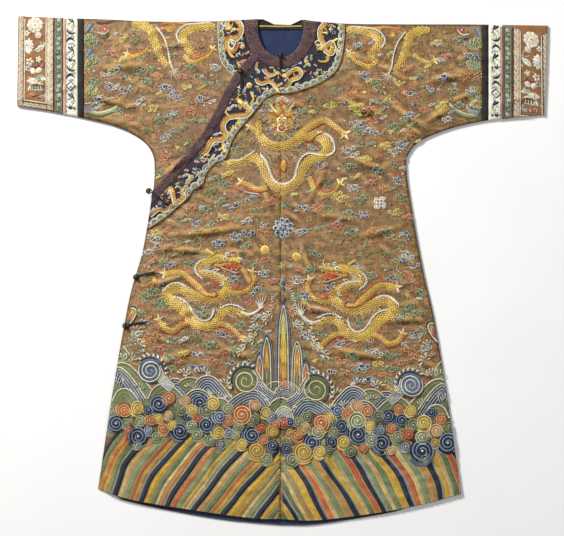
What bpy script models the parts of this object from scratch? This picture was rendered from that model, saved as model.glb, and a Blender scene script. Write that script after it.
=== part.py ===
"""A Chinese dragon robe, laid flat on its back.

Each half is cut in one with its sleeve and its back, folded along the shoulder and joined down the
side. The wearer's left front carries a great overlap, which crosses the chest, lies on the
underlap and closes down the wearer's right side with five frogs. X runs across the robe from its
centre seam, Y up towards the neck, Z up from the surface that it lies on.

Lengths in the tables are millimetres from the centre seam and from the shoulder line.
"""

import math

import bmesh
import bpy
from mathutils import Vector, geometry

MM = 0.001

# Thicknesses and the heights at which the layers lie, with no loft.
WALL = 1.8
SEAM_GAP = 0.3
FACING_THICK = 1.2
BINDING_THICK = 1.6
LINING_THICK = 1.0
LINING_UNDER = WALL + SEAM_GAP
FRONT_UNDER = LINING_UNDER + LINING_THICK + SEAM_GAP
OVERLAP_UNDER = FRONT_UNDER + WALL + 0.4
UNDERLAP_LOFT = 0.3

# The soft rise of the upper cloth between its edges.
PUFF = 1.2
EDGE_FADE = 70.0
MOST_LOFT = 2.3
CENTRE_RAMP = 170.0
HANG_WIDTH = 40.0
HANG_DROP = 5.3

# The neck strip climbs from the left shoulder onto the overlap as it comes down.
CLIMB_START = -15.0
CLIMB_LENGTH = 34.0

# How finely the cloth is divided.
CURVE_STEP = 27.0
CLOTH_STEP = 46.0
BACK_STEP = 92.0
CLEAR_OF_LINES = 0.42
MERGE = 1.5

# The top edge of each sleeve and shoulder, from the neck out to the cuff.
LEFT_TOP = (  # x, y
    (-60, 1.5),
    (-110, -1),
    (-197, -5),
    (-340, -5),
    (-450, 0),
    (-592, 5),
    (-694.6, 9.3),
)
RIGHT_TOP = (  # x, y
    (60, 0),
    (97, -5),
    (182, -11),
    (330, -12.5),
    (478, -12.7),
    (592, -14),
    (706.8, -15.9),
)

# Under each sleeve, round the underarm and down the side of the outer cloth.
LEFT_SIDE = (  # x, y
    (-698.3, -228),
    (-605, -244),
    (-512, -263),
    (-430, -285),
    (-371, -316),
    (-341, -352),
    (-334, -392),
    (-340, -458),
    (-365, -610),
    (-401, -740),
    (-446, -991),
    (-484, -1243),
)
RIGHT_SIDE = (  # x, y
    (697.2, -252),
    (605, -261),
    (520, -271),
    (440, -291),
    (370, -321),
    (338, -356),
    (332, -392),
    (344, -485),
    (375, -657),
    (407, -800),
    (445, -1029),
    (477.5, -1256),
)
# The side seam of the underlap and the back, tucked in behind the overlap.
SHARED_SIDE_ROWS = 7
LEFT_SEAM = (  # x, y
    (-338, -458),
    (-358, -610),
    (-391, -740),
    (-428, -991),
    (-437, -1268),
)

FRONT_HEM = (  # x, y
    (-484, -1243),
    (-394, -1272),
    (-241, -1298),
    (-80, -1320),
    (0, -1323),
    (97, -1326),
    (268, -1305),
    (390, -1280),
    (477.5, -1256),
)
UNDERLAP_HEM = (  # x, y
    (-437, -1268),
    (-380, -1266),
    (-241, -1284),
    (-80, -1304),
    (0, -1308),
)
LEFT_BACK_HEM = (  # x, y
    (-437, -1268),
    (-317, -1296),
    (-150, -1325),
    (0, -1339),
)
RIGHT_BACK_HEM = (  # x, y
    (477.5, -1256),
    (400, -1274),
    (335, -1293),
    (278, -1308),
    (97, -1337),
    (0, -1339),
)
BACK_HEM_STEP = 60.0
BACK_CENTRE_LOW = -1339.0

# The back's neck edge: up the centre seam, then out to the shoulder on each side.
BACK_CENTRE_TOP = -12.6
BACK_NECK_LEFT = (  # x, y, from the seam to the left shoulder
    (-17.2, -11.9),
    (-46.4, 1.7),
)
BACK_NECK_RIGHT = (  # x, y, from the right shoulder to the seam
    (53.8, 0.0),
    (25.2, -13.3),
)

# The neck opening and the strip that binds it: half ellipses below straight sides.
NECK_LEVEL = -19.0
NECK_HALF_WIDTH = 60.0
NECK_DEPTH = 81.7
NECK_BIND_HALF_WIDTH = 97.0
NECK_BIND_DEPTH = 109.5
NECK_ARC_STEPS = 14

# The middle of the strip that binds the overlap, from inside the neck strip past the underarm.
BINDING_HALF_WIDTH = 12.5
DIAGONAL = (  # x, y
    (-60, -92),
    (-86, -120),
    (-113, -153),
    (-137, -193),
    (-166, -253),
    (-200, -311),
    (-239, -358),
    (-278, -405),
    (-315, -444),
    (-352, -484),
)
OVERLAP_NECK_CORNER = (-48.0, -68.0)

# The outer edges of the embroidered facings.
MAIN_FACING_EDGE = (  # x, y
    (168, 20),
    (168, -57),
    (150, -130),
    (97, -171),
    (29, -194),
    (-28, -201),
    (-73, -248),
    (-124, -312),
    (-145, -366),
    (-176, -383),
    (-198, -409),
    (-205, -434),
    (-230, -452),
    (-250, -478),
    (-280, -503),
    (-314, -531),
    (-360, -560),
)
LEFT_FACING_EDGE = (  # x, y
    (-167, 20),
    (-167, -40),
    (-162, -100),
    (-150, -124),
    (-118, -156),
)

# Bands round the sleeve ends: how far from the centre seam each starts and ends.
BANDS = (  # name, left start, left end, right start, right end
    ("black", 520.7, 537.2, 533.4, 549.9),
    ("floral", 537.2, 575.6, 549.9, 587.0),
    ("green", 575.6, 600.8, 587.0, 614.8),
    ("wide", 600.8, 720.0, 614.8, 720.0),
)

# Creases: middle, direction in degrees, half length, half width, rise (a trough is below zero).
FOLDS = (  # x, y, angle, half_length, half_width, rise
    (210, -232, -22, 75, 26, 1.0),
    (228, -380, -24, 60, 24, 0.8),
    (330, -250, -35, 90, 30, -0.9),
    (96, -765, -15, 70, 24, 0.9),
    (199, -881, -12, 90, 28, 1.0),
    (318, -793, 3, 80, 26, 0.8),
    (-450, -268, -12, 95, 24, 1.0),
    (-420, -120, 8, 120, 40, -0.7),
    (-280, -388, 32, 90, 26, 0.8),
    (-190, -560, 6, 150, 30, 0.9),
    (-230, -640, -8, 140, 30, -0.8),
    (-300, -900, 14, 120, 34, 0.8),
    (-180, -1060, 80, 160, 30, 0.7),
    (250, -1090, 98, 170, 32, 0.8),
    (440, -150, 12, 110, 36, 0.8),
    (-7, -1200, 90, 150, 14, -1.0),
)

# Frogs: button, near end of the strip, far end of the strip, and what each lies on. The neck's
# button hangs in the neck opening; the others lie on the cloth.
FROGS = (  # name, button x, y, near x, y, far x, y, on_binding, button_on_cloth
    ("neck", -0.8, -94.3, -0.8, -105, -0.8, -155, True, False),
    ("clavicle", -106, -138, -105.5, -148.5, -102, -186, True, True),
    ("underarm", -349, -454, -338.5, -457, -301, -490, True, True),
    ("waist", -382.5, -682, -373, -677, -332, -669, False, True),
    ("hip", -411, -811, -401, -807, -355, -802, False, True),
)
BUTTON_RADIUS = 5.0
BUTTON_RINGS = 8
BUTTON_SEGMENTS = 14
LOOP_RADIUS = 6.6
LOOP_WIRE = 1.4
LOOP_SEGMENTS = 16
STRIP_WIDTH = 6.0
STRIP_THICK = 2.2
STRIP_STEPS = 5

# The yellow piping across the back neck.
PIPING_REACH = 57.0
PIPING_Y = (-16.2, -19.8)
PIPING_THICK = 1.8
NECK_FACING_REACH = 59.3
NECK_FACING_LOW = -24.0
NECK_LINING_REACH = 74.0
NECK_LINING_LOW = -118.0
NECK_FACING_TOP = (  # x, y, from its left end to its right end
    (-59.3, 0.5),
    (-46.4, 0.7),
    (-17.2, -13.2),
    (25.2, -14.6),
    (53.8, -1.0),
    (59.3, -1.0),
)
HEM_LINING_REACH = (-431.0, 352.0)
HEM_LINING_STEP = 45.0
HEM_LINING_UNDER_FRONT = 11.0
HEM_LINING_INSET = 1.6

# How far the facings' shapes run on beyond the cloth that they are cut from.
PAST_THE_SIDE = ((-420, -560), (-420, -484))
INSIDE_THE_NECK = ((0, 0), (60, 60))
UNDER_THE_NECK_STRIP = ((-60, -100), (-60, 20))

# The band seams cross each sleeve from above its top edge to below its lower one.
SLEEVE_ABOVE = 40.0
SLEEVE_BELOW = -300.0
BAND_LINE_STEP = 60.0

COLOURS = {  # red, green, blue, roughness, metallic
    "satin": (0.23, 0.115, 0.045, 0.5, 0.0),
    "navy": (0.012, 0.012, 0.04, 0.55, 0.0),
    "brocade": (0.065, 0.032, 0.04, 0.7, 0.0),
    "black": (0.01, 0.009, 0.009, 0.7, 0.0),
    "lining": (0.016, 0.03, 0.11, 0.6, 0.0),
    "piping": (0.5, 0.42, 0.12, 0.6, 0.0),
    "floral": (0.75, 0.74, 0.62, 0.6, 0.0),
    "green": (0.22, 0.25, 0.16, 0.6, 0.0),
    "wide": (0.5, 0.38, 0.24, 0.6, 0.0),
    "brass": (0.6, 0.42, 0.12, 0.35, 1.0),
}


# Curves in the plan ---------------------------------------------------------------------------


def smooth_step(value):
    t = min(max(value, 0.0), 1.0)
    return t * t * (3 - 2 * t)


def curve_through(rows, step=CURVE_STEP):
    """A smooth curve through the rows, with a point about every step."""
    points = [Vector(row) for row in rows]
    first = points[0] * 2 - points[1]
    last = points[-1] * 2 - points[-2]
    run = [first] + points + [last]
    found = [points[0]]
    for a, b, c, d in zip(run, run[1:], run[2:], run[3:]):
        count = max(1, round((c - b).length / step))
        for i in range(1, count + 1):
            t = i / count
            found.append(
                (
                    b * 2
                    + (c - a) * t
                    + (a * 2 - b * 5 + c * 4 - d) * t**2
                    + (b * 3 - a - c * 3 + d) * t**3
                )
                / 2
            )
    return found


def straight(a, b, step=CURVE_STEP):
    a, b = Vector(a), Vector(b)
    count = max(1, round((b - a).length / step))
    return [a.lerp(b, i / count) for i in range(count + 1)]


def neck_arc(half_width, depth):
    """The half ellipse below the neck level, from its left end to its right end."""
    steps = NECK_ARC_STEPS
    return [
        Vector(
            (
                -half_width * math.cos(math.pi * i / steps),
                NECK_LEVEL - depth * math.sin(math.pi * i / steps),
            )
        )
        for i in range(steps + 1)
    ]


def beside(points, distance):
    """The curve at a distance to the left of its direction."""
    found = []
    for i, point in enumerate(points):
        before = points[max(i - 1, 0)]
        after = points[min(i + 1, len(points) - 1)]
        along = (after - before).normalized()
        found.append(point + Vector((-along.y, along.x)) * distance)
    return found


def inside(point, polygon):
    """Whether a point lies inside a polygon, counted by crossings."""
    x, y = point
    found = False
    for a, b in zip(polygon, polygon[1:] + polygon[:1]):
        if (a.y > y) != (b.y > y):
            if x < a.x + (y - a.y) * (b.x - a.x) / (b.y - a.y):
                found = not found
    return found


def distance_to(point, line):
    best = math.inf
    for a, b in zip(line, line[1:]):
        span = b - a
        t = (point - a).dot(span) / max(span.length_squared, 1e-9)
        best = min(best, (point - (a + span * min(max(t, 0.0), 1.0))).length)
    return best


# Every named curve of the robe's plan.
left_top = curve_through(LEFT_TOP)
right_top = curve_through(RIGHT_TOP)
left_side = curve_through(LEFT_SIDE)
right_side = curve_through(RIGHT_SIDE)
front_hem = curve_through(FRONT_HEM)
left_seam = curve_through(LEFT_SIDE[:SHARED_SIDE_ROWS] + LEFT_SEAM)
neck_line = neck_arc(NECK_HALF_WIDTH, NECK_DEPTH)
bind_line = neck_arc(NECK_BIND_HALF_WIDTH, NECK_BIND_DEPTH)
diagonal = curve_through(DIAGONAL)
diagonal_outer = beside(diagonal, -BINDING_HALF_WIDTH)
diagonal_inner = beside(diagonal, BINDING_HALF_WIDTH)
left_cuff = straight(left_top[-1], left_side[0])
right_cuff = straight(right_side[0], right_top[-1])

front_outline = (
    left_top
    + left_cuff[1:]
    + left_side[1:]
    + front_hem[1:]
    + right_side[-2::-1]
    + right_cuff[1:]
    + right_top[-2::-1]
    + neck_line[::-1]
)
loft_edges = front_outline[: len(front_outline) - len(neck_line)]

FAR = 900.0
neck_side = Vector((NECK_BIND_HALF_WIDTH, 40.0))
binding_neck_area = (
    [Vector((-neck_side.x, neck_side.y))] + bind_line + [neck_side]
)
binding_overlap_area = diagonal_outer + diagonal_inner[::-1]
overlap_area = (
    [Vector(OVERLAP_NECK_CORNER)]
    + diagonal_outer
    + [Vector((-FAR, diagonal_outer[-1].y)), Vector((-FAR, -2 * FAR)), Vector((0, -2 * FAR))]
    + [Vector((0, NECK_LEVEL))]
)
main_facing_line = curve_through(MAIN_FACING_EDGE)
left_facing_line = curve_through(LEFT_FACING_EDGE)
main_facing_area = (
    main_facing_line
    + [Vector(p) for p in PAST_THE_SIDE]
    + diagonal[::-1]
    + [Vector(p) for p in INSIDE_THE_NECK]
)
left_facing_area = left_facing_line + [Vector(p) for p in UNDER_THE_NECK_STRIP]
underlap_area = (
    left_top
    + [Vector((-FAR, left_top[-1].y)), Vector((-FAR, left_seam[0].y))]
    + left_seam
    + curve_through(UNDERLAP_HEM)[1:]
    + [Vector((0, NECK_LEVEL))]
)


# Heights ----------------------------------------------------------------------------------------


def loft(x, y):
    """How far the upper cloth stands above its flat lay: a low puff, and the main creases."""
    point = Vector((x, y))
    fade = smooth_step(distance_to(point, loft_edges) / EDGE_FADE)
    rise = PUFF
    for fold_x, fold_y, angle, half_length, half_width, height in FOLDS:
        turn = math.radians(angle)
        offset = point - Vector((fold_x, fold_y))
        along = offset.x * math.cos(turn) + offset.y * math.sin(turn)
        across = offset.y * math.cos(turn) - offset.x * math.sin(turn)
        if abs(along) < half_length:
            end = math.cos(along / half_length * math.pi / 2) ** 2
            rise += height * end * math.exp(-((across / half_width) ** 2))
    return min(max(rise, 0.0), MOST_LOFT) * fade


def seam_reach(y):
    """Where the underlap's side seam runs at a height, below the underarm."""
    rows = [p for p in left_seam if p.y < LEFT_SIDE[SHARED_SIDE_ROWS - 1][1]]
    for upper, lower in zip(rows, rows[1:]):
        if lower.y <= y <= upper.y:
            t = (upper.y - y) / (upper.y - lower.y)
            return upper.x + (lower.x - upper.x) * t
    return rows[-1].x if y < rows[-1].y else -FAR


def under_left_front(x, y):
    return FRONT_UNDER + UNDERLAP_LOFT * loft(x, y)


def under_right_front(x, y):
    ramp = 1 - smooth_step(x / CENTRE_RAMP)
    return FRONT_UNDER + loft(x, y) + (OVERLAP_UNDER - FRONT_UNDER) * ramp


def under_overlap(x, y):
    """The overlap lies on the underlap, and hangs down to the surface past its side seam."""
    past = smooth_step((seam_reach(y) - 3 - x) / HANG_WIDTH)
    return OVERLAP_UNDER + loft(x, y) - HANG_DROP * past


def under_sleeve_band(x, y):
    return FRONT_UNDER + (UNDERLAP_LOFT if x < 0 else 1.0) * loft(x, y)


def on_outer(x, y):
    """Just above the overlap and the right front."""
    under = under_overlap(x, y) if x < 0 else under_right_front(x, y)
    return under + WALL + SEAM_GAP


def on_left_front(x, y):
    return under_left_front(x, y) + WALL + SEAM_GAP


def on_neck(x, y):
    """Under the neck strip, which climbs from the left shoulder onto the overlap."""
    if x >= 0:
        return on_outer(x, y)
    climb = smooth_step((CLIMB_START - y) / CLIMB_LENGTH)
    low, high = on_left_front(x, y), on_outer(x, y)
    return low + (high - low) * climb


# The division of the plan into triangles ------------------------------------------------------


def triangulate(lines, step, area=None):
    """Points and triangles of the plan, with every line along edges of the triangles."""
    points = []
    edges = []
    for line in lines:
        start = len(points)
        points += line
        edges += [(start + i, start + i + 1) for i in range(len(line) - 1)]
    xs = [p.x for p in points]
    ys = [p.y for p in points]
    row_step = step * 0.866
    for row in range(int((max(ys) - min(ys)) / row_step)):
        y = min(ys) + (row + 0.5) * row_step
        for column in range(int((max(xs) - min(xs)) / step) + 1):
            point = Vector((min(xs) + (column + 0.5 * (row % 2)) * step, y))
            if area is not None and not inside(point, area):
                continue
            if min(distance_to(point, line) for line in lines) > step * CLEAR_OF_LINES:
                points.append(point)
    found, _, faces, *_ = geometry.delaunay_2d_cdt(points, edges, [], 1, MERGE)
    return [Vector(p) for p in found], [tuple(f) for f in faces]


band_lines = []
for _, left_start, _, right_start, _ in BANDS:
    for start in (-left_start, right_start):
        band_lines.append(straight((start, SLEEVE_ABOVE), (start, SLEEVE_BELOW), BAND_LINE_STEP))

plan_lines = [
    front_outline + front_outline[:1],
    left_seam,
    curve_through(UNDERLAP_HEM),
    straight((0, NECK_LEVEL - NECK_DEPTH), (0, -1380), 45),
    [Vector(OVERLAP_NECK_CORNER), diagonal_outer[0]],
    diagonal_outer,
    diagonal_inner,
    binding_neck_area,
    main_facing_line,
    left_facing_line,
] + band_lines
plan_points, plan_faces = triangulate(plan_lines, CLOTH_STEP, front_outline)


def middle(face):
    return sum((plan_points[i] for i in face), Vector((0, 0))) / 3


plan_middles = [middle(face) for face in plan_faces]
plan_inside = [inside(m, front_outline) for m in plan_middles]
in_neck_binding = [inside(m, binding_neck_area) for m in plan_middles]
in_diagonal = [inside(m, binding_overlap_area) for m in plan_middles]
in_overlap = [m.x < 0 and inside(m, overlap_area) for m in plan_middles]


def faces_where(rule):
    """The plan's triangles inside the robe for which the rule holds, as one sheet."""
    return largest_part(
        [
            face
            for i, face in enumerate(plan_faces)
            if plan_inside[i] and rule(i, plan_middles[i])
        ]
    )


def largest_part(faces):
    """The largest group of triangles that join edge to edge."""
    beside_edge = {}
    for k, face in enumerate(faces):
        for a, b in zip(face, face[1:] + face[:1]):
            beside_edge.setdefault(frozenset((a, b)), []).append(k)
    waiting = set(range(len(faces)))
    best = []
    while waiting:
        group = [waiting.pop()]
        for k in group:
            face = faces[k]
            for a, b in zip(face, face[1:] + face[:1]):
                for other in beside_edge[frozenset((a, b))]:
                    if other in waiting:
                        waiting.discard(other)
                        group.append(other)
        if len(group) > len(best):
            best = group
    return [faces[k] for k in sorted(best)]


def loops_of(faces):
    """The boundary of some triangles, as closed runs of point numbers, the cloth on their left."""
    following = {}
    directed = {(f[k], f[(k + 1) % 3]) for f in faces for k in range(3)}
    for a, b in directed:
        if (b, a) not in directed:
            following[a] = b
    loops = []
    while following:
        start = min(following)
        loop = [start]
        here = following.pop(start)
        while here != start:
            loop.append(here)
            here = following.pop(here)
        loops.append(loop)
    return loops


def moved_in(points, loop, distance):
    """The places of a loop's points, moved into the cloth on its left."""
    places = {}
    for before, here, after in zip(loop[-1:] + loop[:-1], loop, loop[1:] + loop[:1]):
        into = Vector((0, 0))
        for a, b in ((before, here), (here, after)):
            along = (points[b] - points[a]).normalized()
            into += Vector((-along.y, along.x))
        scale = min(1 / max(into.length / 2, 0.1), 2.0)
        places[here] = points[here] + into.normalized() * distance * scale
    return places


# Solids -----------------------------------------------------------------------------------------


def material_of(name):
    red, green, blue, roughness, metallic = COLOURS[name]
    material = bpy.data.materials.new(name)
    material.use_nodes = True
    shader = material.node_tree.nodes["Principled BSDF"]
    shader.inputs["Base Color"].default_value = (red, green, blue, 1)
    shader.inputs["Roughness"].default_value = roughness
    shader.inputs["Metallic"].default_value = metallic
    return material


def finish(name, points, faces, colour):
    """An object from points in millimetres, its faces turned outwards."""
    mesh = bpy.data.meshes.new(name)
    mesh.from_pydata([Vector(p) * MM for p in points], [], faces)
    body = bmesh.new()
    body.from_mesh(mesh)
    bmesh.ops.remove_doubles(body, verts=body.verts, dist=MM * 1e-3)
    bmesh.ops.recalc_face_normals(body, faces=body.faces)
    if body.calc_volume(signed=True) < 0:
        bmesh.ops.reverse_faces(body, faces=body.faces)
    body.to_mesh(mesh)
    body.free()
    mesh.materials.append(material_of(colour))
    placed = bpy.data.objects.new(name, mesh)
    bpy.context.collection.objects.link(placed)
    return placed


def laid(name, points, faces, under, thickness, colour):
    """A slab of cloth: triangles of the plan, lifted, with a rim all round."""
    loops = loops_of(faces)
    places = {i: points[i] for face in faces for i in face}
    for loop in loops:
        places.update(moved_in(points, loop, SEAM_GAP / 2))
    order = {number: k for k, number in enumerate(places)}
    count = len(order)
    heights = {n: under(points[n].x, points[n].y) for n in places}
    low = [(p.x, p.y, heights[n]) for n, p in places.items()]
    high = [(x, y, z + thickness) for x, y, z in low]
    shape = [tuple(order[i] + count for i in face) for face in faces]
    shape += [tuple(order[i] for i in face[::-1]) for face in faces]
    for loop in loops:
        for a, b in zip(loop, loop[1:] + loop[:1]):
            a, b = order[a], order[b]
            shape.append((a, b, b + count, a + count))
    return finish(name, low + high, shape, colour)


def folded(name, faces, under, seams, colour, back_runs=None):
    """Cloth folded over itself: a lifted front and a flat back, one sheet at the seams.

    seams are the curves along which front and back are joined. back_runs gives the back's own
    edge between the end of the last seam and the start of the first, or None for the front's.
    """
    (loop,) = loops_of(faces)
    edge = moved_in(plan_points, loop, SEAM_GAP / 2)
    joined = {n for n in loop if min(distance_to(plan_points[n], s) for s in seams) < 2 * MERGE}
    back_places, back_faces, back_loop = back_sheet(loop, edge, joined, faces, back_runs)
    points = []
    numbers = {}

    def add(key, place, height):
        numbers[key] = len(points)
        points.append((place.x, place.y, height))

    inward = moved_in(plan_points, loop, SEAM_GAP / 2 + WALL)
    front = {i: edge.get(i, plan_points[i]) for face in faces for i in face}
    for n, place in front.items():
        height = under(plan_points[n].x, plan_points[n].y)
        add(("top", n), place, height + WALL)
        add(("ceiling", n), inward[n] if n in joined else place, height)
    for n, place in back_places.items():
        add(("bottom", n), place, 0.0)
        add(("floor", n), inward[n] if n in joined else place, WALL)

    shape = []
    for face in faces:
        shape.append([numbers["top", i] for i in face])
        shape.append([numbers["ceiling", i] for i in face[::-1]])
    for face in back_faces:
        shape.append([numbers["bottom", i] for i in face[::-1]])
        shape.append([numbers["floor", i] for i in face])

    def wall(upper, lower, a, b):
        shape.append([numbers[upper, a], numbers[upper, b], numbers[lower, b], numbers[lower, a]])

    ends = set()
    back_edges = set(zip(back_loop, back_loop[1:] + back_loop[:1]))
    for a, b in zip(loop, loop[1:] + loop[:1]):
        if a in joined and b in joined and (a, b) in back_edges:
            wall("top", "bottom", a, b)
            wall("ceiling", "floor", a, b)
            back_edges.discard((a, b))
        else:
            wall("top", "ceiling", a, b)
            ends |= {n for n in (a, b) if n in joined}
    for a, b in back_edges:
        wall("bottom", "floor", a, b)
    for n in ends:
        shape.append([numbers[part, n] for part in ("top", "ceiling", "floor", "bottom")])
    return finish(name, points, shape, colour)


def up_to_open_edge(loop, joined):
    """The part of a loop that leaves out its longest run of points that no seam joins."""
    best = []
    for at, n in enumerate(loop):
        turned = loop[at:] + loop[:at]
        last = max(k for k, m in enumerate(turned) if m in joined)
        if n in joined and (not best or last + 1 < len(best)):
            best = turned[: last + 1]
    return best


def back_sheet(loop, edge, joined, faces, back_runs):
    """The back's points, triangles and edge; it shares its joined points with the front."""
    if back_runs is None:
        places = {i: edge.get(i, plan_points[i]) for face in faces for i in face}
        return places, faces, loop
    shared = up_to_open_edge(loop, joined)
    outline = [edge[n] for n in shared] + [Vector(p) for p in back_runs]
    closed = outline + outline[:1]
    points, triangles = triangulate([closed], BACK_STEP, outline)
    keep = [f for f in triangles if inside(sum((points[i] for i in f), Vector((0, 0))) / 3, outline)]
    names = {}
    for n in shared:
        nearest = min(range(len(points)), key=lambda k: (points[k] - edge[n]).length)
        names[nearest] = n
    label = {k: names.get(k, ("back", k)) for face in keep for k in face}
    places = {label[k]: points[k] for k in label}
    triangles = [tuple(label[k] for k in face) for face in keep]
    (back_loop,) = loops_of_labels(triangles)
    return places, triangles, back_loop


def loops_of_labels(faces):
    """As loops_of, for points that go by labels."""
    labels = list(dict.fromkeys(i for face in faces for i in face))
    number = {label: k for k, label in enumerate(labels)}
    loops = loops_of([tuple(number[i] for i in face) for face in faces])
    return [[labels[k] for k in loop] for loop in loops]


def flat_slab(name, outline, low, thickness, colour):
    """A thin flat piece with its own outline."""
    outline = [Vector(p) for p in outline]
    points, triangles = triangulate([outline + outline[:1]], BACK_STEP, outline)
    keep = [f for f in triangles if inside(sum((points[i] for i in f), Vector((0, 0))) / 3, outline)]
    return laid(name, points, keep, lambda x, y: low, thickness, colour)


# The pieces -------------------------------------------------------------------------------------


def clear_scene():
    for thing in list(bpy.data.objects):
        bpy.data.objects.remove(thing, do_unlink=True)


def make_halves():
    left_end, right_start = -BANDS[0][1], BANDS[0][3]

    def on_left(i, m):
        return m.x < 0 and m.x > left_end and inside(m, underlap_area)

    def on_right(i, m):
        return 0 < m.x < right_start

    seam = SEAM_GAP / 2
    left_back = curve_through(LEFT_BACK_HEM, BACK_HEM_STEP)[1:-1]
    left_back += [Vector((-seam, BACK_CENTRE_LOW)), Vector((-seam, BACK_CENTRE_TOP))]
    left_back += [Vector(p) for p in BACK_NECK_LEFT]
    right_back = [Vector(p) for p in BACK_NECK_RIGHT]
    right_back += [Vector((seam, BACK_CENTRE_TOP)), Vector((seam, BACK_CENTRE_LOW))]
    right_back += curve_through(RIGHT_BACK_HEM, BACK_HEM_STEP)[-2:0:-1]
    left, right = faces_where(on_left), faces_where(on_right)
    folded("half_left", left, under_left_front, (left_top, left_seam), "satin", left_back)
    folded("half_right", right, under_right_front, (right_top, right_side), "satin", right_back)
    laid("overlap", plan_points, faces_where(lambda i, m: in_overlap[i]), under_overlap, WALL, "satin")


def make_bands():
    for name, left_start, left_end, right_start, right_end in BANDS:
        left = faces_where(lambda i, m: -left_end < m.x < -left_start and m.y > SLEEVE_BELOW)
        right = faces_where(lambda i, m: right_start < m.x < right_end and m.y > SLEEVE_BELOW)
        folded(f"band_{name}_left", left, under_sleeve_band, (left_top, left_side), name)
        folded(f"band_{name}_right", right, under_sleeve_band, (right_top, right_side), name)


def make_facings():
    main = faces_where(
        lambda i, m: (in_overlap[i] or m.x > 0)
        and inside(m, main_facing_area)
        and not in_neck_binding[i]
        and not in_diagonal[i]
    )
    left = faces_where(
        lambda i, m: m.x < 0
        and inside(m, left_facing_area)
        and not in_neck_binding[i]
        and not in_overlap[i]
    )
    laid("facing_main", plan_points, main, on_outer, FACING_THICK, "navy")
    laid("facing_left", plan_points, left, on_left_front, FACING_THICK, "navy")


def make_bindings():
    neck = faces_where(lambda i, m: in_neck_binding[i])
    edge = faces_where(lambda i, m: in_diagonal[i] and in_overlap[i] and not in_neck_binding[i])
    laid("binding_neck", plan_points, neck, on_neck, BINDING_THICK, "brocade")
    laid("binding_overlap", plan_points, edge, on_outer, BINDING_THICK, "brocade")


def make_inside():
    """What shows inside the neck and along the back hem."""
    reach = NECK_FACING_REACH
    facing = list(NECK_FACING_TOP) + [(reach, NECK_FACING_LOW), (-reach, NECK_FACING_LOW)]
    flat_slab("neck_facing", facing, LINING_UNDER, LINING_THICK, "black")
    reach = NECK_LINING_REACH
    lining = [(-reach, NECK_FACING_LOW), (reach, NECK_FACING_LOW)]
    lining += [(reach, NECK_LINING_LOW), (-reach, NECK_LINING_LOW)]
    flat_slab("lining_neck", lining, LINING_UNDER, LINING_THICK, "lining")
    reach = PIPING_REACH
    piping = [(-reach, PIPING_Y[0]), (reach, PIPING_Y[0]), (reach, PIPING_Y[1]), (-reach, PIPING_Y[1])]
    piping_low = LINING_UNDER + LINING_THICK + SEAM_GAP
    flat_slab("neck_piping", piping, piping_low, PIPING_THICK, "piping")

    start, end = HEM_LINING_REACH
    step = HEM_LINING_STEP
    back = curve_through(LEFT_BACK_HEM, step) + curve_through(RIGHT_BACK_HEM, step)[-2::-1]
    lower = [p + Vector((0, HEM_LINING_INSET)) for p in back if start < p.x < end]
    front = curve_through(FRONT_HEM, step)
    upper = [p + Vector((0, HEM_LINING_UNDER_FRONT)) for p in front if start < p.x < end]
    flat_slab("lining_hem", lower + upper[::-1], LINING_UNDER, LINING_THICK, "lining")


def ball(name, centre, radius, colour):
    """A cast ball button."""
    body = bmesh.new()
    bmesh.ops.create_uvsphere(body, u_segments=BUTTON_SEGMENTS, v_segments=BUTTON_RINGS, radius=radius * MM)
    bmesh.ops.translate(body, verts=body.verts, vec=Vector(centre) * MM)
    mesh = bpy.data.meshes.new(name)
    body.to_mesh(mesh)
    body.free()
    mesh.shade_smooth()
    mesh.materials.append(material_of(colour))
    bpy.context.collection.objects.link(bpy.data.objects.new(name, mesh))


def ring(name, centre, radius, wire, opening, colour):
    """The cord loop round a button's neck: most of a circle, open towards its strip."""
    points = []
    faces = []
    sides = 6
    sweep = math.radians(300)
    for i in range(LOOP_SEGMENTS + 1):
        turn = opening + math.pi - sweep / 2 + sweep * i / LOOP_SEGMENTS
        for k in range(sides):
            across = 2 * math.pi * k / sides
            reach = radius + wire * math.cos(across)
            points.append(
                (
                    centre[0] + reach * math.cos(turn),
                    centre[1] + reach * math.sin(turn),
                    centre[2] + wire * math.sin(across),
                )
            )
    for i in range(LOOP_SEGMENTS):
        for k in range(sides):
            a, b = i * sides + k, i * sides + (k + 1) % sides
            faces.append((a, b, b + sides, a + sides))
    last = LOOP_SEGMENTS * sides
    faces.append(tuple(range(sides)))
    faces.append(tuple(last + k for k in range(sides)))
    finish(name, points, faces, colour).data.shade_smooth()


def strip(name, near, far, low, colour):
    """A folded silk strip, flat below and crowned above, lying on the cloth."""
    near, far = Vector(near), Vector(far)
    along = (far - near).normalized()
    side = Vector((-along.y, along.x)) * STRIP_WIDTH / 2
    points = []
    faces = []
    for i in range(STRIP_STEPS + 1):
        middle_point = near.lerp(far, i / STRIP_STEPS)
        for reach, height in ((-1, 0), (1, 0), (1, 0.7), (0.5, 1), (-0.5, 1), (-1, 0.7)):
            place = middle_point + side * reach
            points.append((place.x, place.y, low + STRIP_THICK * height))
    sides = 6
    for i in range(STRIP_STEPS):
        for k in range(sides):
            a, b = i * sides + k, i * sides + (k + 1) % sides
            faces.append((a, b, b + sides, a + sides))
    last = STRIP_STEPS * sides
    faces.append(tuple(range(sides)))
    faces.append(tuple(last + k for k in range(sides)))
    finish(name, points, faces, colour)


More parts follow.
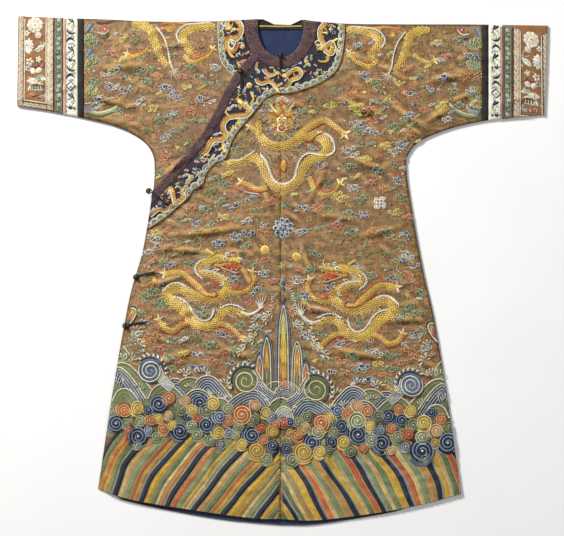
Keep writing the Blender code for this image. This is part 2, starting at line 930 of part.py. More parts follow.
def make_frogs():
    """Each frog is a silk strip, the cord loop at its end, and the ball button in the loop."""
    for name, button_x, button_y, near_x, near_y, far_x, far_y, on_binding, on_cloth in FROGS:
        near, far = Vector((near_x, near_y)), Vector((far_x, far_y))
        cover = SEAM_GAP + BINDING_THICK if on_binding else 0.0
        tops = [on_outer(p.x, p.y) for p in (near, near.lerp(far, 0.5), far)]
        low = max(tops) + cover + SEAM_GAP
        strip(f"frog_{name}", near, far, low, "black")
        towards = near - Vector((button_x, button_y))
        opening = math.atan2(towards.y, towards.x)
        centre = (button_x, button_y, low + LOOP_WIRE)
        ring(f"loop_{name}", centre, LOOP_RADIUS, LOOP_WIRE, opening, "black")
        height = low + (BUTTON_RADIUS if on_cloth else LOOP_WIRE)
        ball(f"button_{name}", (button_x, button_y, height), BUTTON_RADIUS, "brass")


def centre_in_plan():
    """Moves the whole robe so that the middle of its plan is at the origin."""
    things = [thing for thing in bpy.data.objects if thing.type == "MESH"]
    corners = [v.co for thing in things for v in thing.data.vertices]
    middle_x = (min(c.x for c in corners) + max(c.x for c in corners)) / 2
    middle_y = (min(c.y for c in corners) + max(c.y for c in corners)) / 2
    for thing in things:
        thing.location = (-middle_x, -middle_y, 0)


clear_scene()
make_halves()
make_bands()
make_facings()
make_bindings()
make_inside()
make_frogs()
centre_in_plan()
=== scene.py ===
"""A Chinese dragon robe, laid flat on its back: its cloth, its embroidery, its ribbons and its frogs.

Lengths are millimetres in the garment's own frame: x runs across from the centre seam, y up from
the shoulder line, and z up from the floor. `place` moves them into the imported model's frame.
"""

import math

import bmesh
import bpy
import numpy as np
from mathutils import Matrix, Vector, geometry, kdtree
from mathutils.bvhtree import BVHTree


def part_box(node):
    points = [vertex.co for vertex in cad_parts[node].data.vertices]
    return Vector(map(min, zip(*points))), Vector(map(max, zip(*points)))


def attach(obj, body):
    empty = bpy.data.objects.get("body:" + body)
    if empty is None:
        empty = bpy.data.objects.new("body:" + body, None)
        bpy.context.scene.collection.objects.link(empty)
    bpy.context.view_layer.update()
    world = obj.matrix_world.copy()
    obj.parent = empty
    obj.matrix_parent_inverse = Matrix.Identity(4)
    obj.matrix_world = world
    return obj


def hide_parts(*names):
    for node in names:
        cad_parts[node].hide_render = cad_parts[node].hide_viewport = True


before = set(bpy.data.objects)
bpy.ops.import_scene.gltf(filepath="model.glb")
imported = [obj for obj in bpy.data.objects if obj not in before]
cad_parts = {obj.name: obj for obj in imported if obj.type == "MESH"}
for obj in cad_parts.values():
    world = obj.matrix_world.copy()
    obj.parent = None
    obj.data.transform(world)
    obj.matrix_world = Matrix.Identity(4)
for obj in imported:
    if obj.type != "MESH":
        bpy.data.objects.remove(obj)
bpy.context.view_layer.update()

rng = np.random.default_rng(1883)

MM = 0.001
SEAM_GAP = 0.3
piping_low, piping_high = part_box("neck_piping")
SHIFT = np.array(
    (
        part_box("half_right")[0][0] / MM - SEAM_GAP / 2,
        (piping_low[1] + piping_high[1]) / 2 / MM + 18.0,
        0.0,
    )
)

# Thicknesses, and the heights at which the layers lie with no loft.
WALL = 1.8
BACK_WALL = 1.35
FACING_THICK = 1.2
BINDING_THICK = 1.6
LINING_THICK = 1.0
LINING_UNDER = 2.1
FRONT_UNDER = 3.4
OVERLAP_UNDER = 5.6
CENTRE_RAMP = 170.0
HANG_WIDTH = 40.0
HANG_DROP = 5.3
UNDERLAP_LOFT = 0.3
SHOW_LOFT = 60.0
EDGE_FADE = 34.0
PUFF = 2.6
MOST_LOFT = 12.5
CREASE_RISE = 2.7
CREASE_WIDTH = 0.8
LEAST_LOFT = -0.3

# How finely the cloth is divided.
CLOTH_STEP = 7.0
BACK_STEP = 15.0
CLEAR_OF_LINES = 0.45
LOFT_CELL = 4.0

# The robe's plan -------------------------------------------------------------------------------

LEFT_TOP = (
    (-60, 1.5), (-110, -1), (-197, -5), (-340, -5), (-450, 0), (-592, 5), (-694.6, 9.3),
)
RIGHT_TOP = (
    (60, 0), (97, -5), (182, -11), (330, -12.5), (478, -12.7), (592, -14), (706.8, -15.9),
)
LEFT_SIDE = (
    (-698.3, -228), (-605, -244), (-512, -263), (-430, -285), (-371, -316), (-341, -352),
    (-334, -392), (-340, -458), (-365, -610), (-401, -740), (-446, -991), (-484, -1243),
)
RIGHT_SIDE = (
    (697.2, -252), (605, -261), (520, -271), (440, -291), (370, -321), (338, -356), (332, -392),
    (344, -485), (375, -657), (407, -800), (445, -1029), (477.5, -1256),
)
SHARED_SIDE_ROWS = 7
LEFT_SEAM = ((-338, -458), (-358, -610), (-391, -740), (-428, -991), (-437, -1268))
FRONT_HEM = (
    (-484, -1243), (-394, -1272), (-241, -1298), (-80, -1320), (0, -1323), (97, -1326),
    (268, -1305), (390, -1280), (477.5, -1256),
)
UNDERLAP_HEM = ((-437, -1268), (-380, -1266), (-241, -1284), (-80, -1304), (0, -1308))
LEFT_BACK_HEM = ((-437, -1268), (-317, -1296), (-150, -1325), (0, -1339))
RIGHT_BACK_HEM = (
    (477.5, -1256), (400, -1274), (335, -1293), (278, -1308), (97, -1337), (0, -1339),
)
BACK_NECK_LEFT = ((-17.2, -11.9), (-46.4, 1.7))
BACK_NECK_RIGHT = ((53.8, 0.0), (25.2, -13.3))
BACK_NECK_MIDDLE = -12.6

NECK_LEVEL = -19.0
NECK_HALF_WIDTH, NECK_DEPTH = 60.0, 81.7
BIND_HALF_WIDTH, BIND_DEPTH = 97.0, 109.5
DIAGONAL = (
    (-60, -92), (-86, -120), (-113, -153), (-137, -193), (-166, -253), (-200, -311),
    (-239, -358), (-278, -405), (-315, -444), (-352, -484),
)
DIAGONAL_HALF_WIDTH = 12.5
OVERLAP_CORNER = (-48.0, -68.0)
MAIN_FACING_EDGE = (
    (168, 20), (168, -57), (150, -130), (97, -171), (29, -194), (-28, -201), (-73, -248),
    (-124, -312), (-145, -366), (-176, -383), (-198, -409), (-205, -434), (-230, -452),
    (-250, -478), (-280, -503), (-314, -531), (-360, -560),
)
LEFT_FACING_EDGE = ((-167, 20), (-167, -40), (-162, -100), (-150, -124), (-118, -156))

BANDS = {  # left start, left end, right start, right end
    "black": (520.7, 537.2, 533.4, 549.9),
    "floral": (537.2, 575.6, 549.9, 587.0),
    "green": (575.6, 600.8, 587.0, 614.8),
    "wide": (600.8, 720.0, 614.8, 720.0),
}

# Creases of the front: middle, direction in degrees, half length, half width, rise, bend.
CREASES = (
    (210, -232, -22, 78, 17, 3.2, 6),
    (236, -262, -18, 60, 12, -1.6, 4),
    (228, -380, -24, 66, 15, 2.8, -8),
    (268, -412, -30, 50, 11, -1.5, 5),
    (330, -250, -35, 96, 18, 2.6, 10),
    (352, -292, -38, 74, 12, 2.2, 6),
    (296, -330, -48, 70, 14, -1.6, -6),
    (96, -765, -15, 74, 15, 2.6, 4),
    (199, -881, -12, 96, 17, 3.0, 6),
    (318, -793, 3, 84, 15, 2.4, -5),
    (352, -640, -8, 60, 13, 2.2, 8),
    (-450, -268, -12, 100, 15, 3.0, 8),
    (-432, -238, -9, 84, 12, -1.8, 5),
    (-470, -210, -16, 70, 11, 2.0, -4),
    (-400, -300, -24, 60, 10, 1.8, 4),
    (-420, -120, 8, 110, 22, 2.0, 6),
    (-300, -70, 14, 90, 18, 1.6, -8),
    (-280, -388, 32, 80, 15, 2.8, 7),
    (-250, -350, 36, 60, 10, -1.4, 4),
    (-318, -500, 22, 50, 12, 2.0, 5),
    (-190, -560, 6, 150, 17, 2.9, 9),
    (-240, -610, -8, 130, 15, 2.4, -10),
    (-110, -596, 12, 80, 11, -1.4, 5),
    (-300, -690, 16, 74, 13, 2.2, 6),
    (-86, -690, -62, 66, 12, 1.8, 5),
    (-300, -900, 14, 110, 20, 2.4, -9),
    (-120, -880, -20, 90, 18, 2.0, 8),
    (-398, -1080, 74, 130, 16, 2.2, 9),
    (-180, -1140, 78, 150, 19, 1.8, -10),
    (-70, -1030, -70, 90, 16, 1.6, 6),
    (250, -1090, 98, 150, 20, 2.2, 10),
    (120, -1180, 88, 120, 18, 1.6, -6),
    (380, -1120, 102, 120, 15, 2.0, 7),
    (440, -150, 12, 104, 20, 2.4, -7),
    (470, -208, 20, 90, 13, 2.2, 6),
    (420, -250, 28, 74, 12, 2.2, 5),
    (510, -100, -6, 70, 18, 1.6, 6),
    (300, -140, -30, 80, 17, 1.8, 8),
    (150, -520, -10, 110, 17, 2.0, -7),
    (262, -560, 14, 90, 15, 2.0, 8),
    (60, -620, -70, 74, 12, 1.4, 5),
    (300, -980, -16, 96, 17, 1.8, 7),
    (60, -930, -80, 90, 13, 1.4, 5),
    (-600, -90, 84, 90, 18, 1.2, 6),
    (-560, -180, 14, 60, 12, 1.3, 4),
    (590, -120, -80, 90, 18, 1.2, -6),
    (620, -215, 10, 66, 12, 1.3, 4),
    (-40, -470, -78, 80, 14, 1.6, 6),
    (96, -440, 62, 70, 12, 1.4, 5),
)
# Deep narrow creases that fall instead of rising, in the same columns.
TROUGHS = (
    (-6, -1205, 90, 140, 7, -4.0, 0),
    (-17, -1262, 97, 60, 6, -2.6, 0),
    (2, -1000, 90, 90, 5, -1.5, 0),
    (2, -800, 90, 130, 5, -1.4, 0),
    (1, -560, 90, 140, 5, -1.4, 0),
    (1, -370, 90, 130, 5, -1.2, 0),
)
# Creases of the back, which rests on the floor, so that they are hollows; in the same columns.
BACK_CREASES = (
    (-200, -300, 24, 140, 20, 1.1, 10),
    (180, -420, -18, 150, 22, 1.1, -12),
    (-120, -640, 8, 170, 20, 1.0, 10),
    (240, -760, -12, 150, 24, 1.1, 8),
    (-280, -900, 70, 160, 20, 1.0, 12),
    (90, -1050, 84, 170, 22, 1.0, -10),
    (330, -1100, 100, 130, 18, 0.9, 8),
    (-60, -1180, 92, 110, 20, 1.0, 6),
    (-420, -140, 6, 120, 22, 0.9, 8),
    (430, -170, -8, 120, 22, 0.9, -8),
    (0, -160, 0, 150, 20, 0.9, 14),
)


# Curves ----------------------------------------------------------------------------------------


def smooth_step(value):
    """An even rise from 0 to 1."""
    t = np.clip(value, 0.0, 1.0)
    return t * t * (3 - 2 * t)


def curve(rows, step=CLOTH_STEP):
    """A smooth curve through rows of any number of columns, with a point about every step."""
    rows = np.asarray(rows, float)
    run = np.vstack((2 * rows[0] - rows[1], rows, 2 * rows[-1] - rows[-2]))
    found = [rows[:1]]
    for a, b, c, d in zip(run, run[1:], run[2:], run[3:]):
        count = max(1, round(math.dist(b[:2], c[:2]) / step))
        t = (np.arange(1, count + 1) / count)[:, None]
        spline = b * 2 + (c - a) * t + (a * 2 - b * 5 + c * 4 - d) * t**2
        found.append((spline + (b * 3 - a - c * 3 + d) * t**3) / 2)
    return np.vstack(found)


def straight(a, b, step=CLOTH_STEP):
    """A straight line with a point about every step."""
    count = max(1, round(math.dist(a, b) / step))
    t = np.linspace(0, 1, count + 1)[:, None]
    return np.asarray(a, float) * (1 - t) + np.asarray(b, float) * t


def directions(points):
    """The unit direction of a run of points at each of them."""
    along = np.gradient(points[:, :2], axis=0)
    return along / np.maximum(np.linalg.norm(along, axis=1), 1e-9)[:, None]


def beside(points, distance):
    """The curve at a distance to the left of its direction."""
    along = directions(points)
    left = np.column_stack((-along[:, 1], along[:, 0]))
    moved = np.array(points, float)
    moved[:, :2] += left * np.reshape(distance, (-1, 1))
    return moved


def neck_arc(half_width, depth):
    """Half an ellipse that hangs below the neck's level."""
    turn = np.linspace(0, math.pi, round(math.pi * half_width / CLOTH_STEP))
    return np.column_stack((-half_width * np.cos(turn), NECK_LEVEL - depth * np.sin(turn)))


def inside(points, polygon):
    """Which points lie inside a polygon, counted by crossings."""
    x, y = points[:, 0], points[:, 1]
    found = np.zeros(len(points), bool)
    for (ax, ay), (bx, by) in zip(polygon, np.roll(polygon, -1, axis=0)):
        if ay != by:
            crossed = ((ay > y) != (by > y)) & (x < ax + (y - ay) * (bx - ax) / (by - ay))
            found ^= crossed
    return found


def distance_to(points, line):
    """How far points lie from a line of straight pieces."""
    best = np.full(len(points), np.inf)
    for a, b in zip(line, line[1:]):
        span = b - a
        t = np.clip((points - a) @ span / max(span @ span, 1e-9), 0, 1)
        off = points - (a + t[:, None] * span)
        best = np.minimum(best, np.hypot(off[:, 0], off[:, 1]))
    return best


left_top = curve(LEFT_TOP)
right_top = curve(RIGHT_TOP)
left_side = curve(LEFT_SIDE)
right_side = curve(RIGHT_SIDE)
left_seam = curve(LEFT_SIDE[:SHARED_SIDE_ROWS] + LEFT_SEAM)
front_hem = curve(FRONT_HEM)
underlap_hem = curve(UNDERLAP_HEM)
neck_line = neck_arc(NECK_HALF_WIDTH, NECK_DEPTH)
bind_line = neck_arc(BIND_HALF_WIDTH, BIND_DEPTH)
diagonal = curve(DIAGONAL)
diagonal_outer = beside(diagonal, -DIAGONAL_HALF_WIDTH)
diagonal_inner = beside(diagonal, DIAGONAL_HALF_WIDTH)
main_facing_line = curve(MAIN_FACING_EDGE)
left_facing_line = curve(LEFT_FACING_EDGE)
left_cuff = straight(LEFT_TOP[-1], LEFT_SIDE[0])
right_cuff = straight(RIGHT_SIDE[0], RIGHT_TOP[-1])

FAR = 900.0
outer_edge = np.vstack(
    (left_top, left_cuff[1:], left_side[1:], front_hem[1:], right_side[-2::-1], right_cuff[1:],
     right_top[-2::-1])
)
front_outline = np.vstack((outer_edge, neck_line[::-1]))
binding_neck_area = np.vstack(((-BIND_HALF_WIDTH, 40), bind_line, (BIND_HALF_WIDTH, 40)))
binding_overlap_area = np.vstack((diagonal_outer, diagonal_inner[::-1]))
overlap_area = np.vstack(
    (OVERLAP_CORNER, diagonal_outer, (-FAR, diagonal_outer[-1, 1]), (-FAR, -2 * FAR),
     (0, -2 * FAR), (0, NECK_LEVEL))
)
main_facing_area = np.vstack(
    (main_facing_line, (-420, -560), (-420, -484), diagonal[::-1], (0, 0), (60, 60))
)
left_facing_area = np.vstack((left_facing_line, (-60, -100), (-60, 20)))
underlap_area = np.vstack(
    (left_top, (-FAR, left_top[-1, 1]), (-FAR, left_seam[0, 1]), left_seam, underlap_hem[1:],
     (0, NECK_LEVEL))
)


# Heights ---------------------------------------------------------------------------------------


def creases(points, table):
    """How far the listed creases lift the cloth. Each has one soft and one steeper side."""
    rise = np.zeros(len(points))
    for x, y, angle, half_length, half_width, height, bend in table:
        turn = math.radians(angle)
        off = points - (x, y)
        along = off[:, 0] * math.cos(turn) + off[:, 1] * math.sin(turn)
        across = off[:, 1] * math.cos(turn) - off[:, 0] * math.sin(turn)
        t = np.clip(along / half_length, -1, 1)
        across = across - bend * t * t
        width = np.where(across > 0, half_width, half_width * 0.62) * CREASE_WIDTH
        rise += height * np.cos(t * math.pi / 2) ** 2 * np.exp(-((across / width) ** 2))
    return rise


def waviness(points, longest, shortest, count, seed, middle=90, spread=180):
    """A smooth uneven field, between about -1 and 1, of waves that face middle degrees and about."""
    draw = np.random.default_rng(seed)
    total = np.zeros(len(points))
    for _ in range(count):
        length = shortest * (longest / shortest) ** draw.random()
        turn = math.radians(middle + spread * (2 * draw.random() - 1))
        x, y = points[:, 0], points[:, 1]
        along = x * math.cos(turn) + y * math.sin(turn)
        warp = 0.8 * np.sin((y * math.cos(turn) - x * math.sin(turn)) / length * 2.2 + draw.random() * 6)
        total += np.sin(2 * math.pi * along / length + warp + draw.random() * 6.28)
    return total / math.sqrt(count) / 1.4


LOFT_LOW = np.array((-732.0, -1372.0))
LOFT_HIGH = np.array((732.0, 60.0))


def gridded(values_of):
    """A function of the plan, worked out once on a grid and read between its points."""
    columns, rows = (np.ceil((LOFT_HIGH - LOFT_LOW) / LOFT_CELL).astype(int) + 1)
    xs = LOFT_LOW[0] + LOFT_CELL * np.arange(columns)
    ys = LOFT_LOW[1] + LOFT_CELL * np.arange(rows)
    grid = np.stack(np.meshgrid(xs, ys), axis=-1).reshape(-1, 2)
    table = values_of(grid).reshape(rows, columns)

    def read(points):
        at = (np.asarray(points)[:, :2] - LOFT_LOW) / LOFT_CELL
        at = np.clip(at, 0, (columns - 1.001, rows - 1.001))
        column, row = at.astype(int).T
        u, v = (at - at.astype(int)).T
        low = table[row, column] * (1 - u) + table[row, column + 1] * u
        high = table[row + 1, column] * (1 - u) + table[row + 1, column + 1] * u
        return low * (1 - v) + high * v

    return read


def loft_values(points):
    """How far the fronts stand above where they would lie pressed flat."""
    fade = smooth_step(distance_to(points, outer_edge[::3]) / EDGE_FADE)
    rise = PUFF + CREASE_RISE * creases(points, CREASES) + 0.9 * waviness(points, 260, 90, 30, 5)
    strength = np.clip(0.7 + 0.6 * waviness(points, 330, 150, 14, 9), 0.2, 1.3)
    rise += 1.4 * strength * waviness(points, 62, 24, 40, 11, 78, 40)
    rise = np.clip(rise, LEAST_LOFT, MOST_LOFT) + creases(points, TROUGHS)
    return np.maximum(rise, LEAST_LOFT) * fade


def show_values(points):
    """How much of the loft the underlap takes: little below the overlap, and all where it shows."""
    covered = inside(points, overlap_area)
    away = distance_to(points, diagonal_outer)
    share = UNDERLAP_LOFT + (1 - UNDERLAP_LOFT) * smooth_step((away - 6) / SHOW_LOFT)
    return np.where(covered, UNDERLAP_LOFT, share)


loft = gridded(loft_values)
shown = gridded(show_values)
back_hollow = gridded(
    lambda points: np.clip(
        creases(points, BACK_CREASES) + 0.75 + 0.25 * waviness(points, 150, 50, 30, 3), 0.6, 1.45
    )
)

seam_rows = left_seam[left_seam[:, 1] < LEFT_SIDE[SHARED_SIDE_ROWS - 1][1]][::-1]


def under_left_front(points):
    """The lower face of the left front, which the overlap covers."""
    return FRONT_UNDER + shown(points) * loft(points)


def under_right_front(points):
    """The lower face of the right front, which climbs to the overlap at the centre."""
    ramp = 1 - smooth_step(points[:, 0] / CENTRE_RAMP)
    return FRONT_UNDER + loft(points) + (OVERLAP_UNDER - FRONT_UNDER) * ramp


def under_overlap(points):
    """The overlap lies on the underlap, and hangs down to the floor past its side seam."""
    reach = np.interp(points[:, 1], seam_rows[:, 1], seam_rows[:, 0], right=-FAR)
    past = smooth_step((reach - 3 - points[:, 0]) / HANG_WIDTH)
    return OVERLAP_UNDER + loft(points) - HANG_DROP * past


def on_outer(points):
    """Just above the cloth that shows: the overlap and the right front."""
    under = np.where(points[:, 0] < 0, under_overlap(points), under_right_front(points))
    return under + WALL + SEAM_GAP


def on_left_front(points):
    """Just above the left front."""
    return under_left_front(points) + WALL + SEAM_GAP


def under_band(points):
    """The lower face of the sleeves' ribbons, in line with the fronts."""
    return np.where(points[:, 0] < 0, under_left_front(points), under_right_front(points))


def on_neck(points):
    """Below the neck's edging, which climbs from the left front onto the overlap."""
    climb = smooth_step((NECK_LEVEL + 4 - points[:, 1]) / 34)
    low, high = on_left_front(points), on_outer(points)
    return np.where(points[:, 0] >= 0, high, low + (high - low) * climb)


# The division of the plan into triangles -----------------------------------------------------


def triangulate(lines, step, area):
    """Points and triangles of the plan, with every line along edges of the triangles."""
    points, edges = [], []
    start = 0
    for line in lines:
        points.append(line)
        edges += [(start + i, start + i + 1) for i in range(len(line) - 1)]
        start += len(line)
    fixed = np.vstack(points)
    low, high = fixed.min(axis=0), fixed.max(axis=0)
    rows = np.arange(low[1] + step * 0.433, high[1], step * 0.866)
    columns = np.arange(low[0], high[0] + step, step)
    grid = np.stack(np.meshgrid(columns, rows), axis=-1)
    grid[1::2, :, 0] += step / 2
    grid = grid.reshape(-1, 2) + np.random.default_rng(2).uniform(-0.16, 0.16, (grid.size // 2, 2)) * step
    grid = grid[inside(grid, area)]
    close = np.vstack([straight(a, b, 3.0) for line in lines for a, b in zip(line, line[1:])])
    tree = kdtree.KDTree(len(close))
    for i, (x, y) in enumerate(close):
        tree.insert((x, y, 0), i)
    tree.balance()
    clear = [tree.find((x, y, 0))[2] > step * CLEAR_OF_LINES for x, y in grid]
    everything = np.vstack((fixed, grid[clear]))
    found, _, faces, *_ = geometry.delaunay_2d_cdt([Vector(p) for p in everything], edges, [], 1, 0.8)
    return np.array([(p.x, p.y) for p in found]), np.array([tuple(f) for f in faces])


plan_lines = [
    np.vstack((front_outline, front_outline[:1])),
    left_seam,
    underlap_hem,
    straight((0, NECK_LEVEL - NECK_DEPTH), (0, -1380)),
    np.vstack((OVERLAP_CORNER, diagonal_outer[0])),
    diagonal_outer,
    diagonal_inner,
    binding_neck_area,
    main_facing_line,
    left_facing_line,
]
for left_start, left_end, right_start, right_end in BANDS.values():
    plan_lines.append(straight((-left_start, 30), (-left_start, -290)))
    plan_lines.append(straight((right_start, 30), (right_start, -300)))

plan_points, plan_faces = triangulate(plan_lines, CLOTH_STEP, front_outline)
plan_middles = plan_points[plan_faces].mean(axis=1)
plan_inside = inside(plan_middles, front_outline)
in_neck_binding = inside(plan_middles, binding_neck_area)
in_diagonal = inside(plan_middles, binding_overlap_area)
in_overlap = (plan_middles[:, 0] < 0) & inside(plan_middles, overlap_area)


def largest_part(faces):
    """The largest group of triangles that join edge to edge."""
    beside_edge = {}
    for k, face in enumerate(faces):
        for a, b in zip(face, np.roll(face, -1)):
            beside_edge.setdefault((min(a, b), max(a, b)), []).append(k)
    neighbours = [[] for _ in faces]
    for pair in beside_edge.values():
        if len(pair) == 2:
            neighbours[pair[0]].append(pair[1])
            neighbours[pair[1]].append(pair[0])
    waiting = set(range(len(faces)))
    best = []
    while waiting:
        group = [waiting.pop()]
        for k in group:
            for other in neighbours[k]:
                if other in waiting:
                    waiting.discard(other)
                    group.append(other)
        if len(group) > len(best):
            best = group
    return faces[np.sort(best)]


def faces_where(chosen):
    """The largest joined group of the plan's triangles among those chosen."""
    return largest_part(plan_faces[plan_inside & chosen])


def loops_of(faces):
    """The boundary of some triangles, as closed runs of point numbers, the cloth on their left."""
    directed = {(int(f[k]), int(f[(k + 1) % 3])) for f in faces for k in range(3)}
    following = {a: b for a, b in directed if (b, a) not in directed}
    loops = []
    while following:
        start = min(following)
        loop = [start]
        after = following.pop(start)
        while after != start:
            loop.append(after)
            after = following.pop(after)
        loops.append(loop)
    return loops


def moved_in(points, loop, distance):
    """The places of a loop's points, moved into the cloth on its left."""
    here = points[loop]
    along = [here - np.roll(here, 1, axis=0), np.roll(here, -1, axis=0) - here]
    into = np.zeros_like(here)
    for step in along:
        unit = step / np.maximum(np.linalg.norm(step, axis=1), 1e-9)[:, None]
        into += np.column_stack((-unit[:, 1], unit[:, 0]))
    length = np.maximum(np.linalg.norm(into, axis=1), 0.2)
    scale = np.minimum(2 / length, 2.0) / length
    return here + into * (distance * scale)[:, None]


# Meshes ----------------------------------------------------------------------------------------


def add_flat_uv(mesh, corners):
    """One map over the whole piece, seen from above."""
    flat = np.empty(len(corners) * 2)
    low, high = corners.min(axis=0), corners.max(axis=0)
    flat[0::2] = (corners[:, 0] - low[0]) / max(high[0] - low[0], 1e-9)
    flat[1::2] = (corners[:, 1] - low[1]) / max(high[1] - low[1], 1e-9)
    mesh.uv_layers.new(name="OFBake").data.foreach_set("uv", flat * 0.98 + 0.01)


RELIEF_REACH = 12.0
LOW_SIDE = 3.0
# The cloth's colour darkens within this distance, in millimetres, of the outer edge.
EDGE_DARKENING = 5.0


def relief(read, plan):
    """How far the cloth stands above its surroundings, or below them."""
    turns = np.linspace(0, 2 * math.pi, 8, endpoint=False)
    around = [read(plan + RELIEF_REACH * np.array((math.cos(a), math.sin(a)))) for a in turns]
    return read(plan) - np.mean(around, axis=0)


def paint_relief_shade(piece, points):
    """Paints light and shade into the cloth's colour: a painted highlight where it stands up and painted
    shade where it falls, from the relief of the fronts' loft and of the back's creases.
    """
    plan = points[:, :2]
    # Values above 0.5 are a painted highlight on ridges, values below 0.5 painted shade in hollows.
    above = relief(loft, plan) / 2.4
    below = -relief(back_hollow, plan) / 0.5
    painted_relief_shade = np.clip(0.5 + np.where(points[:, 2] > LOW_SIDE, above, below) * 0.5, 0, 1)
    # The colour darkens towards the outer edge.
    painted_relief_shade *= np.clip(distance_to(plan, outer_edge[::2]) / EDGE_DARKENING, 0, 1)
    piece.data.attributes.new("painted_relief_shade", "FLOAT", "POINT").data.foreach_set("value", painted_relief_shade)


def new_piece(name, points, faces, materials, kinds=None, flat=False):
    """An object from points in millimetres and triangles or quads."""
    mesh = bpy.data.meshes.new(name)
    mesh.from_pydata(((np.asarray(points) + SHIFT) * MM).tolist(), [], faces)
    for material in materials:
        mesh.materials.append(material)
    if kinds is not None:
        mesh.polygons.foreach_set("material_index", kinds)
    mesh.shade_smooth()
    if flat:
        numbers = np.empty(len(mesh.loops), int)
        mesh.loops.foreach_get("vertex_index", numbers)
        add_flat_uv(mesh, np.asarray(points)[numbers])
    piece = bpy.data.objects.new(name, mesh)
    bpy.context.collection.objects.link(piece)
    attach(piece, "root")
    return piece


def grid_quads(number, other_way=False):
    """The quads between neighbouring points of a grid of point numbers."""
    a, b, c, d = number[:-1, :-1], number[:-1, 1:], number[1:, 1:], number[1:, :-1]
    return np.stack((a, d, c, b) if other_way else (a, b, c, d), axis=-1)


class Shape:
    """The points and faces of a shell while it is built."""

    def __init__(self):
        self.points = []
        self.faces = []
        self.count = 0

    def add(self, plan, heights):
        """Adds points and returns their first number."""
        first = self.count
        self.points.append(np.column_stack((plan, np.broadcast_to(heights, len(plan)))))
        self.count += len(plan)
        return first

    def sheet(self, faces, first, downwards=False):
        """Triangles of the plan, on the points that start at a number."""
        for face in faces:
            self.faces.append(tuple(int(i) for i in (face[::-1] if downwards else face) + first))

    def wall(self, upper, lower):
        """Quads between two closed runs of point numbers, the first of them above."""
        for a, b, c, d in zip(upper, np.roll(upper, -1), np.roll(lower, -1), lower):
            self.faces.append((int(a), int(d), int(c), int(b)))

    def all_points(self):
        return np.vstack(self.points)


RIM_BULGE = 0.5
FOLD_BULGE = 0.9
NEAR_SEAM = 1.6


def laid(name, points, faces, under, thickness, material, inset=0.0):
    """A slab of cloth with a rounded rim: triangles of the plan, lifted."""
    used, inverse = np.unique(faces, return_inverse=True)
    faces = inverse.reshape(faces.shape)
    points = points[used]
    heights = under(points)
    loops = loops_of(faces)
    places = points.copy()
    rims = []
    for loop in loops:
        outline = moved_in(points, loop, SEAM_GAP / 2 + inset)
        places[loop] = moved_in(points, loop, SEAM_GAP / 2 + inset + thickness * RIM_BULGE)
        rims.append(outline)
    shape = Shape()
    top = shape.add(places, heights + thickness)
    low = shape.add(places, heights)
    shape.sheet(faces, top)
    shape.sheet(faces, low, downwards=True)
    for loop, outline in zip(loops, rims):
        loop = np.array(loop)
        middle = shape.add(outline, heights[loop] + thickness / 2)
        middle = middle + np.arange(len(loop))
        shape.wall(middle, loop + top)
        shape.wall(loop + low, middle)
    piece = new_piece(name, shape.all_points(), shape.faces, [material], flat=True)
    paint_relief_shade(piece, shape.all_points())
    return piece


def seams_first(loop, near):
    """A boundary turned so that the one stretch of it along the seams comes first."""
    starts = [k for k in range(len(loop)) if near[k] and not near[k - 1]]
    lengths = [int(np.flatnonzero(np.roll(near, -k))[-1]) + 1 for k in starts]
    best = int(np.argmin(lengths))
    return np.roll(loop, -starts[best]), np.arange(len(loop)) < lengths[best]


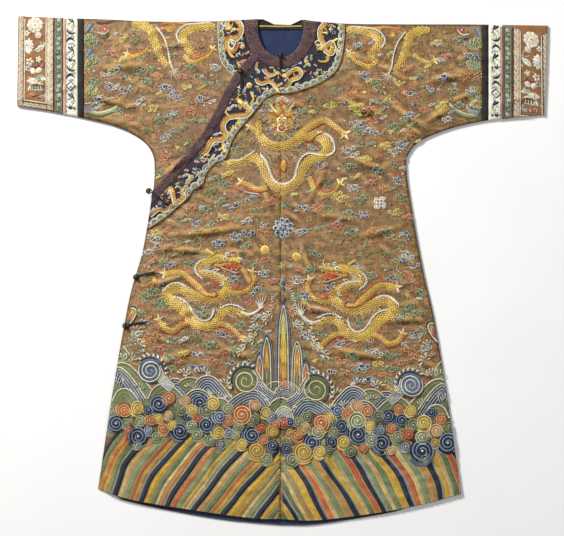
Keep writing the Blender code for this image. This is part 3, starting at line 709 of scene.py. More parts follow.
def folded(name, faces, under, seams, material, back_edge=None):
    """Cloth folded over itself: a lifted front and a flat back, one sheet at the seams."""
    used, inverse = np.unique(faces, return_inverse=True)
    faces = inverse.reshape(faces.shape)
    points = plan_points[used]
    (loop,) = loops_of(faces)
    loop = np.array(loop)
    near = np.min([distance_to(points[loop], seam) for seam in seams], axis=0) < NEAR_SEAM
    if back_edge is not None:
        loop, near = seams_first(loop, near)
    edge = moved_in(points, loop, SEAM_GAP / 2)
    inner = moved_in(points, loop, SEAM_GAP / 2 + WALL)
    open_rim = moved_in(points, loop, SEAM_GAP / 2 + WALL * RIM_BULGE)
    heights = under(points)
    shape = Shape()
    outer_plan, inner_plan = points.copy(), points.copy()
    fold_line = moved_in(points, loop, SEAM_GAP / 2 + FOLD_BULGE)
    outer_plan[loop] = np.where(near[:, None], fold_line, open_rim)
    inner_plan[loop] = np.where(near[:, None], inner, open_rim)
    top = shape.add(outer_plan, heights + WALL)
    ceiling = shape.add(inner_plan, heights)
    shape.sheet(faces, top)
    shape.sheet(faces, ceiling, downwards=True)

    if back_edge is None:
        back_points, back_faces = points, faces
        back_loop = loop
        shared = {int(n): int(n) for n in loop[near]}
    else:
        outline = np.vstack((edge[near], back_edge))
        closed = np.vstack((outline, outline[:1]))
        back_points, back_faces = triangulate([closed], BACK_STEP, outline)
        middles = back_points[back_faces].mean(axis=1)
        back_faces = largest_part(back_faces[inside(middles, outline)])
        (back_loop,) = loops_of(back_faces)
        back_loop = np.array(back_loop)
        shared = {}
        for n, place in zip(loop[near], edge[near]):
            off = np.linalg.norm(back_points[back_loop] - place, axis=1)
            shared[int(back_loop[int(np.argmin(off))])] = int(n)
    order = {int(n): k for k, n in enumerate(loop)}
    outer_plan, inner_plan = back_points.copy(), back_points.copy()
    back_rim = moved_in(back_points, back_loop, WALL * RIM_BULGE)
    outer_plan[back_loop] = back_rim
    inner_plan[back_loop] = back_rim
    for b, n in shared.items():
        outer_plan[b] = fold_line[order[n]]
        inner_plan[b] = inner[order[n]]
    lift = back_hollow(back_points)
    bottom = shape.add(outer_plan, lift)
    floor = shape.add(inner_plan, lift + BACK_WALL)
    shape.sheet(back_faces, bottom, downwards=True)
    shape.sheet(back_faces, floor)

    # The rounded folds along the seams, and the rims of the open edges.
    total = heights[loop] + WALL
    fold_rows = []
    for share in (0.25, 0.5, 0.75):
        bulge = FOLD_BULGE * math.sin(math.pi * share) - FOLD_BULGE
        plan = moved_in(points, loop, SEAM_GAP / 2 - bulge - FOLD_BULGE * 0.4)
        fold_rows.append(shape.add(plan, total * share))
    inner_middle = shape.add(moved_in(points, loop, SEAM_GAP / 2 + WALL * 0.9), total / 2)
    rim = shape.add(edge, heights[loop] + WALL / 2)
    back_edges = {}
    size = len(back_loop)
    for k in range(size):
        back_edges[(int(back_loop[k]), int(back_loop[(k + 1) % size]))] = k
    rim_plan = moved_in(back_points, back_loop, 0.0)
    back_rim_row = shape.add(rim_plan, lift[back_loop] + BACK_WALL / 2)
    at_back = {n: b for b, n in shared.items()}
    used_back = set()
    size = len(loop)
    ends = set()
    for k in range(size):
        m = (k + 1) % size
        a, b = int(loop[k]), int(loop[m])
        pair = (at_back.get(a), at_back.get(b))
        if near[k] and near[m] and pair in back_edges:
            used_back.add(pair)
            rows = [(top + a, top + b)]
            rows += [(fold_rows[i] + k, fold_rows[i] + m) for i in (2, 1, 0)]
            rows.append((bottom + pair[0], bottom + pair[1]))
            for (p, q), (r, s) in zip(rows, rows[1:]):
                shape.faces.append((p, r, s, q))
            rows = [(ceiling + a, ceiling + b), (inner_middle + k, inner_middle + m)]
            rows.append((floor + pair[0], floor + pair[1]))
            for (p, q), (r, s) in zip(rows, rows[1:]):
                shape.faces.append((p, q, s, r))
        else:
            shape.faces.append((top + a, rim + k, rim + m, top + b))
            shape.faces.append((rim + k, ceiling + a, ceiling + b, rim + m))
            ends |= {k} if near[k] else set()
            ends |= {m} if near[m] else set()
    for (a, b), k in back_edges.items():
        if (a, b) not in used_back:
            m = (k + 1) % len(back_loop)
            shape.faces.append((bottom + a, bottom + b, back_rim_row + m, back_rim_row + k))
            shape.faces.append((back_rim_row + k, back_rim_row + m, floor + b, floor + a))
    for k in sorted(ends):
        n = int(loop[k])
        if n in at_back:
            b = at_back[n]
            kb = int(np.flatnonzero(back_loop == b)[0])
            low_fold, middle_fold, high_fold = (row + k for row in fold_rows)
            shape.faces.append((top + n, high_fold, middle_fold, inner_middle + k, ceiling + n, rim + k))
            shape.faces.append((bottom + b, back_rim_row + kb, floor + b, inner_middle + k, middle_fold,
                                low_fold))
    piece = new_piece(name, shape.all_points(), shape.faces, [material], flat=True)
    paint_relief_shade(piece, shape.all_points())
    return piece


def face_outwards(piece):
    """Turns every face of a closed piece outwards."""
    shell = bmesh.new()
    shell.from_mesh(piece.data)
    bmesh.ops.recalc_face_normals(shell, faces=shell.faces)
    shell.to_mesh(piece.data)
    shell.free()
    return piece


# Materials -------------------------------------------------------------------------------------


def colour(red, green, blue):
    """A colour as paint charts give it, in linear light."""
    parts = [c / 255 for c in (red, green, blue)]
    return tuple(c / 12.92 if c <= 0.04045 else ((c + 0.055) / 1.055) ** 2.4 for c in parts)


def darker(tint, share):
    """A colour at a share of its strength."""
    return tuple(c * share for c in tint)


class Weave:
    """A material while it is built: its nodes, and its one principled shader."""

    def __init__(self, name, roughness=0.6, metallic=0.0, sheen=0.0, specular=0.4, space="Object"):
        self.material = bpy.data.materials.new(name)
        self.material.use_nodes = True
        self.tree = self.material.node_tree
        self.shader = self.tree.nodes["Principled BSDF"]
        for key, value in (("Roughness", roughness), ("Metallic", metallic), ("Sheen Weight", sheen),
                           ("Sheen Roughness", 0.4), ("Specular IOR Level", specular)):
            self.shader.inputs[key].default_value = value
        if space == "Object":
            self.where = self.node("ShaderNodeTexCoord").outputs["Object"]
        else:
            uv = self.node("ShaderNodeUVMap")
            uv.uv_map = space
            self.where = uv.outputs["UV"]

    def node(self, kind, **links):
        """A new node, its inputs given by name, or by number as _0."""
        made = self.tree.nodes.new(kind)
        for key, value in links.items():
            self.put(made, key, value)
        return made

    def put(self, node, key, value):
        """Links an input to another node's output, or sets its value."""
        socket = node.inputs[int(key[1:]) if key[0] == "_" else key.replace("_", " ")]
        if isinstance(value, bpy.types.NodeSocket):
            self.tree.links.new(value, socket)
        else:
            if isinstance(value, tuple) and len(value) == 3 and socket.type == "RGBA":
                value = (*value, 1.0)
            socket.default_value = value

    def attribute(self, name, output):
        """A value that the mesh holds at each point."""
        made = self.node("ShaderNodeAttribute")
        made.attribute_name = name
        return made.outputs[output]

    def stretched(self, x, y, z=1.0, turn=0.0):
        """The place, scaled in cycles a metre (or a millimetre on a stitch map)."""
        mapping = self.node("ShaderNodeMapping", Vector=self.where)
        mapping.inputs["Rotation"].default_value = (0, 0, turn)
        mapping.inputs["Scale"].default_value = (x, y, z)
        return mapping.outputs["Vector"]

    def noise(self, where, detail=3.0, rough=0.55, scale=1.0):
        made = self.node("ShaderNodeTexNoise", Vector=where, Scale=scale, Detail=detail, Roughness=rough)
        return made.outputs["Fac"]

    def cells(self, where, scale=1.0, randomness=1.0, feature="F1"):
        made = self.node("ShaderNodeTexVoronoi", Vector=where, Scale=scale, Randomness=randomness)
        made.feature = feature
        return made.outputs["Distance"]

    def wave(self, where, scale=1.0, distortion=0.0, direction="X"):
        made = self.node("ShaderNodeTexWave", Vector=where, Scale=scale, Distortion=distortion)
        made.bands_direction = direction
        return made.outputs["Fac"]

    def span(self, value, low, high, to_low=0.0, to_high=1.0):
        """One range mapped onto another."""
        made = self.node("ShaderNodeMapRange", Value=value)
        for key, number in zip(("From Min", "From Max", "To Min", "To Max"), (low, high, to_low, to_high)):
            made.inputs[key].default_value = number
        return made.outputs["Result"]

    def math(self, kind, a, b=0.0):
        made = self.node("ShaderNodeMath", _0=a, _1=b)
        made.operation = kind
        return made.outputs["Value"]

    def mix(self, share, a, b, kind="MIX"):
        made = self.node("ShaderNodeMix")
        made.data_type = "RGBA"
        made.blend_type = kind
        self.put(made, "_0", share)
        self.put(made, "_6", a)
        self.put(made, "_7", b)
        return made.outputs[2]

    def finish(self, base, height=None, distance=0.0004, strength=0.6, roughness=None):
        """The material itself, with its colour, its relief and its gloss."""
        self.put(self.shader, "Base Color", base)
        if roughness is not None:
            self.put(self.shader, "Roughness", roughness)
        if height is not None:
            bump = self.node("ShaderNodeBump", Height=height)
            bump.inputs["Distance"].default_value = distance
            bump.inputs["Strength"].default_value = strength
            self.put(self.shader, "Normal", bump.outputs["Normal"])
        return self.material


def satin_material(name, main, warm, cool, light, weave=1150.0, sheen=0.3, roughness=0.5):
    """Silk satin: long floats of thread, puckered and stained in soft patches, with painted highlights and
    painted shade on its puckers, its slanting streaks and its relief.
    """
    w = Weave(name, roughness=roughness, sheen=sheen, specular=0.35)
    w.shader.inputs["Sheen Tint"].default_value = (*light, 1.0)
    patches = w.noise(w.stretched(6, 6, 6), detail=2.5)
    stains = w.noise(w.stretched(17, 14, 17, 0.6), detail=4.0)
    puckers = w.noise(w.stretched(90, 58, 80, 0.5), detail=4.0, rough=0.6)
    slubs = w.noise(w.stretched(900, 70, 60), detail=2.0)
    # Slanting streaks of painted highlight, with painted dark crease lines along their middles.
    folds = w.noise(w.stretched(20, 62, 50, 0.42), detail=3.5, rough=0.55)
    off_fold = w.math("ABSOLUTE", w.math("SUBTRACT", folds, 0.5), 0.0)
    fine = w.noise(w.stretched(300, 220, 260), detail=2.0)
    # The painted light and shade that the mesh holds at each point: light where the cloth stands up, shade
    # where it falls.
    painted_relief_shade = w.attribute("painted_relief_shade", "Fac")
    base = main
    for field, start, full, most, tint in (
        (patches, 0.4, 0.62, 1.0, warm),
        (stains, 0.44, 0.66, 0.85, cool),
        # Painted highlight on the puckers' tops and painted shade in their hollows; the same field is their
        # bump.
        (puckers, 0.5, 0.74, 0.5, light),
        (puckers, 0.5, 0.28, 0.55, darker(main, 0.5)),
        (fine, 0.4, 0.66, 0.6, darker(main, 0.5)),
        (fine, 0.48, 0.3, 0.35, light),
        (slubs, 0.35, 0.75, 0.2, light),
        # Painted highlights on the slanting streaks, and painted dark crease lines.
        (folds, 0.54, 0.64, 0.3, light),
        (off_fold, 0.03, 0.0, 0.75, darker(main, 0.35)),
        # Painted highlight where the cloth stands up, painted shade where it falls; the attribute also
        # darkens near the edges.
        (painted_relief_shade, 0.54, 0.95, 0.85, light),
        (painted_relief_shade, 0.46, 0.08, 0.9, darker(main, 0.3)),
    ):
        base = w.mix(w.span(field, start, full, 0.0, most), base, tint)
    floats = w.wave(w.stretched(weave * 0.35, weave, weave, 0.5), scale=0.5, distortion=0.6)
    fine_height = w.math("MULTIPLY", w.math("ADD", floats, slubs), 0.12)
    height = w.math("ADD", fine_height, w.math("ADD", puckers, w.math("MULTIPLY", stains, 2.0)))
    gloss = w.span(slubs, 0.3, 0.8, roughness + 0.08, roughness - 0.1)
    return w.finish(base, height, 0.0026, 0.75, gloss)


def floss_material(name, roughness, metallic, sheen, shine, twist):
    """Embroidery thread: its colour is the stitch's own, streaked along the thread with painted shade between
    the threads and soft patches of painted shine.
    """
    w = Weave(name, roughness=roughness, metallic=metallic, sheen=sheen, specular=0.45, space="stitch")
    own = w.attribute("thread", "Color")
    threads = w.noise(w.stretched(1.6, 0.16), detail=2.0)
    strands = w.wave(w.stretched(1.0, 0.0), scale=twist, distortion=1.2)
    patch = w.noise(w.stretched(0.11, 0.16), detail=2.0)
    dark = w.mix(1.0, own, (0.52, 0.48, 0.44), "MULTIPLY")
    light = w.mix(1.0, own, (1 + shine, 1 + 0.9 * shine, 1 + 0.7 * shine), "MULTIPLY")
    # Painted shade where the thread field is low, in the grooves of the bump; painted shine in soft patches.
    base = w.mix(w.span(threads, 0.3, 0.62), dark, own)
    base = w.mix(w.span(patch, 0.5, 0.8, 0.0, 0.8), base, light)
    height = w.math("ADD", w.math("MULTIPLY", strands, 0.6), threads)
    return w.finish(base, height, 0.0005, 0.7)


def plain_silk(name, main, other, weave_x=700.0, weave_y=700.0, patch=30.0, roughness=0.65, sheen=0.3):
    """A plain weave of two close colours."""
    w = Weave(name, roughness=roughness, sheen=sheen, specular=0.3)
    patches = w.noise(w.stretched(patch, patch, patch), detail=4.0)
    across = w.wave(w.stretched(weave_x, 0, 0), scale=0.32)
    along = w.wave(w.stretched(0, weave_y, 0), scale=0.32, direction="Y")
    base = w.mix(w.span(patches, 0.35, 0.7), main, other)
    threads = w.math("MULTIPLY", across, along)
    base = w.mix(w.math("MULTIPLY", threads, 0.35), base, darker(main, 0.55))
    return w.finish(base, threads, 0.0003, 0.6)


def brocade_material():
    """Dark purple-brown brocade with a small woven diamond."""
    w = Weave("brocade", roughness=0.75, sheen=0.1, specular=0.2)
    turned = w.stretched(150, 150, 150, math.pi / 4)
    diamonds = w.cells(turned, randomness=0.0)
    flecks = w.noise(w.stretched(420, 420, 420), detail=3.0)
    patches = w.noise(w.stretched(34, 34, 34), detail=3.0)
    base = w.mix(w.span(diamonds, 0.2, 0.42), colour(92, 68, 70), colour(42, 29, 36))
    base = w.mix(w.span(flecks, 0.46, 0.64, 0.0, 0.9), base, colour(132, 102, 92))
    base = w.mix(w.span(patches, 0.4, 0.7, 0.0, 0.6), base, colour(48, 36, 50))
    height = w.math("SUBTRACT", flecks, w.math("MULTIPLY", diamonds, 0.8))
    return w.finish(base, height, 0.0005, 0.7)


def brass_material():
    """Old gilt brass, chased with a small flower and darker in its hollows."""
    w = Weave("gilt_brass", roughness=0.34, metallic=1.0, specular=0.5)
    hollows = w.cells(w.stretched(430, 430, 430), feature="DISTANCE_TO_EDGE")
    tarnish = w.noise(w.stretched(260, 260, 260), detail=3.0)
    base = w.mix(w.span(hollows, 0.02, 0.16), colour(30, 24, 16), colour(104, 86, 54))
    base = w.mix(w.span(tarnish, 0.5, 0.75, 0.0, 0.5), base, colour(60, 52, 36))
    return w.finish(base, hollows, 0.0006, 0.6, w.span(tarnish, 0.3, 0.7, 0.28, 0.5))


satin = satin_material(
    "brown_satin", colour(118, 83, 38), colour(142, 86, 42), colour(102, 84, 43), colour(192, 150, 84)
)
navy_satin = satin_material(
    "navy_satin", colour(14, 13, 34), colour(20, 15, 32), colour(9, 12, 26), colour(40, 38, 66),
    sheen=0.06, roughness=0.65,
)
brocade = brocade_material()
black_silk = plain_silk("black_silk", colour(27, 24, 22), colour(38, 34, 31), 620, 620, 40, 0.7, 0.15)
lining = plain_silk("blue_lining", colour(20, 32, 66), colour(30, 46, 84), 160, 900, 22, 0.65, 0.15)
piping = plain_silk("yellow_piping", colour(184, 172, 84), colour(150, 140, 62), 500, 500, 60, 0.6, 0.3)
green_ribbon = plain_silk("green_ribbon", colour(110, 116, 92), colour(92, 98, 74), 520, 520, 50)
floral_ribbon = plain_silk("floral_ribbon", colour(226, 224, 206), colour(210, 208, 192), 520, 520, 50)
cuff_silk = plain_silk("cuff_silk", colour(146, 102, 60), colour(126, 86, 50), 560, 560, 32)
brass = brass_material()
floss = floss_material("silk_floss", 0.5, 0.0, 0.25, 0.3, 0.45)
gold_thread = floss_material("gold_thread", 0.45, 0.1, 0.1, 0.25, 0.6)


# The cloth -------------------------------------------------------------------------------------

middles_x = plan_middles[:, 0]
middles_y = plan_middles[:, 1]
band_left_start = BANDS["black"][0]
band_right_start = BANDS["black"][2]


def back_edge_left():
    """The left back's hem, centre seam and neck, from the side seam round."""
    hem = curve(LEFT_BACK_HEM, BACK_STEP)[1:-1]
    seam = straight((-SEAM_GAP / 2, LEFT_BACK_HEM[-1][1]), (-SEAM_GAP / 2, BACK_NECK_MIDDLE), BACK_STEP)
    return np.vstack((hem, seam, BACK_NECK_LEFT))


def back_edge_right():
    """The right back's neck, centre seam and hem, round to the side seam."""
    seam = straight((SEAM_GAP / 2, BACK_NECK_MIDDLE), (SEAM_GAP / 2, RIGHT_BACK_HEM[-1][1]), BACK_STEP)
    hem = curve(RIGHT_BACK_HEM, BACK_STEP)[-2:0:-1]
    return np.vstack((BACK_NECK_RIGHT, seam, hem))


def make_cloth():
    """The halves, the overlap, the ribbons, the facings and the edgings."""
    left = (middles_x < 0) & (middles_x > -band_left_start) & inside(plan_middles, underlap_area)
    right = (middles_x > 0) & (middles_x < band_right_start)
    made = {
        "cloth_left": folded("cloth_left", faces_where(left), under_left_front, (left_top, left_seam),
                             satin, back_edge_left()),
        "cloth_right": folded("cloth_right", faces_where(right), under_right_front,
                              (right_top, right_side), satin, back_edge_right()),
        "cloth_overlap": laid("cloth_overlap", plan_points, faces_where(in_overlap), under_overlap,
                              WALL, satin),
    }
    silks = {"black": black_silk, "floral": floral_ribbon, "green": green_ribbon, "wide": cuff_silk}
    for band, (left_start, left_end, right_start, right_end) in BANDS.items():
        low = middles_y > -300
        chosen = (middles_x < -left_start) & (middles_x > -left_end) & low
        made[f"ribbon_{band}_left"] = folded(
            f"ribbon_{band}_left", faces_where(chosen), under_band, (left_top, left_side), silks[band]
        )
        chosen = (middles_x > right_start) & (middles_x < right_end) & low
        made[f"ribbon_{band}_right"] = folded(
            f"ribbon_{band}_right", faces_where(chosen), under_band, (right_top, right_side), silks[band]
        )
    main = (in_overlap | (middles_x > 0)) & inside(plan_middles, main_facing_area)
    main &= ~in_neck_binding & ~in_diagonal
    made["collar_main"] = laid("collar_main", plan_points, faces_where(main), on_outer, FACING_THICK,
                               navy_satin)
    left = (middles_x < 0) & inside(plan_middles, left_facing_area) & ~in_neck_binding & ~in_overlap
    made["collar_left"] = laid("collar_left", plan_points, faces_where(left), on_left_front,
                               FACING_THICK, navy_satin)
    made["edging_neck"] = laid("edging_neck", plan_points, faces_where(in_neck_binding), on_neck,
                               BINDING_THICK, brocade)
    edge = in_diagonal & in_overlap & ~in_neck_binding
    made["edging_overlap"] = laid("edging_overlap", plan_points, faces_where(edge), on_outer,
                                  BINDING_THICK, brocade)
    return made


cloth = make_cloth()
for piece in cloth.values():
    face_outwards(piece)


# The stage -------------------------------------------------------------------------------------


def make_stage():
    """The floor the robe lies on."""
    mesh = bpy.data.meshes.new("floor")
    reach = 6.0
    mesh.from_pydata([(-reach, -reach, 0), (reach, -reach, 0), (reach, reach, 0), (-reach, reach, 0)],
                     [], [(0, 1, 2, 3)])
    w = Weave("pale_floor", roughness=0.9, specular=0.1)
    grain = w.noise(w.stretched(3, 3, 3))
    mesh.materials.append(w.finish(w.mix(w.span(grain, 0.3, 0.7), (0.83, 0.83, 0.83), (0.86, 0.86, 0.86))))
    floor = bpy.data.objects.new("floor", mesh)
    bpy.context.collection.objects.link(floor)


def make_light(name, place, size, power, tint):
    """A round lamp that faces the robe."""
    lamp = bpy.data.lights.new(name, "AREA")
    lamp.shape = "DISK"
    lamp.size = size
    lamp.energy = power
    lamp.color = tint
    holder = bpy.data.objects.new(name, lamp)
    holder.location = place
    holder.rotation_euler = (-Vector(place)).to_track_quat("-Z", "Y").to_euler()
    bpy.context.collection.objects.link(holder)


CAMERA_AT = np.array((3.2, -657.5, 0.0))
CAMERA_HEIGHT = 6.0
VIEW_WIDTH = 1.494


def make_camera():
    """A camera straight above the robe."""
    camera = bpy.data.cameras.new("camera")
    camera.sensor_width = 36.0
    camera.lens = camera.sensor_width * CAMERA_HEIGHT / VIEW_WIDTH
    holder = bpy.data.objects.new("camera", camera)
    holder.location = (CAMERA_AT + SHIFT) * MM
    holder.location.z = CAMERA_HEIGHT
    bpy.context.collection.objects.link(holder)
    bpy.context.scene.camera = holder


make_stage()
make_camera()
make_light("key", (-3.6, 4.2, 2.6), 1.2, 700, (1.0, 0.985, 0.96))
make_light("fill", (2.6, -1.2, 3.2), 2.4, 26, (0.96, 0.98, 1.0))
make_light("top", (0.3, 0.2, 4.5), 3.0, 34, (1.0, 1.0, 1.0))
world = bpy.data.worlds.new("studio")
world.use_nodes = True
world.node_tree.nodes["Background"].inputs["Color"].default_value = (1, 1, 1, 1)
world.node_tree.nodes["Background"].inputs["Strength"].default_value = 0.17
bpy.context.scene.world = world
bpy.context.scene.view_settings.view_transform = "Standard"


# Embroidery tools ------------------------------------------------------------------------------


def around(x, y, reach, turn):
    """The place at a distance and a direction in radians from another."""
    return x + reach * math.cos(turn), y + reach * math.sin(turn)


def top_surface(piece):
    """The piece's cloth as a surface that can be looked down on."""
    mesh = piece.data
    places = np.empty(len(mesh.vertices) * 3)
    mesh.vertices.foreach_get("co", places)
    corners = [tuple(p.vertices) for p in mesh.polygons if p.normal.z > 0.3 or p.normal.z < -0.3]
    return BVHTree.FromPolygons((places.reshape(-1, 3) / MM - SHIFT).tolist(), corners)


surfaces = {name: top_surface(piece) for name, piece in cloth.items()}
ABOVE = 60.0  # where rays start, over everything
OVERHANG = 0.8  # how far a stitch may reach past its cloth
COARSE_BELOW = 1.7
PRESSED = 0.09
CLEAR_OF_FLOOR = 0.03
SUNK = 0.35  # how far the edges of a stitch go into the cloth
CLOUD_LIFT, DRAGON_LIFT, SEA_LIFT, LOW_LIFT, BACK_LIFT = 0.45, 0.7, 0.8, 0.4, 1.4
FLOSS, GOLD = 0, 1


class Work:
    """The embroidery of one part of the robe, gathered as points, triangles and thread colours."""

    def __init__(self, name, grounds, side=1, drop=None, shift=0.0, below=False):
        self.name = name
        self.grounds = grounds
        self.side = side
        self.drop = drop
        self.shift = shift
        self.below = below
        self.coarse = COARSE_BELOW if below else 1.0
        self.points, self.faces, self.colours, self.stitches, self.kinds = [], [], [], [], []
        self.count = 0
        self.lift = CLOUD_LIFT

    def add(self, plan, rise, faces, colours, stitches, kind):
        """Adds a patch of stitches: its plan, how far it stands up, and its thread."""
        self.points.append(np.column_stack((plan[:, :2], rise + self.lift)))
        self.faces.append(np.asarray(faces) + self.count)
        colours = np.broadcast_to(colours, (len(plan), 3)) * (1 + rng.normal(0, 0.03, (len(plan), 1)))
        self.colours.append(np.clip(colours * (1 + rng.normal(0, 0.06)), 0, 1))
        self.stitches.append(stitches + rng.uniform(0, 300, 2))
        self.kinds.append(np.full(len(faces), kind))
        self.count += len(plan)

    def add_grid(self, plan, heights, quads, shades, stitches, kind=FLOSS):
        """Adds a patch whose points stand in rows and columns."""
        self.add(plan.reshape(-1, 2), heights.reshape(-1), quads.reshape(-1, 4), shades.reshape(-1, 3),
                 stitches.reshape(-1, 2), kind)

    def ribbon(self, rows, width, tint, to=None, kind=FLOSS, dome=0.5, step=3.5, rise=0.0,
               across=2, fade=None, edge=None):
        """A band of stitches along a curve. A third column in rows gives the width along it."""
        rows = np.asarray(rows, float)
        path = curve(rows, step * self.coarse)
        widths = path[:, 2] if rows.shape[1] > 2 else np.full(len(path), float(width))
        if fade:
            t = np.linspace(0, 1, len(path))
            start, end = fade
            widths = widths * np.minimum(np.minimum(start + t * 6, end + (1 - t) * 6), 1)
        along = directions(path)
        left = np.column_stack((-along[:, 1], along[:, 0]))
        offsets = np.linspace(-1, 1, across + 1)
        count, columns = len(path), across + 1
        plan = path[:, None, :2] + left[:, None] * (widths[:, None, None] / 2 * offsets[:, None])
        heights = np.broadcast_to(rise - SUNK + (dome + SUNK) * (1 - offsets**2), (count, columns))
        run = np.concatenate(([0], np.cumsum(np.hypot(*np.diff(path[:, :2], axis=0).T))))
        stitches = np.stack(np.broadcast_arrays(run[:, None], widths[:, None] / 2 * offsets), axis=-1)
        share = (run / max(run[-1], 1e-9))[:, None, None]
        first = np.asarray(tint)
        last = np.asarray(tint if to is None else to)
        shades = first * (1 - share) + last * share
        shades = np.broadcast_to(shades, (count, columns, 3)).copy()
        if edge is not None:
            shades[:, 0] = edge
            shades[:, -1] = edge
        number = np.arange(count * columns).reshape(count, columns)
        self.add_grid(plan, heights, grid_quads(number, other_way=True), shades, stitches, kind)

    def disc(self, x, y, radius, tint, rim=None, dome=0.9, long=1.0, turn=0.0, sides=14, kind=FLOSS,
             rise=0.0):
        """A round or oval boss, with its own colour at the rim."""
        rings = np.array((0.0, 0.55, 0.86, 1.0))
        sides = max(6, round(sides / self.coarse))
        angle = np.linspace(0, 2 * math.pi, sides, endpoint=False)
        c, s = math.cos(math.radians(turn)), math.sin(math.radians(turn))
        plan, heights, shades, stitches = [], [], [], []
        rim = tint if rim is None else rim
        for k, ring in enumerate(rings):
            for a in angle if k else angle[:1]:
                u, v = radius * long * ring * math.cos(a), radius * ring * math.sin(a)
                plan.append((x + u * c - v * s, y + u * s + v * c))
                heights.append(rise - SUNK + (dome + SUNK) * (1 - ring**3))
                shades.append(rim if k >= 2 else tint)
                stitches.append((u, v))
        faces = []
        for k in range(sides):
            m = (k + 1) % sides
            faces.append((0, 1 + k, 1 + m, 1 + m))
            for ring in range(2):
                a = 1 + ring * sides
                faces.append((a + k, a + sides + k, a + sides + m, a + m))
        self.add(np.array(plan), np.array(heights), faces, np.array(shades), np.array(stitches), kind)

    def spiral(self, x, y, radius, width, tint, turns=1.6, start=0.0, hand=1, core=0.0, to=None,
               kind=FLOSS, rise=0.3, dome=0.4, fade=(0.3, 0.3)):
        """A scroll that winds inwards."""
        steps = max(8, int(turns * 9))
        t = np.linspace(0, 1, steps)
        angle = math.radians(start) + hand * t * turns * 2 * math.pi
        reach = radius * (1 - t) ** 0.9 + core * t
        rows = np.column_stack((x + reach * np.cos(angle), y + reach * np.sin(angle)))
        self.ribbon(rows, width, tint, to=to, kind=kind, rise=rise, dome=dome, fade=fade,
                    step=max(2.2, radius / 6))

    def spike(self, x, y, turn, length, width, tint, to=None, bend=0.0, kind=FLOSS, rise=0.2):
        """A tapered tuft of thread from a point, curving as it goes."""
        turn = math.radians(turn)
        t = np.linspace(0, 1, 4)
        angle = turn + math.radians(bend) * t
        rows = np.column_stack((
            x + length * t * np.cos(angle), y + length * t * np.sin(angle),
            width * (1 - t) ** 0.7 + 0.5,
        ))
        self.ribbon(rows, width, tint, to=to, kind=kind, rise=rise, step=max(length / 5, 2))

    def finish(self):
        """The piece itself, each stitch laid on the cloth below it."""
        points = np.vstack(self.points)
        plan = points[:, :2] * (self.side, 1) + (self.shift, 0)
        if self.drop is not None:
            plan[:, 1] -= self.drop(np.abs(plan[:, 0]))
        base = np.empty(len(plan))
        off = np.zeros(len(plan), bool)
        toward = Vector((0, 0, 1 if self.below else -1))
        start = -ABOVE if self.below else ABOVE
        trees = [surfaces[name] for name in self.grounds]
        for i, (x, y) in enumerate(plan):
            for tree in trees:
                hit = tree.ray_cast(Vector((x, y, start)), toward)[0]
                if hit:
                    break
            else:
                found = [tree.find_nearest(Vector((x, y, 0.0 if self.below else 8.0))) for tree in trees]
                hit = min(found, key=lambda each: each[3])[0]
                off[i] = math.dist((x, y), hit[:2]) > OVERHANG
                plan[i] = hit[:2]
            base[i] = hit.z
        faces = np.vstack(self.faces)
        kinds = np.concatenate(self.kinds)
        kept = ~off[faces].all(axis=1)
        faces, kinds = faces[kept], kinds[kept]
        if (self.side < 0) != self.below:
            faces = faces[:, ::-1]
        flat = [tuple(dict.fromkeys(f)) for f in faces.tolist()]
        heights = base + points[:, 2]
        if self.below:
            heights = np.maximum(base - 0.1 - PRESSED * points[:, 2], CLEAR_OF_FLOOR)
        places = np.column_stack((plan, heights))
        piece = new_piece(self.name, places, flat, [floss, gold_thread], kinds, flat=True)
        mesh = piece.data
        shades = np.column_stack((np.vstack(self.colours), np.ones(len(plan))))
        thread = mesh.color_attributes.new("thread", "FLOAT_COLOR", "POINT")
        thread.data.foreach_set("color", shades.ravel())
        numbers = np.empty(len(mesh.loops), int)
        mesh.loops.foreach_get("vertex_index", numbers)
        mesh.uv_layers.new(name="stitch").data.foreach_set("uv", np.vstack(self.stitches)[numbers].ravel())
        return piece


# How much lower the right half's work lies than the left's, at a distance from the centre seam.
def low_drop(reach):
    """For the sea and the lower dragon."""
    return 16 + 0.064 * reach


def sleeve_drop(reach):
    """For the dragon of the shoulder."""
    return 4 + 0.03 * reach


def cuff_drop(reach):
    """For the ribbons and the cuff."""
    return 2 + 0.2 * (reach - 480)


SLEEVES = (("left", 1, 0.0, None), ("right", -1, 13.0, cuff_drop))  # name, side, shift, drop


# Threads ---------------------------------------------------------------------------------------

WHITE = colour(238, 232, 214)
CREAM = colour(222, 208, 178)
BLACK = colour(26, 22, 24)
GOLD_LIGHT = colour(246, 216, 108)
GOLD_MAIN = colour(216, 172, 66)
GOLD_DEEP = colour(124, 80, 32)
YELLOW = colour(222, 192, 66)
ORANGE = colour(198, 104, 50)
PEACH = colour(228, 172, 116)
RED = colour(174, 60, 36)
PINK = colour(208, 158, 136)
BROWN = colour(96, 60, 36)
GREEN = colour(88, 108, 72)
GREEN_PALE = colour(162, 170, 122)
SAGE = colour(148, 160, 120)
OLIVE = colour(128, 122, 60)
MINT = colour(140, 176, 152)
BLUE = colour(44, 64, 106)
BLUE_PALE = colour(170, 184, 188)
BLUE_GREY = colour(100, 114, 130)
NAVY = colour(24, 31, 62)
LAVENDER = colour(158, 154, 176)
TAN = colour(180, 132, 76)
LIME = colour(196, 196, 52)


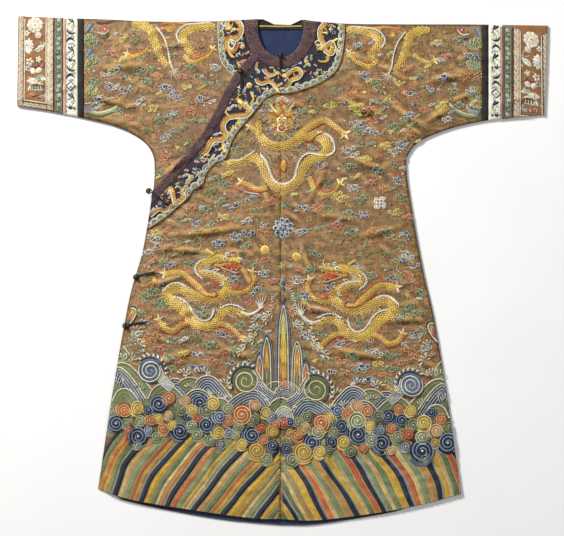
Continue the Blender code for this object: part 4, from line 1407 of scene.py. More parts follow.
def cloud(work, x, y, size, turn, fill, edge, lobes=3, tail=1.0, hand=1):
    """A cloud: flat dark scrolls with a light cord round each, strung on a cord that winds away."""
    turn = math.radians(turn)
    c, s = math.cos(turn), math.sin(turn)

    def at(u, v):
        v *= hand
        return x + (u * c - v * s) * size, y + (u * s + v * c) * size

    places = ((0.0, 0.0, 0.38), (0.62, 0.26, 0.3), (-0.5, 0.34, 0.27), (0.1, 0.62, 0.22))[:lobes]
    deep = np.asarray(fill) * 0.36
    line = max(size * 0.095, 1.9)
    if tail:
        rows = [(0.2, -0.2), (-0.35, -0.36), (-0.7, -0.1), (-1.05, -0.36), (-1.4, -0.2), (-1.75, -0.4)]
        rows = [(*at(*p), line * (1.3 - 0.2 * k)) for k, p in enumerate(rows[: 3 + int(3 * tail)])]
        work.ribbon(rows, 0, edge, rise=0.4, dome=0.6, step=4)
    for k, (u, v, reach) in enumerate(places):
        px, py = at(u, v)
        reach *= size
        lean = math.degrees(turn) + 12 * (k - 1) * hand
        a, b = math.cos(math.radians(lean)), math.sin(math.radians(lean))
        work.disc(px, py, reach * 0.72, fill, deep, long=1.45, turn=lean, sides=11)
        rim = []
        for q in range(-20 + 60 * k, 300 + 60 * k, 36):
            m = math.radians(q)
            ox, oy = reach * 1.05 * math.cos(m), reach * 0.72 * math.sin(m)
            rim.append((px + ox * a - oy * b, py + ox * b + oy * a))
        work.ribbon(rim, line, edge, rise=0.5, dome=0.7, step=3.6)
        curl = (rim[-1], ((rim[-1][0] + px) / 2, (rim[-1][1] + py) / 2 + reach * 0.2), (px, py))
        work.ribbon(curl, line * 0.8, edge, rise=0.6, dome=0.5, step=3)
        if k < 2:
            work.disc(px + reach * 0.3 * a, py + reach * 0.3 * b, max(reach * 0.2, 1.4), WHITE, sides=6,
                      rise=0.9, dome=0.5)


def vapour(work, x, y, length, turn, tint, bends=4, sway=9.0, width=2.6, curl=7.0):
    """A thin cord that winds from side to side and ends in a scroll."""
    a = math.radians(turn)
    c, s = math.cos(a), math.sin(a)
    rows = []
    for k in range(2 * bends + 1):
        t = k / (2 * bends)
        off = sway * math.sin(k * math.pi / 2) * (0.7 + 0.3 * math.cos(3 * t))
        rows.append((x + c * length * t - s * off, y + s * length * t + c * off))
    work.ribbon(rows, width, tint, to=np.asarray(tint) * 1.25, rise=0.3, dome=0.7, step=4.5)
    work.spiral(rows[-1][0], rows[-1][1] + curl * 0.7, curl, width * 0.9, tint, turns=1.4, start=turn - 90,
                core=1.5, rise=0.4)


def blossom(work, x, y, radius, tint, heart):
    """A loose blossom of looped threads."""
    for k in range(11):
        a = math.radians(33 * k)
        reach = radius * (0.45 + 0.2 * (k % 3))
        work.spiral(x + reach * math.cos(a), y + reach * 0.8 * math.sin(a), radius * 0.26, 1.9,
                    tint if k % 3 else heart, turns=1.1, start=40 * k, core=0.8, rise=0.4 + 0.05 * k)
    work.disc(x, y, radius * 0.2, heart, sides=8, rise=0.8)


def flower(work, x, y, radius, petal, heart, petals=5, turn=0.0, edge=None):
    """A flower of round petals."""
    for k in range(petals):
        a = math.radians(turn + 360 * k / petals)
        reach = radius * 0.58
        work.disc(*around(x, y, reach, a), radius * 0.36, petal,
                  edge or petal, long=1.3, turn=math.degrees(a), sides=9)
    work.disc(x, y, radius * 0.3, heart, sides=9, rise=0.4)


def leaf(work, x, y, length, turn, tint, vein=None, width=0.34):
    """A leaf, with a vein if it has its own colour."""
    a = math.radians(turn)
    c, s = math.cos(a), math.sin(a)
    rows = [(x + c * length * t, y + s * length * t, length * width * math.sin(math.pi * t) + 0.6)
            for t in (0.0, 0.25, 0.5, 0.75, 1.0)]
    work.ribbon(rows, 0, tint)
    if vein is not None:
        work.ribbon([r[:2] for r in rows[:4]], max(length * 0.05, 0.9), vein, rise=0.4)


def scales(work, path, widths, pitch=6.0):
    """A scaled body: a domed band with rows of overlapping scales."""
    rows = np.column_stack((np.asarray(path, float), widths))
    work.ribbon(rows, 0, GOLD_DEEP, dome=1.2, across=4, step=4, edge=GOLD_DEEP)
    spine = curve(rows, pitch * 0.86)
    along = directions(spine)
    for k, ((x, y, width), (dx, dy)) in enumerate(zip(spine, along)):
        count = max(2, round(width / pitch))
        odd = k % 2
        for m in range(count + odd):
            share = (m + 0.5 - odd * 0.5) / count * 2 - 1
            if abs(share) > 1.0:
                continue
            reach = share * width / 2 * 0.9
            px, py = x - dy * reach, y + dx * reach
            size = width / count
            shade = 0.5 + 0.5 * math.sin(k * 0.35 + m)
            tint = np.asarray(GOLD_MAIN) * (1 - shade * 0.5) + np.asarray(GOLD_LIGHT) * shade * 0.5
            rise = 1.25 * (1 - share * share) + 0.1
            tongue = []
            for t, w in ((-0.45, 0.7), (0.05, 1.0), (0.5, 0.45)):
                tongue.append((px + dx * size * t, py + dy * size * t, size * 0.86 * w))
            work.ribbon(tongue, 0, tint * 0.86, to=GOLD_LIGHT, kind=GOLD, rise=rise, dome=0.35,
                        step=size * 0.6)


def ridge(work, path, size, tint=WHITE, mark=BROWN, side=1, step=6.5):
    """The pale toothed ridge along a dragon's back, with a dark line below its teeth."""
    line = curve(path, step)
    shadow = beside(np.asarray(path, float)[:, :2], side * size * 0.5)
    work.ribbon(shadow, size * 0.45, mark, rise=0.4, dome=0.3)
    work.ribbon(path, size * 0.42, tint, rise=0.9, dome=0.8)
    along = directions(line)
    for (x, y), (dx, dy) in zip(line[:, :2], along):
        turn = math.degrees(math.atan2(dy, dx)) + side * 66
        work.spike(x, y, turn, size * 0.95, size * 0.4, tint, bend=-side * 24, rise=0.8)


def hairs(work, path, side, length=34.0, lean=20):
    """Fine hairs of thread that stream back from a dragon's flank."""
    line = curve(path, 8.0)
    for (x, y), (dx, dy) in zip(line[:, :2], directions(line)):
        turn = math.degrees(math.atan2(dy, dx)) + side * (lean + rng.uniform(-9, 9))
        shade = np.asarray(TAN) * rng.uniform(0.7, 1.2)
        work.spike(x, y, turn, length * rng.uniform(0.6, 1.2), 1.7, shade, to=CREAM,
                   bend=side * rng.uniform(6, 30), rise=0.0)


def claw(work, x, y, turn, reach, tint=WHITE, count=5, spread=150):
    """An open claw, with its talons around the pad."""
    work.disc(x, y, reach * 0.34, GOLD_MAIN, GOLD_LIGHT, kind=GOLD, sides=9, rise=0.6)
    for k in range(count):
        a = turn + spread * (k / (count - 1) - 0.5)
        work.spike(x, y, a, reach, reach * 0.28, GOLD_LIGHT, to=tint, bend=22 if k % 2 else -16, rise=0.9)


def flames(work, x, y, turn, reach, tint=RED, tip=ORANGE, count=3, spread=60):
    """A fan of tongues of flame."""
    for k in range(count):
        a = turn + spread * (k / max(count - 1, 1) - 0.5)
        work.spike(x, y, a, reach * (1 - 0.16 * (k % 2)), reach * 0.26, tint, to=tip, bend=30, rise=0.3)


def limb(work, path, width, edge_side, end_turn, talon=15.0, edge=RED):
    """A dragon's leg: scales, a red edge below, and a claw."""
    widths = np.linspace(width, width * 0.55, len(path))
    scales(work, path, widths, pitch=5.0)
    work.ribbon(beside(np.asarray(path, float), edge_side * width * 0.46), 3.4, edge, to=ORANGE, rise=0.8)
    x, y = path[-1]
    claw(work, x, y, end_turn, talon)


def pearl(work, x, y, radius, tint=GOLD_MAIN, rim=GOLD_LIGHT, flame=ORANGE):
    """A flaming pearl with a spiral in it."""
    work.disc(x, y, radius * 0.7, tint, rim, kind=GOLD, sides=16, dome=1.6)
    work.spiral(x, y, radius * 0.55, 1.6, WHITE, turns=1.5, core=1.5, rise=1.1)
    if flame is not None:
        for k, turn in enumerate((60, 95, 130, 200, 320)):
            work.spike(*around(x, y, radius * 0.6, math.radians(turn)), turn, radius * 0.7,
                       radius * 0.22, flame, to=YELLOW, bend=25 * (-1) ** k)


# The hem: slanting stripes of standing water -------------------------------------------------

# Navy stripes: where each meets the hem, where its top is, and how far it bows outwards.
NAVY_LEFT = (  # hem x, top x, top y, bow
    (-512, -436, -1090, 8),
    (-443, -372, -1112, 12),
    (-375, -246, -1098, 19),
    (-306, -170, -1100, 13),
    (-237, -78, -1106, 6),
    (-160, 14, -1110, 2),
    (-69, 50, -1160, 2),
    (12, 96, -1215, 0),
)
NAVY_RIGHT = (
    (505, 446, -1120, 8),
    (429, 360, -1110, 14),
    (353, 240, -1110, 15),
    (279, 160, -1110, 7),
    (209, 70, -1110, 6),
    (122, 6, -1122, 6),
    (48, -40, -1180, 2),
    (-20, -90, -1230, 0),
)
STRIPE_NAVY = colour(15, 20, 38)
STRIPE_BLUE = colour(116, 132, 142)
STRIPE_TINTS = {
    "gold": colour(208, 166, 52),
    "old": colour(178, 134, 46),
    "cream": colour(212, 190, 130),
    "green": colour(100, 116, 74),
    "sage": colour(130, 142, 100),
    "orange": colour(200, 106, 48),
    "tan": colour(186, 138, 78),
    "red": colour(160, 70, 44),
}
# Between one navy stripe and the next, from the side seam to the centre: the tint of each stripe at
# the hem, and at its top.
STRIPES_LEFT = (
    "green-green old-orange gold-old sage-green",
    "cream-tan sage-sage orange-red tan-old",
    "gold-gold sage-green cream-cream tan-orange",
    "orange-tan sage-sage gold-gold cream-sage",
    "tan-cream green-sage orange-orange gold-old",
    "gold-gold old-sage cream-tan sage-green",
    "gold-old green-green tan-old green-old",
)
STRIPES_RIGHT = (
    "orange-red green-green cream-tan gold-old",
    "tan-old sage-sage cream-cream orange-red",
    "gold-gold sage-green cream-tan sage-sage",
    "orange-red green-sage cream-sage gold-gold",
    "tan-old sage-sage cream-tan orange-orange",
    "gold-gold old-sage cream-cream green-green",
    "gold-tan green-old tan-old old-green",
)
STRIPES = {"left": (NAVY_LEFT, STRIPES_LEFT), "right": (NAVY_RIGHT, STRIPES_RIGHT)}
hem_x, hem_y = front_hem[:, 0], front_hem[:, 1]
STRIPE_ROWS = 30
HEM_MARGIN = 1.5
SEAM_CORD_WIDTH = 1.4
RUN_LENGTH = 190  # of the threads of a stripe, from the hem to its top


def stripe_line(rows, share, t):
    """A line between two navy stripes, at heights t from the hem (0) to the stripes' tops (1)."""
    low, high = rows
    foot, top_x, top_y, bow = (np.asarray(low) * (1 - share) + np.asarray(high) * share)
    side = 1 if foot > top_x else -1
    foot_y = np.interp(foot, hem_x, hem_y) + HEM_MARGIN
    x = foot + (top_x - foot) * t + side * bow * np.sin(math.pi * t)
    x += 2.6 * np.sin(t * 9 + foot / 34) * (1 - (2 * t - 1) ** 2)
    return np.column_stack((x, foot_y + (top_y - foot_y) * t))


def stripe(work, rows, start, end, low, high, rise=1.5):
    """One padded stripe between two shares of the way from navy to navy."""
    t = np.linspace(0, 1, STRIPE_ROWS)
    offsets = np.linspace(-1, 1, 5)
    lines = [stripe_line(rows, start + (end - start) * (o + 1) / 2, t) for o in offsets]
    plan = np.stack(lines, axis=1)
    inside_half = plan[..., 0] * (-1 if rows[0][0] < 0 else 1) > 1.0
    heights = np.broadcast_to(rise * (1 - offsets**4) - 0.2, plan.shape[:2])
    shades = np.asarray(low) * (1 - t[:, None, None]) + np.asarray(high) * t[:, None, None]
    drift = 1 + 0.14 * np.sin(t * 23 + rng.uniform(0, 6)) * rng.normal(0.7, 0.4)
    drift *= 1 + 0.1 * np.sin(t * 61 + rng.uniform(0, 6))
    shades = np.broadcast_to(shades * drift[:, None, None], (*plan.shape[:2], 3))
    run = np.broadcast_to(t[:, None] * RUN_LENGTH, plan.shape[:2])
    stitches = np.stack((run, np.broadcast_to(offsets * 8, plan.shape[:2])), axis=-1)
    columns = plan.shape[1]
    number = np.arange(plan.shape[0] * columns).reshape(plan.shape[:2])
    keep = inside_half[:-1, :-1] & inside_half[1:, 1:] & inside_half[:-1, 1:] & inside_half[1:, :-1]
    quads = grid_quads(number)[keep]
    if len(quads):
        work.add_grid(plan, heights, quads[:, ::-1] if rows[0][0] > 0 else quads, shades, stitches)


def seam_cord(work, rows, share):
    """The pale cord couched between one stripe and the next."""
    line = stripe_line(rows, share, np.linspace(0, 1, STRIPE_ROWS))
    side = -1 if rows[0][0] < 0 else 1
    line = line[line[:, 0] * side > 2.5]
    if len(line) > 2:
        work.ribbon(line[::2], SEAM_CORD_WIDTH, STRIPE_TINTS["cream"], rise=0.8, dome=0.5, step=7)


STRIPE_CUTS = (0.18, 0.4, 0.62, 0.75, 0.93)


def standing_water(name, navies, fills, grounds, below=False):
    """All the slanting stripes of one half's hem."""
    work = Work(name, grounds, below=below)
    for rows, names in zip(zip(navies, navies[1:]), fills):
        colours = [[STRIPE_TINTS[tint] for tint in pair.split("-")] for pair in names.split()]
        stripe(work, rows, 0.0, STRIPE_CUTS[0], STRIPE_NAVY, STRIPE_NAVY, rise=1.8)
        for start, end, (low, high) in zip(STRIPE_CUTS, STRIPE_CUTS[1:], colours):
            stripe(work, rows, start, end, low, high)
            seam_cord(work, rows, start)
        stripe(work, rows, STRIPE_CUTS[-1], 1.0, STRIPE_BLUE, STRIPE_BLUE)
        seam_cord(work, rows, STRIPE_CUTS[-1])
    return work


# The sea: round-backed waves, spiral crests and foam -----------------------------------------

WAVE_PITCH = 6.2
WAVE_FIELDS = {  # the ground of the wave's back, its thin lines, and how many of them
    "striped": (colour(52, 70, 98), colour(198, 202, 194), 5),
    "green": (colour(112, 120, 78), colour(138, 146, 102), 3),
    "pale": (colour(132, 150, 158), colour(226, 222, 200), 4),
}


def runs_outside(path, areas):
    """The stretches of a path that no area covers."""
    clear = np.ones(len(path), bool)
    for area in areas:
        clear &= ~inside(path[:, :2], area)
    breaks = np.flatnonzero(np.diff(clear.astype(int))) + 1
    return [run for run in np.split(path, breaks) if len(run) > 2 and clear_at(run, areas)]


def clear_at(run, areas):
    """Whether the middle of a run lies outside every area."""
    middle = run[len(run) // 2][None, :2]
    return not any(inside(middle, area)[0] for area in areas)


def wave_area(rows, depth):
    """The plan of a wave's back, from its crest line inwards."""
    line = curve(rows, 9)
    return np.vstack((line[:, :2], beside(line, -depth)[::-1, :2]))


def wave_back(work, rows, kind, count=6, pitch=WAVE_PITCH, over=()):
    """The round back of a wave: a field with a light edge, and lines of thread inside it."""
    rows = np.asarray(rows, float)
    ground, line, lines = WAVE_FIELDS[kind]
    depth = count * pitch
    field = beside(curve(rows, 9), -depth / 2)
    work.ribbon(field, depth, ground, rise=0.25, dome=0.1, across=4, step=8, edge=np.asarray(ground) * 0.6)
    for k in range(lines + 1):
        path = beside(curve(rows, 5), -k * depth / (lines + 0.6))
        keep = [path[0]]
        for p in path[1:]:
            if math.dist(p, keep[-1]) > 3.5 and (p[0] - keep[-1][0]) > -0.5:
                keep.append(p)
        tint, width = (CREAM, 3.4) if k == 0 else (line, 2.1)
        for run in runs_outside(np.array(keep), over):
            work.ribbon(run, width, tint, rise=0.6 + 0.3 * (k == 0) - 0.02 * k, dome=0.6, step=7)


def waves(work, table, step=0.16):
    """Waves laid one over another: each hides what it covers of those before it."""
    areas = [wave_area(rows, count * WAVE_PITCH) for kind, count, rows in table]
    for k, (kind, count, rows) in enumerate(table):
        wave_back(work, rows, kind, count, over=areas[k + 1:])
        work.lift += step


def foam(work, x, y, turn, size, count=5, tint=CREAM, hand=1):
    """A comb of foam: a dark back that curves over, with a row of pale hooks along it."""
    span = 105
    back = []
    for k in range(5):
        a = math.radians(turn - hand * (span / 2 - span * k / 4))
        back.append((*around(x, y, size * 0.8, a), size * (0.32 if k == 2 else 0.22)))
    work.ribbon(back, 0, BLUE_PALE, to=GREEN, rise=0.5, step=4)
    for k in range(count):
        out = turn - hand * (span / 2 - span * k / (count - 1))
        a, b = math.radians(out), math.radians(out + hand * 50)
        px, py = around(x, y, size * 0.9, a)
        out_x, out_y = around(px, py, size * 0.34, a)
        hook = [(px, py, size * 0.16), (out_x, out_y, size * 0.2),
                (*around(out_x, out_y, size * 0.34, b), size * 0.26)]
        work.ribbon(hook, 0, tint, rise=0.9, dome=0.7, step=3)


def crest(work, x, y, radius, main, line=CREAM, turns=2.2, start=120, hand=1, outer=0, fringe=140):
    """A great spiral crest, with a fringe of foam round its outer side."""
    work.disc(x, y, radius, main, np.asarray(main) * 0.7, dome=0.7, sides=28, rise=0.7)
    for shift, share, tint in ((0.0, 0.09, line), (0.13, 0.045, np.asarray(main) * 0.5)):
        work.spiral(x, y, radius * (0.97 - shift), radius * share, tint, turns=turns, start=start,
                    hand=hand, core=2.0, rise=1.7 - shift, dome=0.5, fade=(0.6, 0.4))
    count = 9
    rim = []
    for k in range(count):
        a = math.radians(outer - fringe / 2 + fringe * k / (count - 1))
        rim.append(around(x, y, radius * 1.16, a))
        px, py = around(x, y, radius * 1.24, a)
        work.disc(px, py, radius * 0.085, WHITE, sides=8, rise=1.3, dome=0.8)
        out = math.degrees(a)
        work.spike(px, py, out, radius * 0.26, radius * 0.13, CREAM, bend=hand * 60, rise=1.0)
    work.ribbon(rim, radius * 0.2, BLUE_GREY, rise=0.8, edge=NAVY, step=6)


BUBBLE_GROWTH = 1.1


def bubble(work, x, y, radius, main, line, hand=1):
    """A small spiral of the breaking sea: two threads that wind to a pale heart, in a dark edge."""
    radius = radius * BUBBLE_GROWTH
    green = main[1] > max(main[0], main[2])  # the green ones melt into the sea behind them
    shade, dome = (0.85, 0.3) if green else (0.42, 0.6)
    work.disc(x, y, radius, main, np.asarray(main) * shade, dome=dome, sides=18, rise=0.9)
    turns = 1.2 + radius / 17
    start = rng.uniform(0, 360)
    work.spiral(x, y, radius * 0.95, max(radius * 0.12, 1.7), line, turns=turns, start=start,
                hand=hand, core=1.2, rise=1.7, dome=0.5, fade=(0.8, 0.4))
    work.spiral(x, y, radius * 0.85, max(radius * 0.1, 1.4), np.asarray(main) * 0.4, turns=turns - 0.2,
                start=start, hand=hand, core=1.8, rise=1.6, dome=0.3, fade=(0.8, 0.4))
    work.disc(x, y, max(radius * 0.1, 1.4), WHITE, sides=7, rise=1.9, dome=0.7)
    away = rng.uniform(120, 240)
    reach = radius * 1.12
    arc = [math.radians(away + a) for a in (0, 35, 70, 100)]
    rows = [(*around(x, y, reach, a), w)
            for a, w in zip(arc, (radius * 0.34, radius * 0.3, radius * 0.2, 1.0))]
    work.ribbon(rows, 0, main, to=line, rise=0.9)


BUBBLE_TINTS = {
    "navy": (colour(28, 34, 64), colour(126, 146, 168)),
    "blue": (colour(58, 78, 116), colour(186, 196, 200)),
    "grey": (colour(98, 114, 134), colour(196, 202, 200)),
    "orange": (colour(190, 108, 58), colour(226, 172, 116)),
    "red": (colour(172, 72, 40), colour(214, 140, 96)),
    "yellow": (colour(204, 168, 60), colour(232, 214, 140)),
    "gold": (colour(186, 144, 54), colour(226, 198, 110)),
    "peach": (colour(206, 156, 104), colour(226, 206, 160)),
    "green": (colour(96, 108, 78), colour(164, 170, 128)),
    "pale": (colour(142, 148, 108), colour(206, 204, 164)),
    "sage": (colour(122, 132, 96), colour(184, 186, 146)),
}
BUBBLES_LEFT = (
    (-435, -1069, 21, "navy"), (-413, -1033, 18, "orange"), (-378, -1028, 18, "yellow"),
    (-377, -1103, 24, "navy"), (-380, -1124, 12, "sage"), (-348, -1033, 12, "navy"),
    (-340, -1060, 15, "orange"), (-322, -1017, 23, "navy"), (-322, -1054, 12, "yellow"),
    (-296, -1046, 12, "peach"), (-295, -1002, 17, "orange"), (-410, -1068, 13, "green"),
    (-372, -1063, 15, "pale"), (-349, -1087, 12, "grey"), (-310, -1082, 16, "orange"),
    (-330, -1104, 12, "sage"), (-285, -1072, 12, "yellow"), (-267, -1090, 21, "navy"),
    (-262, -1030, 14, "green"), (-246, -1051, 12, "navy"), (-234, -1033, 17, "yellow"),
    (-236, -1074, 15, "pale"), (-213, -1014, 20, "navy"), (-197, -1033, 20, "green"),
    (-218, -1055, 12, "red"), (-197, -1072, 21, "navy"), (-222, -1098, 15, "sage"),
    (-179, -1017, 18, "yellow"), (-161, -1051, 17, "blue"), (-164, -1093, 17, "yellow"),
    (-184, -1112, 15, "green"), (-137, -1093, 14, "grey"), (-137, -1062, 14, "orange"),
    (-140, -1030, 15, "pale"), (-112, -1075, 15, "sage"), (-103, -1045, 26, "orange"),
    (-103, -1122, 15, "yellow"), (-76, -1100, 21, "navy"), (-72, -1058, 15, "green"),
    (-66, -1020, 14, "peach"), (-52, -1080, 13, "red"), (-63, -1140, 22, "gold"),
    (-44, -1112, 14, "orange"), (-37, -1162, 15, "sage"), (-38, -1040, 14, "yellow"),
    (-24, -1051, 12, "grey"), (-20, -1090, 15, "gold"), (-22, -1127, 15, "navy"),
    (-14, -1072, 12, "orange"), (-402, -1088, 11, "red"), (-448, -1040, 13, "sage"),
    (-250, -1008, 13, "peach"), (-160, -1124, 11, "grey"), (-120, -1100, 11, "pale"),
)
BUBBLES_RIGHT = (
    (8, -1067, 15, "red"), (24, -1065, 12, "navy"), (44, -1099, 16, "orange"),
    (24, -1094, 12, "gold"), (107, -1067, 23, "orange"), (98, -1091, 19, "pale"),
    (82, -1119, 21, "navy"), (61, -1144, 25, "gold"), (15, -1137, 14, "navy"),
    (31, -1165, 18, "sage"), (26, -1115, 9, "green"), (103, -1143, 17, "yellow"),
    (135, -1117, 16, "navy"), (141, -1091, 14, "sage"), (167, -1118, 17, "yellow"),
    (64, -1080, 15, "peach"), (160, -1075, 17, "navy"), (185, -1143, 15, "green"),
    (205, -1098, 26, "navy"), (203, -1062, 24, "pale"), (240, -1110, 18, "sage"),
    (267, -1122, 24, "navy"), (236, -1076, 14, "yellow"), (245, -1090, 11, "blue"),
    (178, -1042, 15, "orange"), (265, -1086, 12, "grey"), (293, -1083, 14, "orange"),
    (309, -1105, 15, "sage"), (320, -1060, 16, "navy"), (338, -1097, 15, "red"),
    (350, -1072, 16, "green"), (374, -1104, 18, "pale"), (378, -1066, 20, "yellow"),
    (374, -1141, 30, "navy"), (381, -1161, 13, "sage"), (412, -1088, 18, "peach"),
    (442, -1120, 27, "navy"), (425, -1058, 15, "orange"), (398, -1040, 14, "navy"),
    (444, -1078, 14, "green"), (345, -1035, 16, "yellow"), (312, -1030, 14, "orange"),
    (284, -1048, 17, "navy"), (258, -1050, 15, "green"), (230, -1036, 16, "orange"),
    (205, -1022, 15, "peach"), (150, -1036, 15, "blue"), (130, -1052, 14, "yellow"),
    (70, -1050, 14, "green"), (48, -1064, 13, "sage"), (126, -1140, 11, "green"),
    (218, -1134, 12, "orange"), (290, -1140, 13, "peach"), (330, -1130, 13, "grey"),
    (408, -1120, 12, "gold"),
)


def bubbles(work, table):
    """The breaking sea of one table, each spiral wound one way or the other."""
    for x, y, radius, tint in table:
        bubble(work, x, y, radius, *BUBBLE_TINTS[tint], hand=1 if rng.random() < 0.5 else -1)


SEA_PALE = colour(128, 134, 100)
SEA_DEEP = colour(98, 108, 78)


SEA_FOOT = ((-520, -1116), (-436, -1100), (-300, -1108), (-120, -1118), (-60, -1150), (-2, -1180))
SEA_TOP = (
    (-520, -930), (-440, -920), (-415, -916), (-390, -938), (-372, -962), (-345, -975), (-318, -968),
    (-283, -954), (-250, -952), (-200, -950), (-170, -956), (-145, -984), (-120, -990), (-80, -978),
    (-48, -985), (-2, -975),
)
SEA_INNER = -2  # where the sea ends, at the centre seam


def sea_ground(work, outer):
    """The green ground of the sea, between its foot and its top."""
    columns, rows = 60, 16
    xs = np.linspace(outer, SEA_INNER, columns)
    low = np.interp(xs, *np.transpose(SEA_FOOT))
    high = np.interp(xs, *np.transpose(SEA_TOP))
    t = np.linspace(0, 1, rows)[:, None]
    ys = low * (1 - t) + high * t
    plan = np.stack(np.broadcast_arrays(xs, ys), axis=-1)
    share = 0.5 + 0.5 * np.sin(xs / 17 + ys / 13)
    shades = np.asarray(SEA_PALE) * share[..., None] + np.asarray(SEA_DEEP) * (1 - share[..., None])
    number = np.arange(rows * columns).reshape(rows, columns)
    work.add_grid(plan, np.zeros(rows * columns), grid_quads(number), shades, plan)


BACKS = (  # the waves from the side seam to the centre, each from one foot over its top to the other
    ("green", ((-440, -914), (-424, -908), (-404, -912), (-384, -928), (-358, -958), (-336, -986))),
    ("striped", ((-452, -958), (-440, -928), (-426, -920), (-406, -934), (-386, -958), (-356, -1004))),
    ("striped", ((-318, -972), (-304, -957), (-283, -950), (-261, -955), (-240, -976), (-222, -1002))),
    ("green", ((-272, -962), (-256, -950), (-234, -947), (-210, -958), (-191, -984), (-168, -1010))),
    ("striped", ((-226, -962), (-213, -948), (-194, -942), (-173, -949), (-149, -975), (-128, -1002))),
    ("green", ((-352, -1004), (-340, -980), (-322, -966), (-301, -964), (-276, -978), (-238, -1018))),
    ("striped", ((-262, -1010), (-242, -986), (-220, -978), (-196, -986), (-176, -1010), (-164, -1034))),
    ("green", ((-190, -1030), (-170, -1003), (-149, -1004), (-128, -1022), (-110, -1044))),
    ("striped", ((-150, -1040), (-137, -1012), (-108, -990), (-76, -980), (-48, -990), (-26, -1020))),
    ("green", ((-446, -1010), (-432, -984), (-412, -976), (-390, -988), (-372, -1016), (-362, -1040))),
)


def rolling_sea(work):
    """The waves, crests and foam of one half, from the side seam to the centre."""
    waves(work, [(kind, 6, rows) for kind, rows in BACKS])
    crest(work, -345, -929, 33, colour(98, 116, 138), WHITE, start=150, outer=60, turns=2.8)
    crest(work, -93, -956, 35, colour(116, 124, 72), CREAM, start=60, hand=-1, outer=135)
    wave_back(work, ((-318, -915), (-311, -935), (-300, -952), (-280, -968)), "pale", 4, 6)
    wave_back(work, ((-66, -925), (-52, -950), (-36, -975), (-14, -990)), "striped", 5, 6)
    for x, y, turn, size in ((-425, -905, 80, 15), (-402, -902, 60, 15), (-378, -980, 70, 13),
                             (-256, -945, 85, 15), (-206, -942, 75, 15), (-150, -972, 60, 15),
                             (-172, -1000, 75, 13), (-300, -960, 90, 13), (-240, -980, 80, 13),
                             (-136, -1010, 90, 13), (-60, -978, 80, 15), (-440, -965, 70, 13)):
        foam(work, x, y, turn, size)


PEAK_LAYERS = (BLUE_GREY, NAVY, CREAM, GREEN)


def arch(x, low, top, half):
    """The outline of a peak: upright sides that lean in to a point."""
    rise = top - low
    return ((x - half, low), (x - half * 0.94, low + rise * 0.4), (x - half * 0.8, low + rise * 0.72),
            (x - half * 0.46, low + rise * 0.9), (x, top), (x + half * 0.46, low + rise * 0.9),
            (x + half * 0.8, low + rise * 0.72), (x + half * 0.94, low + rise * 0.4), (x + half, low))


def peak(work, x, low, top, half, heart, layers=PEAK_LAYERS, wall=3.0):
    """A rock peak of the standing mountain: nested outlines, with flames of thread inside."""
    rise = (top - low) * 0.9
    work.ribbon([(x, low, half * 2), (x, low + rise * 0.5, half * 1.8), (x, low + rise * 0.8, half * 1.4),
                 (x, low + rise, 3)], 0, GOLD_DEEP, to=OLIVE, rise=0.2, across=4, step=7)
    for k, tint in enumerate(layers):
        inner = half - k * wall
        if inner > 2:
            work.ribbon(arch(x, low, top - k * wall * 1.7, inner), wall * 1.05, tint, rise=0.7 - 0.03 * k,
                        dome=0.6, step=6)
    width = (half - len(layers) * wall) * 2
    for foot, head, tint in heart:
        foot = low + (top - low) * foot
        head = low + (top - low) * head
        for side in (-1, 1):
            rows = ((x + side * width * 0.5, foot), (x + side * width * 0.4, (foot + head) / 2), (x, head))
            work.ribbon(rows, 3.0, tint, to=np.asarray(tint) * 1.2, rise=1.1, step=5)
        work.ribbon([(x, foot, width * 0.6), (x, (foot + head) / 2, width * 0.4), (x, head - 6, 1.4)], 0,
                    tint, to=YELLOW, rise=0.9, step=6)


def centre_mountain(work):
    """The mountain on the centre seam, its lesser peaks, and the green wave in front."""
    tall = ((0.0, 0.3, ORANGE), (0.12, 0.46, GOLD_MAIN), (0.3, 0.7, YELLOW), (0.62, 0.86, GREEN_PALE))
    small = ((0.0, 0.4, GREEN), (0.3, 0.76, ORANGE), (0.36, 0.62, YELLOW))
    peak(work, -56, -975, -880, 14, small[:2], (BLUE, BLUE_GREY, CREAM))
    peak(work, 66, -985, -900, 14, small[:2], (BLUE, BLUE_GREY, CREAM))
    peak(work, -37, -975, -831, 17, small)
    peak(work, 43, -985, -846, 17, small, (GREEN, CREAM, NAVY, CREAM))
    peak(work, 7, -975, -746, 19, tall)
    work.ribbon([(5, -752, 7), (9, -738, 6), (5, -728, 3)], 0, NAVY, to=BLUE_GREY, rise=1.3)
    for x, y, turn, size, hand in (
        (16, -727, 40, 9, -1), (22, -746, 10, 9, -1), (-8, -740, 150, 9, 1), (24, -770, 0, 10, -1),
        (-14, -772, 180, 10, 1), (-26, -790, 170, 11, 1), (42, -792, 20, 12, -1), (-56, -800, 150, 11, 1),
        (38, -815, 30, 11, -1), (60, -812, 20, 12, -1), (-62, -826, 140, 12, 1), (66, -842, 10, 12, -1),
        (-78, -862, 150, 14, 1), (78, -862, 20, 13, -1), (86, -884, 40, 15, -1), (-60, -846, 160, 11, 1),
        (104, -892, 50, 12, -1), (-94, -880, 150, 11, 1),
    ):
        foam(work, x, y, turn, size * 1.35, hand=hand)
    waves(work, (
        ("green", 5, ((-66, -1000), (-44, -972), (-14, -958), (14, -968), (34, -990), (46, -1016))),
        ("striped", 5, ((-34, -1014), (-8, -974), (14, -958), (40, -970), (66, -1000), (84, -1034))),
        ("green", 5, ((-44, -1040), (-24, -1012), (0, -1000), (22, -1012), (40, -1044))),
        ("pale", 4, ((-20, -1052), (-6, -1030), (10, -1024), (26, -1034), (34, -1056))),
    ))
    for x, y, turn, hand in ((-4, -985, 90, 1), (16, -1000, 70, -1), (-8, -1012, 110, 1),
                             (18, -976, 60, -1)):
        foam(work, x, y, turn, 9, hand=hand)


